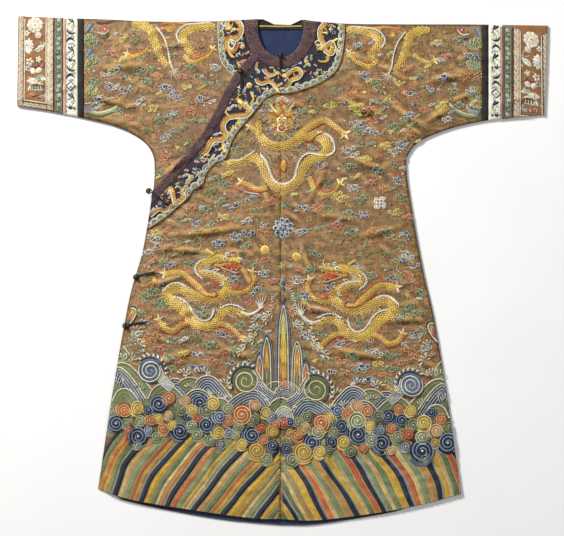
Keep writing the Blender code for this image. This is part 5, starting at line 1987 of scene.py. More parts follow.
SIDE_FOAM = (  # how far in from the seam, how far below the top, size, turn, colour
    (14, 66, 13, 60, CREAM),
    (6, 80, 12, 40, WHITE),
    (-1, 96, 11, 50, CREAM),
    (18, 106, 15, 30, WHITE),
    (30, 22, 9, 60, PEACH),
    (26, 44, 10, 20, WHITE),
)


def side_mountain(work, x, top):
    """The half mountain at a side seam, the combs of foam below it, and the green slope at its foot."""
    work.ribbon([(x + 6, top - 8, 8), (x + 6, top - 22, 16), (x, top - 40, 6)], 0, YELLOW, to=RED,
                rise=0.2, across=4)
    for k, tint in enumerate((NAVY, CREAM, GREEN, BLUE_GREY)):
        inner = 3.3 * k
        rows = ((x + 1, top - inner), (x + 13 - inner, top - inner), (x + 19 - inner, top - 14),
                (x + 9 - inner, top - 38 + inner), (x - 9, top - 58 + 2 * inner))
        work.ribbon(rows, 3.5, tint, rise=0.5 - 0.03 * k, step=5)
    for k, tint in enumerate((RED, ORANGE, YELLOW)):
        work.ribbon([(x + 3 + 2 * k, top - 16), (x + 1 + 2 * k, top - 34)], 2.2, tint, rise=0.8)
    for along, down, size, turn, tint in SIDE_FOAM:
        foam(work, x + along, top - down, turn, size, count=4, tint=tint, hand=-1)
    work.ribbon([(x - 18, top - 112, 8), (x - 16, top - 128, 24), (x - 14, top - 146, 38)], 0, GREEN,
                to=GREEN_PALE, rise=0.2, across=4)
    work.ribbon([(x - 20, top - 102), (x - 6, top - 120), (x + 8, top - 142)], 2.6, CREAM, rise=0.6)


# Dragons ---------------------------------------------------------------------------------------


def dragon_profile_head(work):
    """The head of the dragon that walks, seen from its side: neck, skull, open jaws, horns and mane."""
    neck = ((-184, -642), (-202, -645), (-214, -655), (-212, -668), (-198, -674))
    scales(work, neck, (12, 14, 16, 17, 17), pitch=6.0)
    ridge(work, ((-200, -636), (-216, -642), (-226, -656), (-222, -672), (-208, -684)), 7, side=-1)
    for k in range(26):
        t = k / 25
        x, y = -184 - 4 * math.sin(9 * t), -624 - 34 * t
        tint = (LAVENDER, TAN, YELLOW, BLUE_GREY, CREAM)[k % 5]
        bend = 10 + 54 * t * t
        length = (50, 36, 56, 42)[k % 4] - 10 * t
        work.spike(x, y, 172 + 16 * t, length, 2.6, tint, to=CREAM if k % 3 == 0 else tint, bend=bend,
                   rise=0.4 + 0.01 * k)
    for rows in (((-178, -622), (-188, -614), (-198, -607)), ((-184, -636), (-200, -636), (-214, -640))):
        work.ribbon([(x, y, 7.4 - 1.3 * k) for k, (x, y) in enumerate(rows)], 0, LIME, to=YELLOW, rise=1.5)
    work.ribbon([(-198, -639, 10), (-184, -635, 21), (-168, -632, 29), (-152, -631, 24), (-140, -634, 14),
                 (-128, -634, 14), (-116, -632, 15), (-108, -632, 8)], 0, GOLD_MAIN, to=GOLD_LIGHT, kind=GOLD,
                rise=0.9, dome=0.7, across=4, edge=GOLD_DEEP)
    for k in range(44):  # short stitches of the brow, cheek and muzzle
        x, y = -192 + 1.9 * k, -635 + 9 * math.sin(k * 2.4) * (1 - k / 90)
        work.spike(x, y, 165 + 40 * math.sin(k * 1.7), 7, 2.0, (GOLD_DEEP, YELLOW, ORANGE, CREAM)[k % 4],
                   to=GOLD_LIGHT, bend=50, rise=1.9)
    work.ribbon([(-176, -649, 6), (-160, -651, 9), (-146, -647, 6), (-130, -645, 5), (-116, -643, 3)], 0,
                GOLD_MAIN, to=ORANGE, kind=GOLD, rise=1.4)
    work.ribbon([(-148, -650, 6), (-138, -653, 15), (-126, -655, 18), (-114, -655, 14), (-108, -652, 6)], 0,
                RED, to=ORANGE, rise=0.9, dome=0.6)
    work.ribbon([(-160, -655), (-146, -661), (-132, -666), (-120, -671), (-112, -668)], 3.6, PEACH,
                to=PINK, rise=1.3)
    for x, y, turn in ((-134, -646, 268), (-120, -645, 262), (-130, -662, 84), (-118, -664, 78)):
        work.spike(x, y, turn, 4, 2.2, WHITE, rise=1.8)
    for k, (x, y) in enumerate(((-110, -626), (-104, -633), (-110, -640), (-120, -623), (-128, -624))):
        work.spiral(x, y, 4.2, 1.8, (PEACH, WHITE, GOLD_LIGHT)[k % 3], turns=1.2, start=70 * k, core=0.8,
                    rise=2.2)
    for x, y in ((-142, -621), (-148, -633)):
        work.disc(x, y, 5.4, WHITE, WHITE, sides=11, rise=2.9, dome=0.2)
        work.disc(x, y, 2.7, BLACK, BLACK, sides=9, rise=3.3, dome=0.2)
    for x, y, turn, length in ((-116, -626, 40, 16), (-164, -662, 150, 22), (-164, -662, 196, 26)):
        work.spike(x, y, turn, length, 2.0, WHITE, bend=50, rise=1.2)


def walking_dragon(work):
    """A five-clawed dragon in profile, coiling over its own back."""
    body = ((-206, -668), (-178, -677), (-149, -691), (-140, -708), (-150, -726), (-176, -737),
            (-206, -737), (-236, -727), (-264, -712), (-288, -712), (-302, -726), (-294, -742),
            (-270, -756), (-250, -774), (-238, -797), (-217, -811), (-191, -811), (-170, -801),
            (-160, -782), (-144, -770), (-120, -771), (-100, -780), (-84, -785))
    widths = (16, 19, 22, 24, 25, 26, 26, 25, 25, 26, 27, 28, 28, 28, 27, 26, 25, 24, 22, 20, 17, 13, 8)
    for rows, side in ((((-134, -690), (-146, -722), (-190, -740), (-240, -730)), 1),
                       (((-130, -680), (-140, -700)), 1),
                       (((-280, -716), (-304, -724), (-306, -744)), -1),
                       (((-250, -742), (-234, -768), (-212, -786), (-190, -784)), 1),
                       (((-262, -770), (-248, -800), (-212, -826), (-180, -824)), -1),
                       (((-170, -790), (-150, -776), (-124, -782)), -1)):
        hairs(work, rows, side)
    over = ((-216, -664), (-196, -664), (-176, -668), (-156, -680), (-150, -698), (-156, -704))
    limb(work, ((-240, -800), (-262, -808), (-284, -824), (-308, -816), (-322, -794)), 17, 1, 120)
    limb(work, ((-166, -806), (-146, -808), (-124, -822), (-104, -842)), 15, -1, -40)
    limb(work, ((-138, -718), (-112, -723), (-84, -712), (-70, -688), (-76, -668)), 15, 1, 90)
    scales(work, body, widths, pitch=6.4)
    ridge(work, over, 7.5, side=-1)
    ridge(work, ((-250, -706), (-270, -697), (-292, -700), (-312, -718)), 8, side=1)
    ridge(work, ((-282, -734), (-262, -740), (-244, -756), (-232, -776), (-216, -794), (-196, -797),
                 (-182, -786), (-176, -768)), 7.5, side=1)
    ridge(work, ((-160, -764), (-140, -755), (-118, -757), (-98, -768)), 7, side=1)
    work.ribbon([(-104, -774, 4), (-84, -780, 7), (-64, -772, 6), (-50, -759, 4)], 0, WHITE, rise=1.4)
    for turn, length in ((108, 24), (92, 33), (77, 38), (62, 40), (48, 38), (22, 20), (0, 16)):
        work.spike(-56, -763, turn, length, 2.9, WHITE, to=CREAM, bend=14, rise=1.2)
    limb(work, ((-200, -728), (-212, -712), (-236, -690), (-258, -671), (-282, -667), (-306, -672)), 19, -1,
         186, talon=17)
    work.ribbon([(-196, -732), (-178, -734), (-168, -728), (-176, -716)], 3.6, RED, rise=2.4)
    work.ribbon([(-252, -690), (-232, -706), (-214, -722), (-196, -733)], 3.2, RED, to=ORANGE, rise=2.4)
    dragon_profile_head(work)
    flames(work, -262, -800, 40, 26, count=4)
    flames(work, -176, -706, 60, 20)
    flames(work, -120, -716, 70, 22)
    flames(work, -330, -690, 170, 20, YELLOW, ORANGE, 4, 90)
    flames(work, -150, -816, 250, 18)
    work.ribbon([(-214, -822), (-196, -826), (-178, -822), (-160, -826), (-146, -820)], 3.0, RED, to=PINK,
                rise=1.0)


FACE_X = 3  # the middle of the chest dragon's face


def front_face(work):
    """The face of the chest's dragon: a curled mane all round it, horns, brows, eyes, an open mouth."""
    work.disc(FACE_X, -266, 31, TAN, GOLD_DEEP, dome=0.6, sides=24, rise=0.9, long=0.92)
    for ring, count in ((31, 24), (25, 21), (19, 16)):
        for k in range(count):
            a = math.radians(360 * (k + 0.3 * ring) / count)
            tint = (GOLD_LIGHT, ORANGE, YELLOW, GOLD_MAIN, TAN)[k % 5]
            x, y = FACE_X + ring * math.cos(a), -264 + 1.14 * ring * math.sin(a)
            work.spiral(x, y, 5.4, 2.2, tint, turns=1.2, start=math.degrees(a) + 60 * k, hand=(-1) ** k,
                        core=0.8, rise=2.8 - ring * 0.03)
    work.disc(FACE_X, -268, 16, GOLD_MAIN, GOLD_LIGHT, kind=GOLD, dome=1.8, sides=18, rise=2.2,
              long=0.92)
    for side in (-1, 1):
        horn = [(FACE_X + side * out, y, width)
                for out, y, width in ((14, -246, 5), (22, -238, 4.4), (27, -228, 4), (33, -219, 2))]
        work.ribbon(horn, 0, CREAM, to=YELLOW, rise=2.2)
        work.spike(FACE_X + side * 25, -232, 90 - side * 62, 11, 2.8, CREAM, rise=2.2)
        brow = [(FACE_X + side * out, y) for out, y in ((2, -257), (7, -255), (14, -259))]
        work.ribbon(brow, 2.8, RED, rise=3.8)
        work.disc(FACE_X + side * 6.8, -265, 5.6, WHITE, WHITE, sides=11, rise=3.8)
        work.disc(FACE_X + side * 6.2, -265, 2.6, BLACK, sides=8, rise=4.6)
        work.spike(FACE_X + side * 9, -282, -90 + side * 80, 30, 2.2, WHITE, bend=side * 50, rise=1.6)
    for k, (x, y) in enumerate(((0, -273), (6, -273), (3, -277))):
        work.disc(x, y, 3.0, GOLD_LIGHT if k == 2 else ORANGE, GOLD_DEEP, kind=GOLD, sides=9, rise=4.0)
    lips = [(FACE_X + 11 * math.cos(a), -288 + 10 * math.sin(a)) for a in np.linspace(-4.4, 1.3, 12)]
    work.ribbon(lips, 3.8, WHITE, to=PINK, rise=3.4, dome=0.8)
    work.disc(FACE_X, -288, 8, RED, BROWN, dome=0.8, sides=12, rise=3.0)
    work.ribbon([(-2, -284), (3, -288), (8, -284)], 3.4, PINK, rise=4.2)
    work.ribbon([(-3, -293), (3, -290), (9, -293)], 3.0, ORANGE, rise=4.2)
    for k in range(9):
        work.spike(FACE_X, -298, -150 + 15 * k, 13, 2.4, ORANGE if k % 2 else GOLD_LIGHT, to=YELLOW,
                   rise=1.6)
    work.disc(FACE_X, -216, 12, ORANGE, GOLD_DEEP, sides=12, rise=0.6)
    for reach in (17, 12):
        rows = [around(FACE_X, -222, reach, a) for a in (0.2, 0.9, 1.57, 2.24, 2.94)]
        work.ribbon(rows, 2.4, WHITE, rise=1.2)


def chest_dragon(work):
    """The dragon of the chest, its face to the front above a double bend of its body."""
    body = ((-58, -270), (-60, -292), (-50, -316), (-22, -334), (13, -334), (50, -316), (84, -306),
            (112, -314), (126, -337), (110, -361), (80, -371), (58, -396), (40, -430), (10, -446),
            (-18, -438), (-40, -408), (-54, -376), (-78, -364), (-110, -379), (-141, -382), (-152, -374))
    widths = (12, 17, 21, 23, 24, 25, 26, 28, 28, 26, 25, 25, 25, 25, 24, 23, 22, 21, 19, 14, 6)
    for k in range(74):
        turn = 360 * k / 74
        a = math.radians(turn)
        tint = (BLUE_GREY, SAGE, LAVENDER, TAN, CREAM)[k % 5]
        inner = 24 + 3 * (k % 3)
        x, y = FACE_X + inner * math.cos(a), -268 + 1.12 * inner * math.sin(a)
        work.spike(x, y, turn + 8, (30, 24, 36)[k % 3], 1.9, tint, to=CREAM if k % 2 else BLUE_GREY,
                   bend=36 * (-1) ** (k // 4), rise=0.1)
    for rows, side in ((((-60, -280), (-66, -310), (-40, -340), (0, -352), (40, -342)), -1),
                       (((126, -350), (92, -396), (64, -430), (24, -458), (-20, -452), (-50, -420)), -1),
                       (((-66, -380), (-100, -392), (-140, -392)), -1),
                       (((20, -400), (6, -416), (-12, -404), (-26, -370)), 1)):
        hairs(work, rows, side)
    limb(work, ((-38, -446), (-62, -450), (-84, -438), (-104, -430)), 15, 1, 150, talon=16)
    limb(work, ((76, -418), (90, -448), (112, -463), (138, -458), (156, -434)), 15, 1, 60, talon=16)
    limb(work, ((-58, -300), (-72, -290), (-82, -284)), 17, -1, 170, talon=14)
    scales(work, body, widths, pitch=6.4)
    ridge(work, ((96, -297), (122, -303), (139, -321), (142, -347), (126, -359), (96, -357), (72, -355),
                 (54, -368), (42, -396), (36, -420), (16, -434), (-6, -434), (-22, -421), (-32, -396),
                 (-41, -373), (-54, -358)), 8, side=-1)
    ridge(work, ((-70, -349), (-90, -362), (-108, -372), (-132, -373)), 6.5, side=-1)
    limb(work, ((46, -308), (66, -293), (92, -275), (117, -266), (142, -281), (168, -302)), 18, -1, -38,
         talon=20)
    work.ribbon([(58, -318), (76, -322), (96, -306), (116, -296)], 3.4, RED, to=ORANGE, rise=2.2)
    front_face(work)
    work.disc(7, -387, 14, GOLD_MAIN, GOLD_LIGHT, kind=GOLD, long=0.72, sides=16, dome=1.6)
    work.ribbon([(2, -372), (-1, -386), (3, -402)], 3, RED, rise=1.6)
    work.ribbon([(12, -372), (14, -388), (10, -402)], 3, ORANGE, rise=1.6)
    flames(work, 4, -458, -90, 22, GOLD_MAIN, GOLD_DEEP, 5, 110)
    flames(work, 62, -300, 140, 18, RED, ORANGE, 3, 70)
    flames(work, -70, -442, 230, 18)
    flames(work, 90, -430, 100, 18)
    work.ribbon([(-130, -440), (-108, -448), (-86, -458), (-58, -462)], 3, RED, to=WHITE, rise=0.6)


def shoulder_dragon(work):
    """The dragon that lies over a shoulder, with its tail on the front."""
    flames(work, -250, -60, 210, 20, RED, ORANGE, 3, 80)
    limb(work, ((-254, -96), (-236, -112), (-212, -106), (-190, -94), (-180, -78)), 14, 1, 70, talon=13)
    limb(work, ((-352, -80), (-372, -92), (-392, -98), (-406, -92)), 15, -1, 170, talon=14)
    coil = ((-176, -17), (-210, -20), (-246, -28), (-262, -48), (-250, -68), (-238, -86), (-248, -106))
    scales(work, coil, (14, 18, 20, 21, 20, 18, 12), pitch=6)
    ridge(work, ((-186, -8), (-220, -10), (-256, -16), (-276, -40), (-268, -62)), 6.5, side=1)
    body = ((-392, -12), (-366, -14), (-342, -30), (-336, -54), (-326, -78), (-318, -100), (-302, -120))
    scales(work, body, (16, 20, 22, 22, 20, 16, 10), pitch=6)
    ridge(work, ((-330, -20), (-316, -38), (-306, -56), (-298, -84), (-294, -110), (-286, -132)), 6.5,
          side=1)
    for k in range(12):
        length = 28 - 8 * abs(k / 5.5 - 1) + 3 * (k % 2)
        work.spike(-285, -133, -160 + 15 * k, length, 2.2, CREAM if k % 2 else TAN, to=CREAM, bend=16,
                   rise=1.2)
    work.ribbon([(-316, -12), (-280, -8), (-240, -12), (-200, -10)], 6, ORANGE, to=YELLOW, rise=0.6)
    flames(work, -300, -30, 30, 20, YELLOW, ORANGE, 4, 100)
    flames(work, -230, -92, -60, 18, ORANGE, YELLOW, 3, 80)


def small_dragon(work, path, width=11, head=14, turn=0.0, legs=True):
    """A small dragon of the collar: a looping scaled body with a pale back, and its head."""
    rows = np.asarray(path, float)
    widths = np.concatenate((np.linspace(width, width, len(rows) - 2), (width * 0.7, width * 0.3)))
    scales(work, rows, widths, pitch=4.6)
    work.ribbon(beside(rows, width * 0.5), 2.6, WHITE, rise=1.2)
    work.ribbon(beside(rows, -width * 0.5), 2.2, ORANGE, rise=1.0)
    x, y = rows[0]
    a = math.radians(turn)
    work.disc(*around(x, y, head * 0.3, a), head * 0.5, GOLD_LIGHT, GOLD_DEEP,
              long=1.35, turn=turn, kind=GOLD, sides=12, rise=1.0, dome=1.3)
    for k in (-1, 1):
        work.spike(x, y, turn + 180 + 32 * k, head * 1.1, 3.4, CREAM, bend=20 * k, rise=1.0)
        work.spike(*around(x, y, head * 0.7, a), turn + 24 * k, head * 0.7, 3.6,
                   GOLD_LIGHT, to=RED, rise=1.2)
    work.disc(*around(x, y, head * 0.34, a + 0.7), 2.0, WHITE, BLACK, sides=7, rise=2.4)
    if legs:
        line = curve(rows, 5)
        for share, side in ((0.28, 1), (0.4, -1), (0.66, 1), (0.78, -1)):
            k = int(share * (len(line) - 1))
            px, py = line[k]
            dx, dy = directions(line)[k]
            out = math.degrees(math.atan2(dx * side, -dy * side))
            ex, ey = around(px, py, 15, math.radians(out))
            work.ribbon([(px, py, 6), ((px + ex) / 2 + 2, (py + ey) / 2, 5), (ex, ey, 3.4)], 0, GOLD_MAIN,
                        to=GOLD_LIGHT, kind=GOLD, rise=0.6)
            for m in (-50, -16, 16, 50):
                work.spike(ex, ey, out + m, 8, 2.2, GOLD_LIGHT, to=WHITE, rise=1.0)


def bat(work, x, y, size=1.0):
    """A dark bat with its wings spread, for good fortune."""
    for side in (-1, 1):
        rows = [(x, y, 10 * size), (x + side * 12 * size, y + 6 * size, 14 * size),
                (x + side * 26 * size, y + 4 * size, 11 * size), (x + side * 37 * size, y - 5 * size, 2)]
        work.ribbon(rows, 0, NAVY, to=BLUE_GREY, rise=0.8, across=4, edge=BLUE_PALE)
        work.spiral(x + side * 20 * size, y + 2 * size, 6 * size, 1.6, WHITE, rise=1.6)
        flower(work, x + side * 30 * size, y - 12 * size, 8 * size, WHITE, RED)
    work.disc(x, y - 1, 7 * size, BLUE, WHITE, sides=10, rise=1.4)
    for side in (-1, 1):
        work.disc(x + side * 3, y + 2, 1.5, WHITE, BLACK, sides=6, rise=2.4)


def endless_knot(work, x, y, pitch):
    """A white knot of one cord, that runs three times each way over and under itself."""
    turns = ((1, -1), (1, 0), (-1, 0), (-1, 1), (1, 1))
    for across in (0, 1):
        snake = [(-1, -1)]
        for side, row in turns:
            snake.append((side, row))
        rows = []
        for k, (u, v) in enumerate(snake):
            reach = 1.25 * pitch * u
            rows.append((reach, v * pitch))
            if k in (1, 3):
                rows.append((reach + u * pitch * 0.5, (v + 0.5) * pitch))
        rows = [(v, -u) if across else (u, v) for u, v in rows]
        work.ribbon([(x + u, y + v) for u, v in rows], 3.4, WHITE, rise=0.6 + 0.3 * across, dome=0.7, step=3)
    for u, v in ((-1, -1), (1, -1), (-1, 1), (1, 1)):
        loop = [(x + pitch * u * (1.25 + 0.42 * math.cos(a)), y + pitch * v * (1.25 + 0.42 * math.sin(a)))
                for a in np.linspace(-2.2, 3.8, 9)]
        work.ribbon(loop, 2.9, WHITE, rise=0.5, dome=0.6, step=3)


CLOUD_SETS = {
    "green": (colour(66, 92, 70), colour(168, 180, 134)),
    "blue": (colour(34, 48, 86), colour(206, 212, 208)),
    "yellow": (colour(178, 148, 48), colour(238, 222, 132)),
    "orange": (colour(168, 76, 40), colour(226, 166, 112)),
    "white": (colour(92, 98, 104), colour(230, 226, 212)),
    "olive": (colour(104, 100, 58), colour(142, 148, 88)),
    "red": (colour(146, 48, 32), colour(222, 158, 126)),
    "grey": (colour(60, 72, 86), colour(190, 194, 188)),
}
# Clouds given one by one: where, how large, which way the tail points, and the threads.
CLOUDS_LEFT = (
    (-221, -149, 13, 20, "green"), (-238, -120, 11, 200, "green"), (-194, -170, 12, 0, "green"),
    (-158, -168, 10, 160, "green"), (-306, -177, 13, 10, "blue"), (-289, -198, 11, 40, "blue"),
    (-272, -210, 10, 200, "blue"), (-172, -124, 11, 0, "white"), (-433, -134, 12, 20, "blue"),
    (-464, -148, 11, 0, "white"), (-450, -175, 12, -30, "blue"), (-374, -138, 13, 10, "green"),
    (-347, -129, 11, 30, "green"), (-354, -161, 12, -20, "green"), (-408, -190, 14, 0, "grey"),
    (-374, -217, 13, 10, "white"), (-418, -53, 13, 20, "yellow"), (-445, -87, 12, 160, "red"),
    (-467, -28, 12, 0, "red"), (-386, -62, 10, 30, "olive"), (-496, -170, 12, 10, "green"),
    (-480, -212, 12, 20, "blue"), (-430, -238, 13, -10, "green"), (-398, -262, 12, 180, "orange"),
    (-340, -232, 12, 10, "yellow"), (-318, -262, 11, 30, "green"), (-286, -256, 12, 10, "blue"),
    (-250, -180, 11, 0, "yellow"), (-214, -206, 12, 20, "blue"), (-236, -238, 12, -20, "orange"),
    (-262, -292, 12, 30, "green"), (-304, -316, 12, 10, "white"), (-246, -324, 11, 200, "olive"),
    (-352, -292, 11, 15, "olive"), (-302, -366, 12, 20, "orange"), (-320, -404, 11, 20, "green"),
    (-206, -268, 11, 10, "green"), (-184, -218, 10, 10, "white"), (-500, -240, 10, 0, "olive"),
    (-324, -146, 9, 0, "orange"), (-420, -104, 10, 200, "yellow"), (-262, -148, 9, 10, "red"),
)
CLOUDS_RIGHT = (
    (196, -40, 12, 160, "green"), (222, -152, 12, 180, "blue"), (250, -178, 12, 150, "green"),
    (192, -186, 12, 200, "orange"), (310, -168, 12, 170, "yellow"), (340, -196, 13, 180, "blue"),
    (288, -220, 12, 190, "green"), (366, -150, 12, 200, "green"), (398, -186, 12, 170, "white"),
    (430, -150, 13, 180, "blue"), (458, -186, 12, 160, "green"), (486, -150, 12, 180, "orange"),
    (502, -196, 12, 190, "blue"), (470, -226, 12, 170, "green"), (424, -226, 13, 180, "yellow"),
    (382, -240, 12, 200, "orange"), (340, -250, 12, 180, "blue"), (300, -280, 13, 170, "green"),
    (250, -214, 11, 180, "white"), (410, -60, 12, 180, "yellow"), (440, -96, 12, 160, "red"),
    (470, -50, 12, 190, "green"), (500, -96, 12, 180, "blue"), (360, -96, 11, 200, "olive"),
    (340, -300, 12, 180, "orange"), (318, -336, 12, 170, "blue"), (278, -330, 12, 190, "yellow"),
    (300, -386, 12, 180, "green"), (250, -300, 12, 160, "blue"), (520, -240, 11, 180, "green"),
    (170, -130, 10, 160, "green"), (186, -92, 10, 180, "yellow"), (204, -66, 10, 180, "blue"),
    (394, -110, 10, 170, "green"), (334, -130, 10, 190, "orange"), (440, -262, 11, 180, "white"),
)
CLOUDS_MIDDLE = (
    (135, -227, 16, 200, "yellow"), (201, -237, 16, 190, "yellow"), (196, -273, 12, 180, "blue"),
    (211, -280, 12, 180, "blue"), (203, -297, 12, 170, "green"), (229, -293, 12, 180, "blue"),
    (180, -346, 14, 10, "white"), (193, -359, 12, 20, "white"), (107, -389, 14, 180, "blue"),
    (183, -387, 14, 30, "green"), (226, -364, 13, 180, "yellow"), (193, -442, 13, 170, "white"),
    (155, -473, 15, 170, "yellow"), (-78, -473, 14, 180, "grey"), (-139, -407, 14, 180, "yellow"),
    (-118, -346, 11, 180, "green"), (84, -339, 10, 180, "blue"), (210, -330, 11, 180, "green"),
    (236, -430, 13, 190, "red"), (262, -400, 12, 180, "green"), (214, -470, 12, 170, "green"),
    (276, -446, 12, 180, "orange"), (310, -430, 12, 160, "blue"), (318, -474, 12, 190, "green"),
    (180, -508, 13, 180, "green"), (222, -512, 12, 170, "blue"), (300, -512, 13, 180, "yellow"),
    (336, -520, 12, 180, "orange"), (128, -500, 13, 190, "green"), (98, -500, 12, 180, "orange"),
    (62, -496, 13, 170, "blue"), (16, -490, 12, 180, "green"), (-30, -486, 13, 190, "orange"),
    (-66, -502, 12, 180, "green"), (-112, -452, 12, 170, "orange"), (-150, -440, 12, 180, "green"),
    (-176, -420, 12, 180, "green"), (-120, -492, 14, 200, "blue"), (-160, -478, 12, 180, "green"),
    (-186, -452, 12, 190, "olive"), (-200, -500, 14, 180, "green"), (-236, -498, 12, 180, "red"),
    (-150, -520, 12, 170, "yellow"), (-90, -530, 12, 180, "white"), (-262, -530, 13, 190, "green"),
    (-226, -540, 13, 180, "blue"), (-186, -540, 12, 200, "green"), (-300, -556, 13, 180, "orange"),
    (-330, -570, 12, 170, "yellow"), (40, -330, 8, 180, "green"), (-34, -216, 10, 180, "green"),
    (70, -214, 11, 30, "olive"), (96, -240, 12, 20, "olive"), (60, -240, 9, 180, "green"),
    (-46, -240, 9, 180, "grey"), (150, -190, 12, 180, "green"), (230, -236, 12, 180, "red"),
    (60, -560, 15, 200, "blue"), (104, -552, 12, 180, "green"), (148, -548, 12, 170, "red"),
    (186, -560, 15, 180, "green"), (242, -556, 12, 190, "orange"), (280, -570, 14, 180, "green"),
    (330, -564, 13, 180, "blue"), (-46, -556, 13, 180, "orange"), (-86, -570, 15, 190, "blue"),
    (-120, -578, 13, 180, "blue"), (-165, -588, 14, 170, "blue"), (300, -350, 12, 190, "white"),
)
CLOUDS_LOW = (
    (-337, -583, 14, 180, "white"), (-327, -598, 12, 200, "grey"), (-352, -614, 13, 180, "white"),
    (-335, -636, 13, 190, "orange"), (-293, -647, 13, 180, "grey"),
    (-337, -724, 14, 180, "green"), (-322, -745, 13, 190, "green"), (-306, -758, 12, 180, "green"),
    (-358, -737, 13, 170, "green"), (-128, -684, 14, 180, "grey"),
    (-65, -716, 14, 190, "blue"), (-44, -675, 13, 180, "white"), (-204, -774, 14, 180, "green"),
    (-154, -834, 14, 180, "blue"), (-335, -836, 14, 200, "orange"), (-358, -852, 12, 180, "orange"),
    (-320, -872, 13, 180, "red"), (-252, -880, 15, 190, "yellow"), (-216, -886, 15, 160, "blue"),
    (-372, -780, 12, 180, "green"), (-356, -800, 13, 190, "grey"), (-284, -850, 13, 180, "green"),
    (-296, -892, 12, 170, "green"), (-190, -858, 14, 180, "green"), (-158, -880, 13, 180, "orange"),
    (-122, -872, 13, 190, "green"), (-90, -846, 13, 180, "yellow"), (-106, -806, 13, 180, "green"),
    (-66, -814, 13, 170, "blue"), (-76, -640, 12, 180, "green"), (-52, -640, 11, 190, "orange"),
    (-92, -596, 13, 180, "green"), (-40, -720, 11, 180, "green"), (-30, -760, 11, 180, "orange"),
    (-372, -680, 12, 180, "green"), (-350, -660, 11, 170, "red"), (-380, -830, 12, 180, "white"),
    (-86, -904, 12, 180, "white"), (-130, -908, 13, 190, "blue"), (-180, -908, 12, 180, "red"),
    (-290, -920, 12, 180, "green"), (-266, -906, 11, 180, "orange"), (-60, -870, 12, 180, "green"),
    (-20, -690, 10, 180, "red"), (-240, -650, 12, 180, "green"), (-46, -790, 10, 180, "white"),
    (-84, -746, 10, 180, "red"), (-224, -842, 13, 190, "olive"), (-256, -846, 12, 180, "white"),
)


VAPOURS = (  # x, y, length, direction, how far it sways
    (-196, -574, 62, 196, 8), (-214, -590, 74, 176, 9), (-236, -572, 70, 214, 8), (-226, -606, 66, 200, 8),
    (-262, -592, 60, 160, 7), (-280, -612, 56, 228, 8), (-206, -596, 40, 120, 6), (-300, -596, 48, 250, 6),
    (-150, -566, 54, 158, 7),
)
CLOUD_GROWTH = 1.5


def clouds(work, table, drop=0.0):
    """The clouds of one table."""
    for k, (x, y, size, turn, threads) in enumerate(table):
        fill, edge = CLOUD_SETS[threads]
        work.lift = CLOUD_LIFT + 0.002 * k
        cloud(work, x, y - drop, size * CLOUD_GROWTH, turn + rng.uniform(-16, 16), fill, edge,
              lobes=2 + int(rng.integers(0, 3)), hand=1 if rng.random() < 0.6 else -1,
              tail=rng.uniform(0.3, 1.0) if rng.random() < 0.8 else 0)


CLOUDLET_SETS = ("green", "blue", "orange", "yellow", "white", "green")
CLOUDLET_SIZES = (9, 15)
CLOUDLET_APART = 0.95


def cloudlets(work, area, count):
    """Lesser clouds and curls that fill the ground between the great ones, evenly apart."""
    left, right, low, high = area
    placed = []
    for k in range(count * 6):
        x, y = rng.uniform(left, right), rng.uniform(low, high)
        size = rng.uniform(*CLOUDLET_SIZES)
        if any(math.dist((x, y), p[:2]) < (size + p[2]) * CLOUDLET_APART for p in placed):
            continue
        placed.append((x, y, size))
        fill, edge = CLOUD_SETS[CLOUDLET_SETS[int(rng.integers(len(CLOUDLET_SETS)))]]
        work.lift = 0.42 + 0.0015 * (k % 100)
        if k % 3 == 0:
            for m in range(3):
                a = rng.uniform(0, 360)
                work.spiral(x + 3 * m, y + 2 * m, size * 0.36, 2.0, edge if m % 2 else fill, turns=1.2,
                            start=a, core=1.0)
            work.spike(x, y, rng.uniform(150, 220), size * 1.2, 3.4, fill, to=edge, bend=50)
        else:
            turn = rng.choice((0, 180)) + rng.uniform(-24, 24)
            cloud(work, x, y, size, turn, fill, edge, lobes=1 + k % 2, tail=0.4, hand=1 if k % 2 else -1)
        if len(placed) >= count:
            break


def sprinkle(work, area, count, sizes=(1.6, 3.4)):
    """Small knots, berries and petals between the clouds."""
    left, right, low, high = area
    tints = (WHITE, PEACH, ORANGE, GREEN_PALE, YELLOW, RED, BLUE_PALE, GREEN, BLUE)
    for _ in range(count):
        x, y = rng.uniform(left, right), rng.uniform(low, high)
        tint = tints[int(rng.integers(len(tints)))]
        if rng.random() < 0.6:
            work.disc(x, y, rng.uniform(*sizes), tint, sides=7, dome=0.6)
        else:
            work.spike(x, y, rng.uniform(0, 360), rng.uniform(8, 16), 3, tint, to=GREEN, bend=60)


# The collar, the cuffs and the ribbons -------------------------------------------------------


def scallops(work, line, pitch=18.5, reach=14.5, edge=CREAM):
    """A border of small fans along a line, each of nested arcs."""
    spots = curve(line, pitch)
    along = directions(spots)
    tints = ((GREEN_PALE, BLUE_GREY), (BLUE_GREY, BLUE_PALE), (SAGE, GREEN), (BLUE_PALE, BLUE))
    for k, ((x, y), (dx, dy)) in enumerate(zip(spots[:, :2], along)):
        into = math.degrees(math.atan2(-dx, dy))
        first, second = tints[k % len(tints)]
        work.lift = 0.6 + 0.02 * (k % 5)
        for ring, tint in ((1.0, edge), (0.78, first), (0.54, second), (0.3, first)):
            arc = [math.radians(into + a) for a in (-88, -50, 0, 50, 88)]
            rows = [around(x, y, reach * ring, a) for a in arc]
            work.ribbon(rows, reach * 0.21 if ring < 1 else 2.6, tint, rise=0.9 - 0.3 * ring, dome=0.5,
                        step=4)
    work.lift = 0.6


def edge_cord(work, line, out, tint):
    """The cord that edges a facing."""
    work.ribbon(beside(curve(line, 8), out), 3.6, tint, rise=0.5, dome=0.8, step=8)


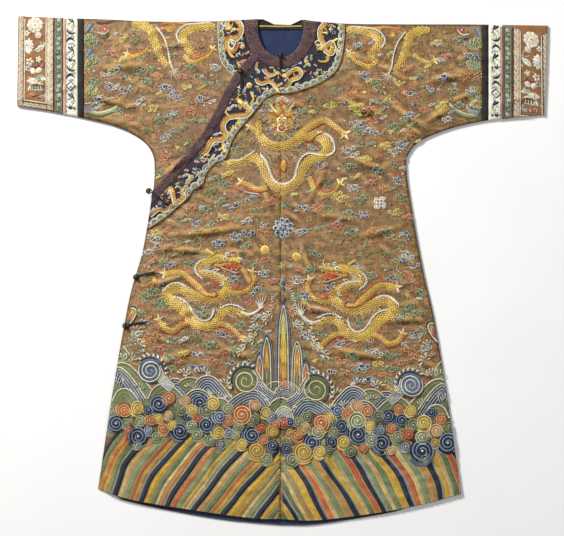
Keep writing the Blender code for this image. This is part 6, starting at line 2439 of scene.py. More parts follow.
def collar_sprigs(work, spots):
    """Small scrolls, buds and sprigs in bright thread on the navy."""
    tints = (WHITE, PINK, GREEN, YELLOW, BLUE, ORANGE, MINT, LAVENDER)
    for k, (x, y) in enumerate(spots):
        tint = tints[k % len(tints)]
        if k % 3 == 0:
            work.spiral(x, y, 5.0, 1.8, tint, turns=1.2, start=k * 47, core=1.0)
            work.spike(x + 4, y - 3, -40 + k * 30, 9, 2.4, tint, bend=50)
        elif k % 3 == 1:
            work.disc(x, y, 2.8, tint, sides=8)
            work.disc(x + 4, y - 3, 2.0, WHITE, sides=7)
            work.spike(x, y, 200 + k * 40, 8, 2.2, GREEN, bend=-40)
        else:
            for turn in (0, 120, 240):
                work.spike(x, y, turn + k * 20, 7, 2.8, tint, bend=40)


def collar_main(work):
    """The right facing and the overlap's: dragons and pearls inside a border of fans."""
    scallops(work, beside(main_facing_line, -2.0)[::3])
    edge_cord(work, main_facing_line[::3], -0.5, PEACH)
    work.lift = 0.9
    small_dragon(work, ((112, -76), (122, -70), (134, -62), (140, -74), (134, -90), (120, -84), (114, -66),
                        (105, -48), (104, -30), (114, -14), (124, -4)), 12, 15, 190)
    work.ribbon([(136, -60, 7), (148, -52, 5), (158, -52, 2)], 0, GOLD_LIGHT, kind=GOLD, rise=0.8)
    work.ribbon([(126, -92, 8), (124, -108, 7), (110, -112, 5), (98, -108, 2)], 0, GOLD_MAIN, kind=GOLD,
                rise=0.8)
    claw(work, 130, -26, 10, 9)
    small_dragon(work, ((-12, -142), (-26, -148), (-40, -140), (-46, -130)), 8, 12, -10, legs=False)
    small_dragon(work, ((14, -150), (28, -138), (44, -132), (54, -142), (46, -154), (30, -160), (20, -172),
                        (8, -184)), 10, 14, 170, legs=False)
    small_dragon(work, ((-10, -184), (-18, -172), (-32, -164), (-48, -170), (-60, -166), (-64, -156)), 9, 12,
                 -60, legs=False)
    for x, y, turn in ((24, -122, 60), (-20, -128, 110), (40, -172, -30), (-34, -184, 200)):
        claw(work, x, y, turn, 8)
    for x, y, radius in ((68, -112, 8), (-83, -175, 11), (96, -142, 6), (154, -24, 6)):
        pearl(work, x, y, radius, flame=None)
    small_dragon(work, ((-104, -222), (-90, -232), (-80, -242), (-92, -254), (-113, -256), (-138, -260),
                        (-151, -275), (-152, -291), (-146, -306), (-156, -318), (-176, -319), (-188, -332),
                        (-197, -348), (-213, -360)), 13, 17, 130)
    for rows in (((-80, -226), (-72, -210), (-77, -198)), ((-112, -262), (-110, -280), (-100, -288)),
                 ((-148, -318), (-154, -334), (-146, -350)), ((-126, -280), (-126, -296), (-138, -302))):
        work.ribbon([(x, y, 6 - k) for k, (x, y) in enumerate(rows)], 0, GOLD_MAIN, to=GOLD_LIGHT,
                    kind=GOLD, rise=0.9)
        claw(work, *rows[-1], 60, 8)
    small_dragon(work, ((-262, -456), (-256, -470), (-268, -482), (-279, -486), (-283, -470), (-288, -450),
                        (-298, -446), (-304, -462)), 10, 12, 60, legs=False)
    small_dragon(work, ((-294, -498), (-306, -506), (-322, -503), (-336, -512), (-346, -520)), 9, 12, 30,
                 legs=False)
    flames(work, -214, -412, 120, 16, BLUE, WHITE, 5, 120)
    for x, y in ((-244, -430), (-250, -446), (-236, -420)):
        work.spiral(x, y, 8, 2.4, CREAM, turns=1.4, start=40, core=1.5)
        work.disc(x, y, 7, SAGE, sides=9)
    spots = ((150, -90), (90, -120), (150, 0), (112, -140), (80, -150), (64, -138), (-60, -140), (-4, -124),
             (60, -176), (-96, -196), (-70, -200), (-110, -200), (-64, -226), (-122, -228), (-100, -300),
             (-120, -330), (-160, -300), (-170, -345), (-130, -350), (-190, -372), (-160, -366), (-174, -390),
             (-209, -374), (-222, -396), (-196, -398), (-232, -404), (-268, -430), (-262, -500), (-250, -462),
             (-300, -480), (-320, -486), (-328, -496), (-110, -180), (-58, -184), (-80, -150), (98, -70),
             (92, -90), (156, -70), (104, 2), (140, -36), (-138, -236), (-130, -290), (-205, -340))
    collar_sprigs(work, spots)
    fill_collar(work, beside(main_facing_line, -14.0), main_facing_area, 210)


def collar_left(work):
    """The left facing, with one dragon."""
    scallops(work, beside(left_facing_line, 2.0)[::3][::-1])
    edge_cord(work, left_facing_line[::3], 0.5, CREAM)
    work.lift = 0.9
    small_dragon(work, ((-132, -22), (-142, -12), (-134, 0), (-118, -2), (-106, -16), (-106, -36),
                        (-118, -52), (-134, -48), (-144, -60), (-140, -78), (-126, -84), (-117, -70),
                        (-112, -60)), 12, 14, 200)
    work.ribbon([(-138, -70, 8), (-136, -86, 8), (-128, -98, 6), (-120, -100, 2)], 0, GOLD_MAIN, kind=GOLD,
                rise=0.8)
    work.ribbon([(-118, -60), (-119, -72), (-124, -76)], 2.4, RED, rise=1.9)
    claw(work, -128, -30, 160, 9)
    pearl(work, -101, -72, 9, flame=None)
    collar_sprigs(work, ((-152, -20), (-150, -94), (-138, -110), (-152, -50), (-100, 0), (-114, -112),
                         (-124, -124), (-146, -112), (-110, -90)))
    fill_collar(work, beside(left_facing_line, 14.0), left_facing_area, 46)


def fill_collar(work, border, area, count):
    """Small clouds, buds and leaves in every gap of the navy, below the dragons."""
    sets = ("blue", "green", "white", "yellow", "orange", "blue", "green", "red")
    low, high = area.min(axis=0), area.max(axis=0)
    high[1] = 8
    work.lift = 0.5
    placed = []
    while len(placed) < count:
        spot = rng.uniform(low, high)
        close = [p for p in placed if math.dist(p, spot) < 9]
        if not inside(spot[None], area)[0]:
            continue
        placed.append(spot)
        if close or distance_to(spot[None], border[::2])[0] < 5:
            continue
        x, y = spot
        fill, edge = CLOUD_SETS[sets[len(placed) % len(sets)]]
        if len(placed) % 3:
            cloud(work, x, y, rng.uniform(8, 12), rng.uniform(-40, 220), fill, edge, lobes=2, tail=0.3)
        else:
            leaf(work, x, y, 9, rng.uniform(0, 360), edge, fill, 0.5)
            work.disc(x, y, 2.0, edge, sides=7)


INK = colour(70, 62, 58)


def fret(work, start, end, width):
    """A cream border between two points: swirls in dark and red thread between brown edges."""
    start, end = np.asarray(start, float), np.asarray(end, float)
    length = np.linalg.norm(end - start)
    dx, dy = (end - start) / length
    turn = math.degrees(math.atan2(dy, dx))
    work.ribbon([start, end], width, CREAM, rise=0.1, dome=0.2, step=8, across=4)
    pitch = width * 0.52
    count = int(length / pitch)
    for k in range(count):
        s = (k + 0.5) * length / count
        side = -1 if k % 2 else 1
        x, y = start + (dx * s, dy * s)
        ox, oy = -dy * side * width * 0.2, dx * side * width * 0.2
        tint = (INK, TAN, colour(150, 84, 62), SAGE)[k % 4]
        work.spiral(x + ox, y + oy, pitch * 0.62, 1.8, tint, turns=0.9, start=turn + 90 * side,
                    hand=side, core=1.0, rise=0.5, dome=0.3)
        work.disc(x - ox * 1.6, y - oy * 1.6, 1.5, (colour(176, 120, 90), INK)[k % 2], sides=6, rise=0.4,
                  dome=0.3)
    for side in (-1, 1):
        off = np.array((-dy, dx)) * side * width / 2
        work.ribbon([start + off, end + off], 1.7, BROWN, rise=0.5, step=8)


def peony(work, x, y, radius):
    """A large white blossom with ruffled petals."""
    for ring, count, tint in ((0.78, 9, WHITE), (0.5, 7, CREAM), (0.24, 5, WHITE)):
        for k in range(count):
            a = math.radians(360 * k / count + 30 * ring)
            work.disc(*around(x, y, radius * ring, a), radius * 0.27, tint,
                      colour(196, 190, 176), long=1.25, turn=math.degrees(a) + 90, sides=9,
                      rise=0.9 - ring * 0.6)
    work.disc(x, y, radius * 0.16, TAN, sides=8, rise=1.6)


def pavilion(work, x, y, size):
    """A small garden pavilion: a curved roof on posts, above a rock."""
    work.ribbon([(x - size, y + size * 0.2, 2), (x - size * 0.4, y + size * 0.5, size * 0.3),
                 (x + size * 0.4, y + size * 0.5, size * 0.3), (x + size, y + size * 0.2, 2)], 0, CREAM,
                rise=0.8)
    work.ribbon([(x - size * 0.9, y + size * 0.2), (x + size * 0.9, y + size * 0.2)], 2.2, INK, rise=1.0)
    for k in (-0.6, -0.2, 0.2, 0.6):
        work.ribbon([(x + k * size, y + size * 0.15), (x + k * size, y - size * 0.4)], 2.2, WHITE, rise=0.7)
    work.ribbon([(x - size * 0.9, y - size * 0.46), (x + size * 0.9, y - size * 0.46)], 4, MINT, rise=0.6)


def cuff(work):
    """A cuff band: two fretted borders round a brown panel of flowers, leaves and rocks."""
    fret(work, (-610.5, 6), (-611, -236), 17)
    fret(work, (-687, 8), (-690, -226), 15)
    fret(work, (-696, -221), (-603, -234), 13)
    work.lift = 0.6
    for rows in (((-677, 2), (-679, -214)), ((-620.5, 2), (-620.5, -221)), ((-679, -213), (-620, -222))):
        work.ribbon(rows, 2.4, WHITE, rise=0.8, step=8)
    peony(work, -650, -15, 21)
    peony(work, -641, -42, 9)
    flower(work, -672, -36, 8, WHITE, TAN)
    for k in range(6):
        leaf(work, -676, -70, 24, 60 - 24 * k, WHITE, colour(176, 190, 176), 0.5)
    leaf(work, -652, -86, 34, 34, colour(206, 220, 204), INK, 0.42)
    leaf(work, -634, -56, 14, 100, ORANGE, RED)
    flower(work, -664, -112, 11, CREAM, colour(150, 96, 84))
    flower(work, -640, -106, 9, colour(214, 196, 176), WHITE)
    flower(work, -668, -130, 9, colour(190, 176, 170), INK)
    for k, (x, y) in enumerate(((-648, -122), (-640, -134), (-632, -122), (-656, -136))):
        tint = (colour(150, 84, 62), CREAM, colour(168, 110, 84), WHITE)[k]
        work.disc(x, y, 7, tint, WHITE if k % 2 else INK, sides=9, long=1.3, turn=40 * k)
    leaf(work, -674, -164, 34, 8, WHITE, CREAM, 0.42)
    leaf(work, -650, -160, 26, 30, MINT, GREEN, 0.5)
    leaf(work, -640, -152, 20, -20, WHITE, SAGE, 0.5)
    pavilion(work, -646, -178, 19)
    for k, (x, y, turn) in enumerate(((-668, -190, 70), (-660, -204, 20), (-650, -202, 160))):
        leaf(work, x, y, 20, turn, (WHITE, RED, ORANGE)[k], CREAM, 0.34)
    leaf(work, -642, -206, 22, 8, BLUE_PALE, BLUE, 0.4)
    for _ in range(56):
        x, y = rng.uniform(-675, -624), rng.uniform(-208, 0)
        tint = (WHITE, CREAM, INK, RED, GREEN, colour(120, 74, 40))[int(rng.integers(6))]
        work.spike(x, y, rng.uniform(0, 360), rng.uniform(5, 10), 2.2, tint, bend=60)


def ribbon_flowers(work):
    """The white ribbon: dark curved leaves, crescents, fans and small diamonds."""
    x = -556
    work.ribbon([(-573, 3), (-573, -252)], 6.5, colour(214, 170, 148), rise=0.3, step=8)
    work.ribbon([(-568.6, 3), (-568.6, -252)], 1.6, TAN, rise=0.5, step=8)
    marks = ((-4, 0), (-30, 1), (-56, 2), (-80, 0), (-104, 3), (-128, 1), (-152, 2), (-176, 4), (-204, 0),
             (-230, 3))
    for k, (y, kind) in enumerate(marks):
        work.spiral(x + 6, y + 11, 5, 1.7, SAGE, turns=1.1, start=k * 50, core=1.2)
        work.spike(x - 8, y + 13, 20 * k, 9, 2.6, colour(196, 200, 190), bend=40)
        if kind == 0:
            work.spike(x - 6, y + 8, -62, 20, 5.5, NAVY, bend=24, rise=0.4)
            work.spike(x + 1, y + 8, -50, 22, 4.4, BLACK, bend=-20, rise=0.5)
            leaf(work, x - 10, y - 8, 14, 20, MINT, WHITE)
        elif kind == 1:
            work.ribbon([(x - 10, y + 7, 1), (x - 6, y - 3, 5.5), (x + 4, y - 7, 5), (x + 12, y - 4, 1)], 0,
                        BLACK, rise=0.5)
            work.disc(x + 2, y + 3, 6, WHITE, SAGE, sides=10)
        elif kind == 2:
            work.ribbon([(x - 12, y - 4, 1), (x - 6, y + 5, 6), (x + 3, y + 6, 6), (x + 11, y - 3, 1)], 0,
                        NAVY, rise=0.5)
            leaf(work, x - 6, y - 9, 16, 10, BLUE_PALE, BLUE_GREY)
        elif kind == 3:
            for turn in (20, 60, 100, 140):
                work.spike(x - 2, y - 6, turn, 13, 3.4, (NAVY, BLACK)[turn % 40 == 0], rise=0.4)
            work.disc(x + 10, y - 6, 3.0, BLACK, sides=7)
        else:
            rows = ((x, y + 12), (x + 12, y), (x, y - 12), (x - 12, y), (x, y + 12))
            for a, b in zip(rows, rows[1:]):
                work.ribbon([a, b], 2.6, NAVY, rise=0.5)
            work.disc(x, y, 5, BLUE_PALE, WHITE, sides=10)
        work.disc(x + (-11 if k % 2 else 11), y - 12, 2.2, PINK, sides=7)


def green_trim(work):
    """The green ribbon: dark edges, and pale sprays of flowers one above the other."""
    for x in (-598.8, -577.6):
        work.ribbon([(x, 6), (x, -250)], 4.2, colour(98, 70, 54), rise=0.3, step=8)
    for x in (-595.6, -580.8):
        work.ribbon([(x, 6), (x, -250)], 1.2, colour(168, 172, 150), rise=0.3, step=8)
    for k in range(20):
        y = -2 - 12.4 * k
        tint = (colour(176, 184, 180), colour(98, 124, 74))[k % 2 if k % 5 else 0]
        flower(work, -588.2 + 1.6 * (-1) ** k, y, 6.2, tint, CREAM, petals=5, turn=20 * k)
        work.spike(-588.2, y - 5, -90 + 30 * (-1) ** k, 7, 2.0, colour(84, 108, 66), bend=30)


def sleeve_shore(work):
    """Rocks, leaves and a breaking wave that stand beside the black ribbon."""
    for x, y, turn, length in ((-517, -36, 56, 34), (-516, -104, 60, 36)):
        leaf(work, x, y, length, turn, BLUE_GREY, BLUE_PALE, 0.5)
        for m in range(4):
            px, py = around(x, y, length * (0.25 + 0.15 * m), math.radians(turn))
            work.spike(px, py, turn + 90, 6, 1.3, WHITE, rise=0.5)
            work.spike(px, py, turn - 90, 6, 1.3, NAVY, rise=0.5)
    for x, y, radius in ((-510, -50, 12), (-498, -58, 12), (-488, -64, 9), (-500, -104, 12), (-490, -114, 11),
                         (-508, -118, 10), (-500, -182, 12), (-508, -196, 12), (-490, -196, 10)):
        work.disc(x, y, radius * 0.9, GREEN, GREEN_PALE, sides=10, long=1.5, turn=40, dome=0.4)
        for m, tint in enumerate((LIME, CREAM, LAVENDER)):
            work.spike(x - 5 + 4 * m, y - 5 + 2 * m, 66 - 16 * m, radius * 1.4, 1.9, tint, bend=44, rise=1.3)
    for k in range(12):
        work.disc(-518 + 3.4 * (k % 6), -132 - 8 * (k // 6) - (k % 3) * 3, 2.0,
                  (CREAM, ORANGE, PINK)[k % 3], sides=6)
    work.ribbon([(-519, -228, 6), (-508, -238, 14), (-490, -236, 11), (-478, -226, 3)], 0, BLUE, to=BLUE_PALE,
                rise=0.5, across=4)
    for k in range(5):
        foam(work, -516 + 9 * k, -228 - 2 * (k % 2), 80, 9, count=2, tint=WHITE)
    for k, tint in enumerate((GREEN, GREEN_PALE, CREAM)):
        work.ribbon([(-508, -249 + 4 * k), (-480, -256 + 5 * k), (-450, -248 + 5 * k), (-432, -236 + 4 * k)],
                    4, tint, rise=0.4)
    work.ribbon([(-488, -8, 5), (-470, -10, 8), (-448, -4, 6), (-436, 0, 2)], 0, NAVY, to=GREEN, rise=0.6)
    work.ribbon([(-486, -3), (-464, -4), (-444, 1)], 2.6, ORANGE, rise=0.7)
    flower(work, -466, -26, 9, RED, WHITE, edge=BLUE)
    for k in range(3):
        work.ribbon([(-484, -34 - 5 * k), (-468, -38 - 6 * k), (-454, -28 - 7 * k)], 2.4,
                    (WHITE, GREEN, BLACK)[k], rise=0.5)


def centre_flower(work):
    """The blue flower at the waist, and the ornaments below it on the centre seam."""
    x, y = 6.6, -551
    for ring, count, tint, rim in ((20, 9, BLUE, WHITE), (13, 7, BLUE_PALE, NAVY), (6, 5, BLUE, WHITE)):
        for k in range(count):
            a = math.radians(360 * k / count + ring * 7)
            work.disc(*around(x, y, ring, a), 6.4, tint, rim, sides=10, long=1.2, turn=math.degrees(a),
                      rise=0.9 - ring / 30)
    work.disc(x, y, 4.4, RED, WHITE, sides=9, rise=1.7)
    for k in range(8):
        turn = 45 * k + 12
        leaf(work, *around(x, y, 22, math.radians(turn)), 13, turn, GREEN, GREEN_PALE, 0.5)
    cloud(work, 50, -560, 16, 180, *CLOUD_SETS["blue"])
    work.disc(3, -655, 6, GREEN_PALE, OLIVE, sides=9)
    for turn in (20, 90, 160):
        work.spike(3, -655, turn, 15, 5, YELLOW, to=GREEN_PALE, bend=20)
        work.spike(3, -658, -turn, 12, 4, GREEN, to=YELLOW, bend=-20)
    for k in range(3):
        work.spiral(5 + 2 * (-1) ** k, -690 - 10 * k, 6, 2.0, (NAVY, WHITE, BLUE)[k], turns=1.2,
                    start=90 * k, core=1.5, rise=0.6)
        work.disc(5, -690 - 10 * k, 6.4, (BLUE_PALE, NAVY, GREEN)[k], sides=9)
    work.spike(5, -712, -90, 16, 4, NAVY, to=WHITE)


# The robe's embroidery -------------------------------------------------------------------------

BAND_WORK = (("cuff", cuff, "wide"), ("ribbon", ribbon_flowers, "floral"), ("trim", green_trim, "green"))


def work_hem():
    """The standing water, the sea of each half, and the mountain between them."""
    for name, ground in (("left", "cloth_overlap"), ("right", "cloth_right")):
        standing_water(f"stripes_{name}", *STRIPES[name], (ground,)).finish()
    for name, ground, side, drop, mountain, spirals in (
        ("left", "cloth_overlap", 1, None, (-398, -761), BUBBLES_LEFT),
        ("right", "cloth_right", -1, low_drop, (-405, -759), ()),
    ):
        work = Work(f"sea_{name}", (ground,), side=side, drop=drop)
        sea_ground(work, -500)
        work.lift = SEA_LIFT
        rolling_sea(work)
        over_waves = work.lift
        bubbles(work, spirals)
        work.lift = LOW_LIFT
        side_mountain(work, *mountain)
        bat(work, -222, -926)
        work.finish()
    work = Work("bubbles_right", ("cloth_right",))
    work.lift = over_waves
    bubbles(work, BUBBLES_RIGHT)
    work.finish()
    work = Work("mountain", ("cloth_overlap", "cloth_right"))
    work.lift = 0.9
    centre_mountain(work)
    work.finish()


def work_dragons():
    """The dragon, clouds and vapours of each half's skirt, and the dragon of each shoulder."""
    for name, side, grounds, drop in (("left", 1, ("cloth_overlap",), None),
                                      ("right", -1, ("cloth_right",), low_drop)):
        work = Work(f"lower_dragon_{name}", grounds, side=side, drop=drop)
        cloudlets(work, (-400, -26, -905, -590), 50)
        clouds(work, CLOUDS_LOW)
        sprinkle(work, (-380, -30, -900, -590), 110)
        for x, y, length, turn, sway in VAPOURS:
            vapour(work, x, y, length, turn, OLIVE if length % 4 else SAGE, sway=sway)
        work.lift = DRAGON_LIFT
        walking_dragon(work)
        pearl(work, -42, -609, 17)
        work.finish()
        work = Work(f"shoulder_{name}", ("cloth_left",) if side > 0 else ("cloth_right",), side=side,
                    drop=None if side > 0 else sleeve_drop)
        shoulder_dragon(work)
        work.finish()


def work_sleeves():
    """The clouds of each sleeve."""
    work = Work("sleeve_clouds_left", ("cloth_left",))
    cloudlets(work, (-500, -170, -250, -20), 34)
    cloudlets(work, (-340, -170, -420, -250), 18)
    clouds(work, CLOUDS_LEFT)
    sprinkle(work, (-510, -180, -240, -20), 110)
    work.finish()
    work = Work("sleeve_clouds_right", ("cloth_right",))
    cloudlets(work, (180, 520, -250, -30), 44)
    cloudlets(work, (240, 370, -400, -250), 14)
    clouds(work, CLOUDS_RIGHT)
    sprinkle(work, (180, 520, -250, -30), 120)
    blossom(work, 242, -268, 17, PEACH, ORANGE)
    blossom(work, 327, -192, 15, ORANGE, PEACH)
    work.finish()


def work_chest():
    """The chest's dragon and clouds, across the overlap and the right front."""
    work = Work("chest", ("cloth_overlap", "cloth_right"))
    cloudlets(work, (-360, 350, -590, -200), 90)
    clouds(work, CLOUDS_MIDDLE)
    sprinkle(work, (-340, 340, -590, -200), 220)
    work.lift = DRAGON_LIFT
    chest_dragon(work)
    endless_knot(work, 262, -485, 8.5)
    leaf(work, 196, -222, 26, -80, LIME, YELLOW, 0.6)
    leaf(work, 200, -248, 18, -20, LIME, YELLOW, 0.5)
    for x, y, length, turn, sway in ((86, -214, 60, -8, 8), (96, -238, 48, 20, 6), (-120, -210, 40, 200, 6)):
        vapour(work, x, y, length, turn, OLIVE, sway=sway)
    centre_flower(work)
    work.finish()


def work_edges():
    """The facings, the cuffs and the ribbons."""
    work = Work("collar_work_main", ("collar_main",))
    collar_main(work)
    work.finish()
    work = Work("collar_work_left", ("collar_left",))
    collar_left(work)
    work.finish()
    for name, side, shift, drop in SLEEVES:
        for part, draw, ground in BAND_WORK:
            work = Work(f"{part}_work_{name}", (f"ribbon_{ground}_{name}",), side=side, drop=drop,
                        shift=shift)
            draw(work)
            work.finish()
        work = Work(f"shore_{name}", (f"cloth_{name}",), side=side, drop=drop, shift=shift)
        sleeve_shore(work)
        work.finish()


def work_back():
    """The same design on the hidden back, pressed flat between the cloth and the floor."""
    for name, side in (("left", 1), ("right", -1)):
        ground = (f"cloth_{name}",)
        water = standing_water(f"back_stripes_{name}", *STRIPES[name], ground, below=True)
        water.finish()
        work = Work(f"back_{name}", ground, side=side, below=True)
        sea_ground(work, -430)
        work.lift = SEA_LIFT
        rolling_sea(work)
        for x, y, radius, tint in BUBBLES_LEFT[::2]:
            bubble(work, x, y, radius * 1.15, *BUBBLE_TINTS[tint])
        clouds(work, CLOUDS_LOW[::2])
        clouds(work, CLOUDS_LEFT[::2])
        clouds(work, [entry for entry in CLOUDS_MIDDLE if entry[0] < 0][::2])
        work.lift = BACK_LIFT
        walking_dragon(work)
        shoulder_dragon(work)
        work.finish()
    work = Work("back_chest", ("cloth_left", "cloth_right"), below=True)
    work.lift = BACK_LIFT
    chest_dragon(work)
    centre_mountain(work)
    centre_flower(work)
    work.finish()
    for name, side, shift, drop in SLEEVES:
        for part, draw, ground in BAND_WORK:
            work = Work(f"back_{part}_{name}", (f"ribbon_{ground}_{name}",), side=side, drop=drop,
                        shift=shift, below=True)
            draw(work)
            work.finish()


work_hem()
work_dragons()
work_sleeves()
work_chest()
work_edges()
work_back()


# The lining, the piping and the frogs ----------------------------------------------------------

LINING_STEP = 7.0
BLACK_FACING = (  # x, y, inside the back neck
    (-59.3, 0.5), (-46.4, 0.7), (-17.2, -13.2), (25.2, -14.6), (53.8, -1.0), (59.3, -1.0),
    (59.3, -24.0), (-59.3, -24.0),
)
NECK_LINING = ((-74, -24), (74, -24), (74, -118), (-74, -118))
HEM_LINING_ENDS = (-431.0, 352.0)


def hem_lining_outline():
    """The strip of lining that shows between the front hem and the back's."""
    start, end = HEM_LINING_ENDS
    back = np.vstack((curve(LEFT_BACK_HEM, 20), curve(RIGHT_BACK_HEM, 20)[-2::-1]))[:, :2] + (0, 1.6)
    front = curve(FRONT_HEM, 20)[:, :2] + (0, 11)
    low = back[(back[:, 0] > start) & (back[:, 0] < end)]
    high = front[(front[:, 0] > start) & (front[:, 0] < end)]
    return np.vstack((low, high[::-1]))


def lining_piece(name, outline, material, sway, grain=60):
    """A flat piece with its own outline, a little uneven as cloth is."""
    outline = np.asarray(outline, float)
    closed = np.vstack((outline, outline[:1]))
    sides = np.vstack([straight(a, b, LINING_STEP)[:-1] for a, b in zip(closed, closed[1:])])
    points, faces = triangulate([np.vstack((sides, sides[:1]))], LINING_STEP, outline)
    faces = faces[inside(points[faces].mean(axis=1), outline)]

    def under(plan):
        rest = np.maximum(LINING_UNDER, back_hollow(plan) + BACK_WALL + 0.15)
        return rest + sway * (0.5 + 0.5 * np.clip(waviness(plan, grain, grain / 3, 14, 9), -1, 1))

    return laid(name, points, faces, under, LINING_THICK, material)


def tube(name, places, reach, height, material, sides=10, twist=0.0, lobes=0, depth=0.0):
    """A closed round or flattened cord along places, twisted if it is plied."""
    places = np.asarray(places, float)
    along = np.gradient(places[:, :2], axis=0)
    along /= np.linalg.norm(along, axis=1)[:, None]
    run = np.concatenate(([0], np.cumsum(np.linalg.norm(np.diff(places, axis=0), axis=1))))
    points, faces = [], []
    for (x, y, z), (dx, dy), s in zip(places, along, run):
        end = min(s, run[-1] - s) / max(reach, 1e-6)
        close = math.sqrt(1 - (1 - min(end + 0.12, 1)) ** 2)
        for k in range(sides):
            a = 2 * math.pi * k / sides
            ply = 1 + depth * math.cos(lobes * a + twist * s)
            off = reach * close * ply * math.cos(a)
            points.append((x - dy * off, y + dx * off, z + height * close * ply * math.sin(a)))
    for i in range(len(places) - 1):
        for k in range(sides):
            a, b = i * sides + k, i * sides + (k + 1) % sides
            faces.append((a, a + sides, b + sides, b))
    last = (len(places) - 1) * sides
    faces.append(tuple(range(sides)))
    faces.append(tuple(last + k for k in range(sides))[::-1])
    return new_piece(name, points, faces, [material])


def ground_height(x, y):
    """The top of whatever cloth lies at a point."""
    down = Vector((0, 0, -1))
    hits = [tree.ray_cast(Vector((x, y, ABOVE)), down)[0] for tree in surfaces.values()]
    return max([hit.z for hit in hits if hit], default=0.0)


FROGS = (  # name, button x and y, near end of the strip, far end
    ("neck", (-0.8, -94.3), (-0.8, -103), (-0.8, -155)),
    ("clavicle", (-106, -138), (-105.5, -146.5), (-102, -186)),
    ("underarm", (-349, -454), (-340.5, -456.5), (-301, -490)),
    ("waist", (-382.5, -682), (-374.5, -678), (-332, -669)),
    ("hip", (-411, -811), (-402.5, -807.5), (-355, -802)),
)
STRAND = 1.9
STRAND_RISE = 2.6
BOUND_AT = 0.93  # of the strap's length
KNOB = 5.0
LOOP_REACH = 6.6


def frog_strip(name, near, far):
    """A folded silk strap: two rounded strands side by side, bound at their far end."""
    near, far = np.array(near, float), np.array(far, float)
    length = np.linalg.norm(far - near)
    along = (far - near) / length
    left = np.array((-along[1], along[0]))
    points, faces = [], []
    columns = 13
    steps = 26
    middle_line = near + (far - near) * np.linspace(0, 1, steps)[:, None]
    tops = [ground_height(x, y) for x, y in middle_line]
    tops = np.maximum(np.convolve(np.pad(tops, 2, "edge"), np.ones(5) / 5, "valid"), tops)
    for i, (x, y) in enumerate(middle_line):
        s = i / (steps - 1)
        binding = 0.16 * math.exp(-((s - BOUND_AT) / 0.05) ** 2)
        gathers = 0.024 * (1 + math.cos(s * 100))
        end = min(1.0, 0.35 + 8 * min(s, 1 - s))
        half = (STRAND * 2 + 0.1) * (1 + binding - gathers) * (0.7 + 0.3 * end)
        profile = [(u, 0.1 + STRAND_RISE * end * math.sqrt(max(1 - (2 * abs(u) - 1) ** 2, 0.0)))
                   for u in np.linspace(-1, 1, columns)]
        for u, z in (*profile, (1, -0.1), (-1, -0.1)):
            points.append((x + left[0] * half * u, y + left[1] * half * u, tops[i] + z))
    ring_size = columns + 2
    for i in range(steps - 1):
        for k in range(ring_size):
            a, b = i * ring_size + k, i * ring_size + (k + 1) % ring_size
            faces.append((a, b, b + ring_size, a + ring_size))
    last = (steps - 1) * ring_size
    faces.append(tuple(range(ring_size))[::-1])
    faces.append(tuple(last + k for k in range(ring_size)))
    piece = new_piece(f"strap_{name}", points, faces, [black_silk])
    face_outwards(piece)
    return piece


def frog_loop(name, button, near):
    """The plied cord that runs round the button's neck to the strap."""
    button, near = np.array(button, float), np.array(near, float)
    towards = near - button
    start = math.atan2(towards[1], towards[0])
    turns = start + np.radians(np.linspace(26, 334, 40))
    ring_line = button + LOOP_REACH * np.column_stack((np.cos(turns), np.sin(turns)))
    end = near + towards / np.linalg.norm(towards) * 2.0
    ring_line = np.vstack((end, ring_line, end))
    tops = [ground_height(x, y) for x, y in ring_line]
    low = max(tops)
    places = np.column_stack((ring_line, np.full(len(ring_line), low + 1.6)))
    return tube(f"cord_{name}", places, 1.5, 1.5, black_silk, sides=10, twist=1.7, lobes=3, depth=0.14), low


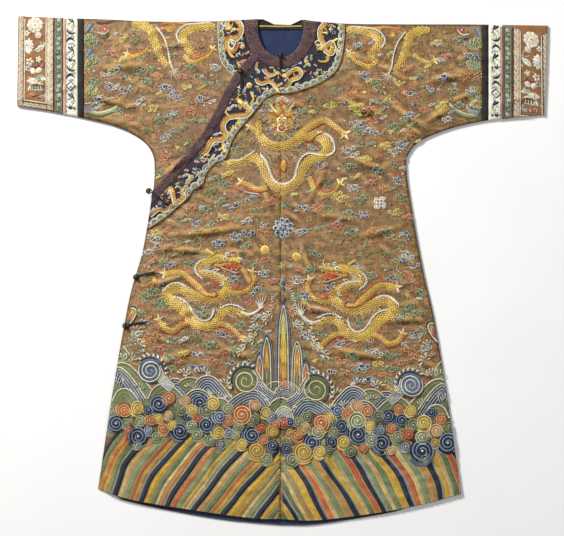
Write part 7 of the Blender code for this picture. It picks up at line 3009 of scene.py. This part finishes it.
def frog_button(name, button, low):
    """A cast ball with petals in relief, which the loop goes round."""
    sides, rings = 36, 22
    points, faces = [], []
    for i in range(rings + 1):
        v = math.pi * i / rings
        for k in range(sides):
            u = 2 * math.pi * k / sides
            petals = 0.045 * math.cos(6 * u) * math.sin(v) * math.sin(2 * v)
            bead = 0.03 * math.cos(8 * v)
            reach = KNOB * (0.98 + petals + bead)
            points.append((
                button[0] + reach * math.sin(v) * math.cos(u),
                button[1] + reach * math.sin(v) * math.sin(u),
                low + KNOB + reach * math.cos(v) * 0.97,
            ))
    for i in range(rings):
        for k in range(sides):
            a, b = i * sides + k, i * sides + (k + 1) % sides
            faces.append((a, a + sides, b + sides, b))
    piece = new_piece(f"knob_{name}", points, faces, [brass])
    body = bmesh.new()
    body.from_mesh(piece.data)
    bmesh.ops.remove_doubles(body, verts=body.verts, dist=1e-6)
    bmesh.ops.dissolve_degenerate(body, edges=body.edges, dist=1e-7)
    body.to_mesh(piece.data)
    body.free()
    face_outwards(piece)
    return piece


def make_trims():
    """The linings, the neck's piping and the five frogs."""
    made = {
        "neck_facing": lining_piece("black_facing", BLACK_FACING, black_silk, 0.3),
        "lining_neck": lining_piece("blue_lining_neck", NECK_LINING, lining, 0.5),
        "lining_hem": lining_piece("blue_lining_hem", hem_lining_outline(), lining, 0.4),
    }
    xs = np.linspace(-57, 57, 60)
    bow = -18 - 0.5 * np.cos(xs / 57 * math.pi)
    heights = LINING_UNDER + LINING_THICK + 1.3 + 0.25 * np.sin(xs / 9)
    made["neck_piping"] = tube("yellow_piping", np.column_stack((xs, bow, heights)), 2.0, 1.1, piping,
                               sides=12, twist=0.9, lobes=2, depth=0.04)
    for name, button, near, far in FROGS:
        made[f"frog_{name}"] = frog_strip(name, near, far)
        made[f"loop_{name}"], low = frog_loop(name, button, near)
        made[f"button_{name}"] = frog_button(name, button, low)
    return made


trims = make_trims()


# What each piece stands for --------------------------------------------------------------------

STANDS_FOR = {
    "cloth_left": "half_left",
    "cloth_right": "half_right",
    "cloth_overlap": "overlap",
    "collar_main": "facing_main",
    "collar_left": "facing_left",
    "edging_neck": "binding_neck",
    "edging_overlap": "binding_overlap",
}
for side in ("left", "right"):
    for band, finish in (("black", "black_silk"), ("floral", "floral_ribbon"), ("green", "green_ribbon"),
                         ("wide", "cuff_band")):
        STANDS_FOR[f"ribbon_{band}_{side}"] = f"band_{band}_{side}"
for name, node in STANDS_FOR.items():
    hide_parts(node)

for node, piece in trims.items():
    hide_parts(node)
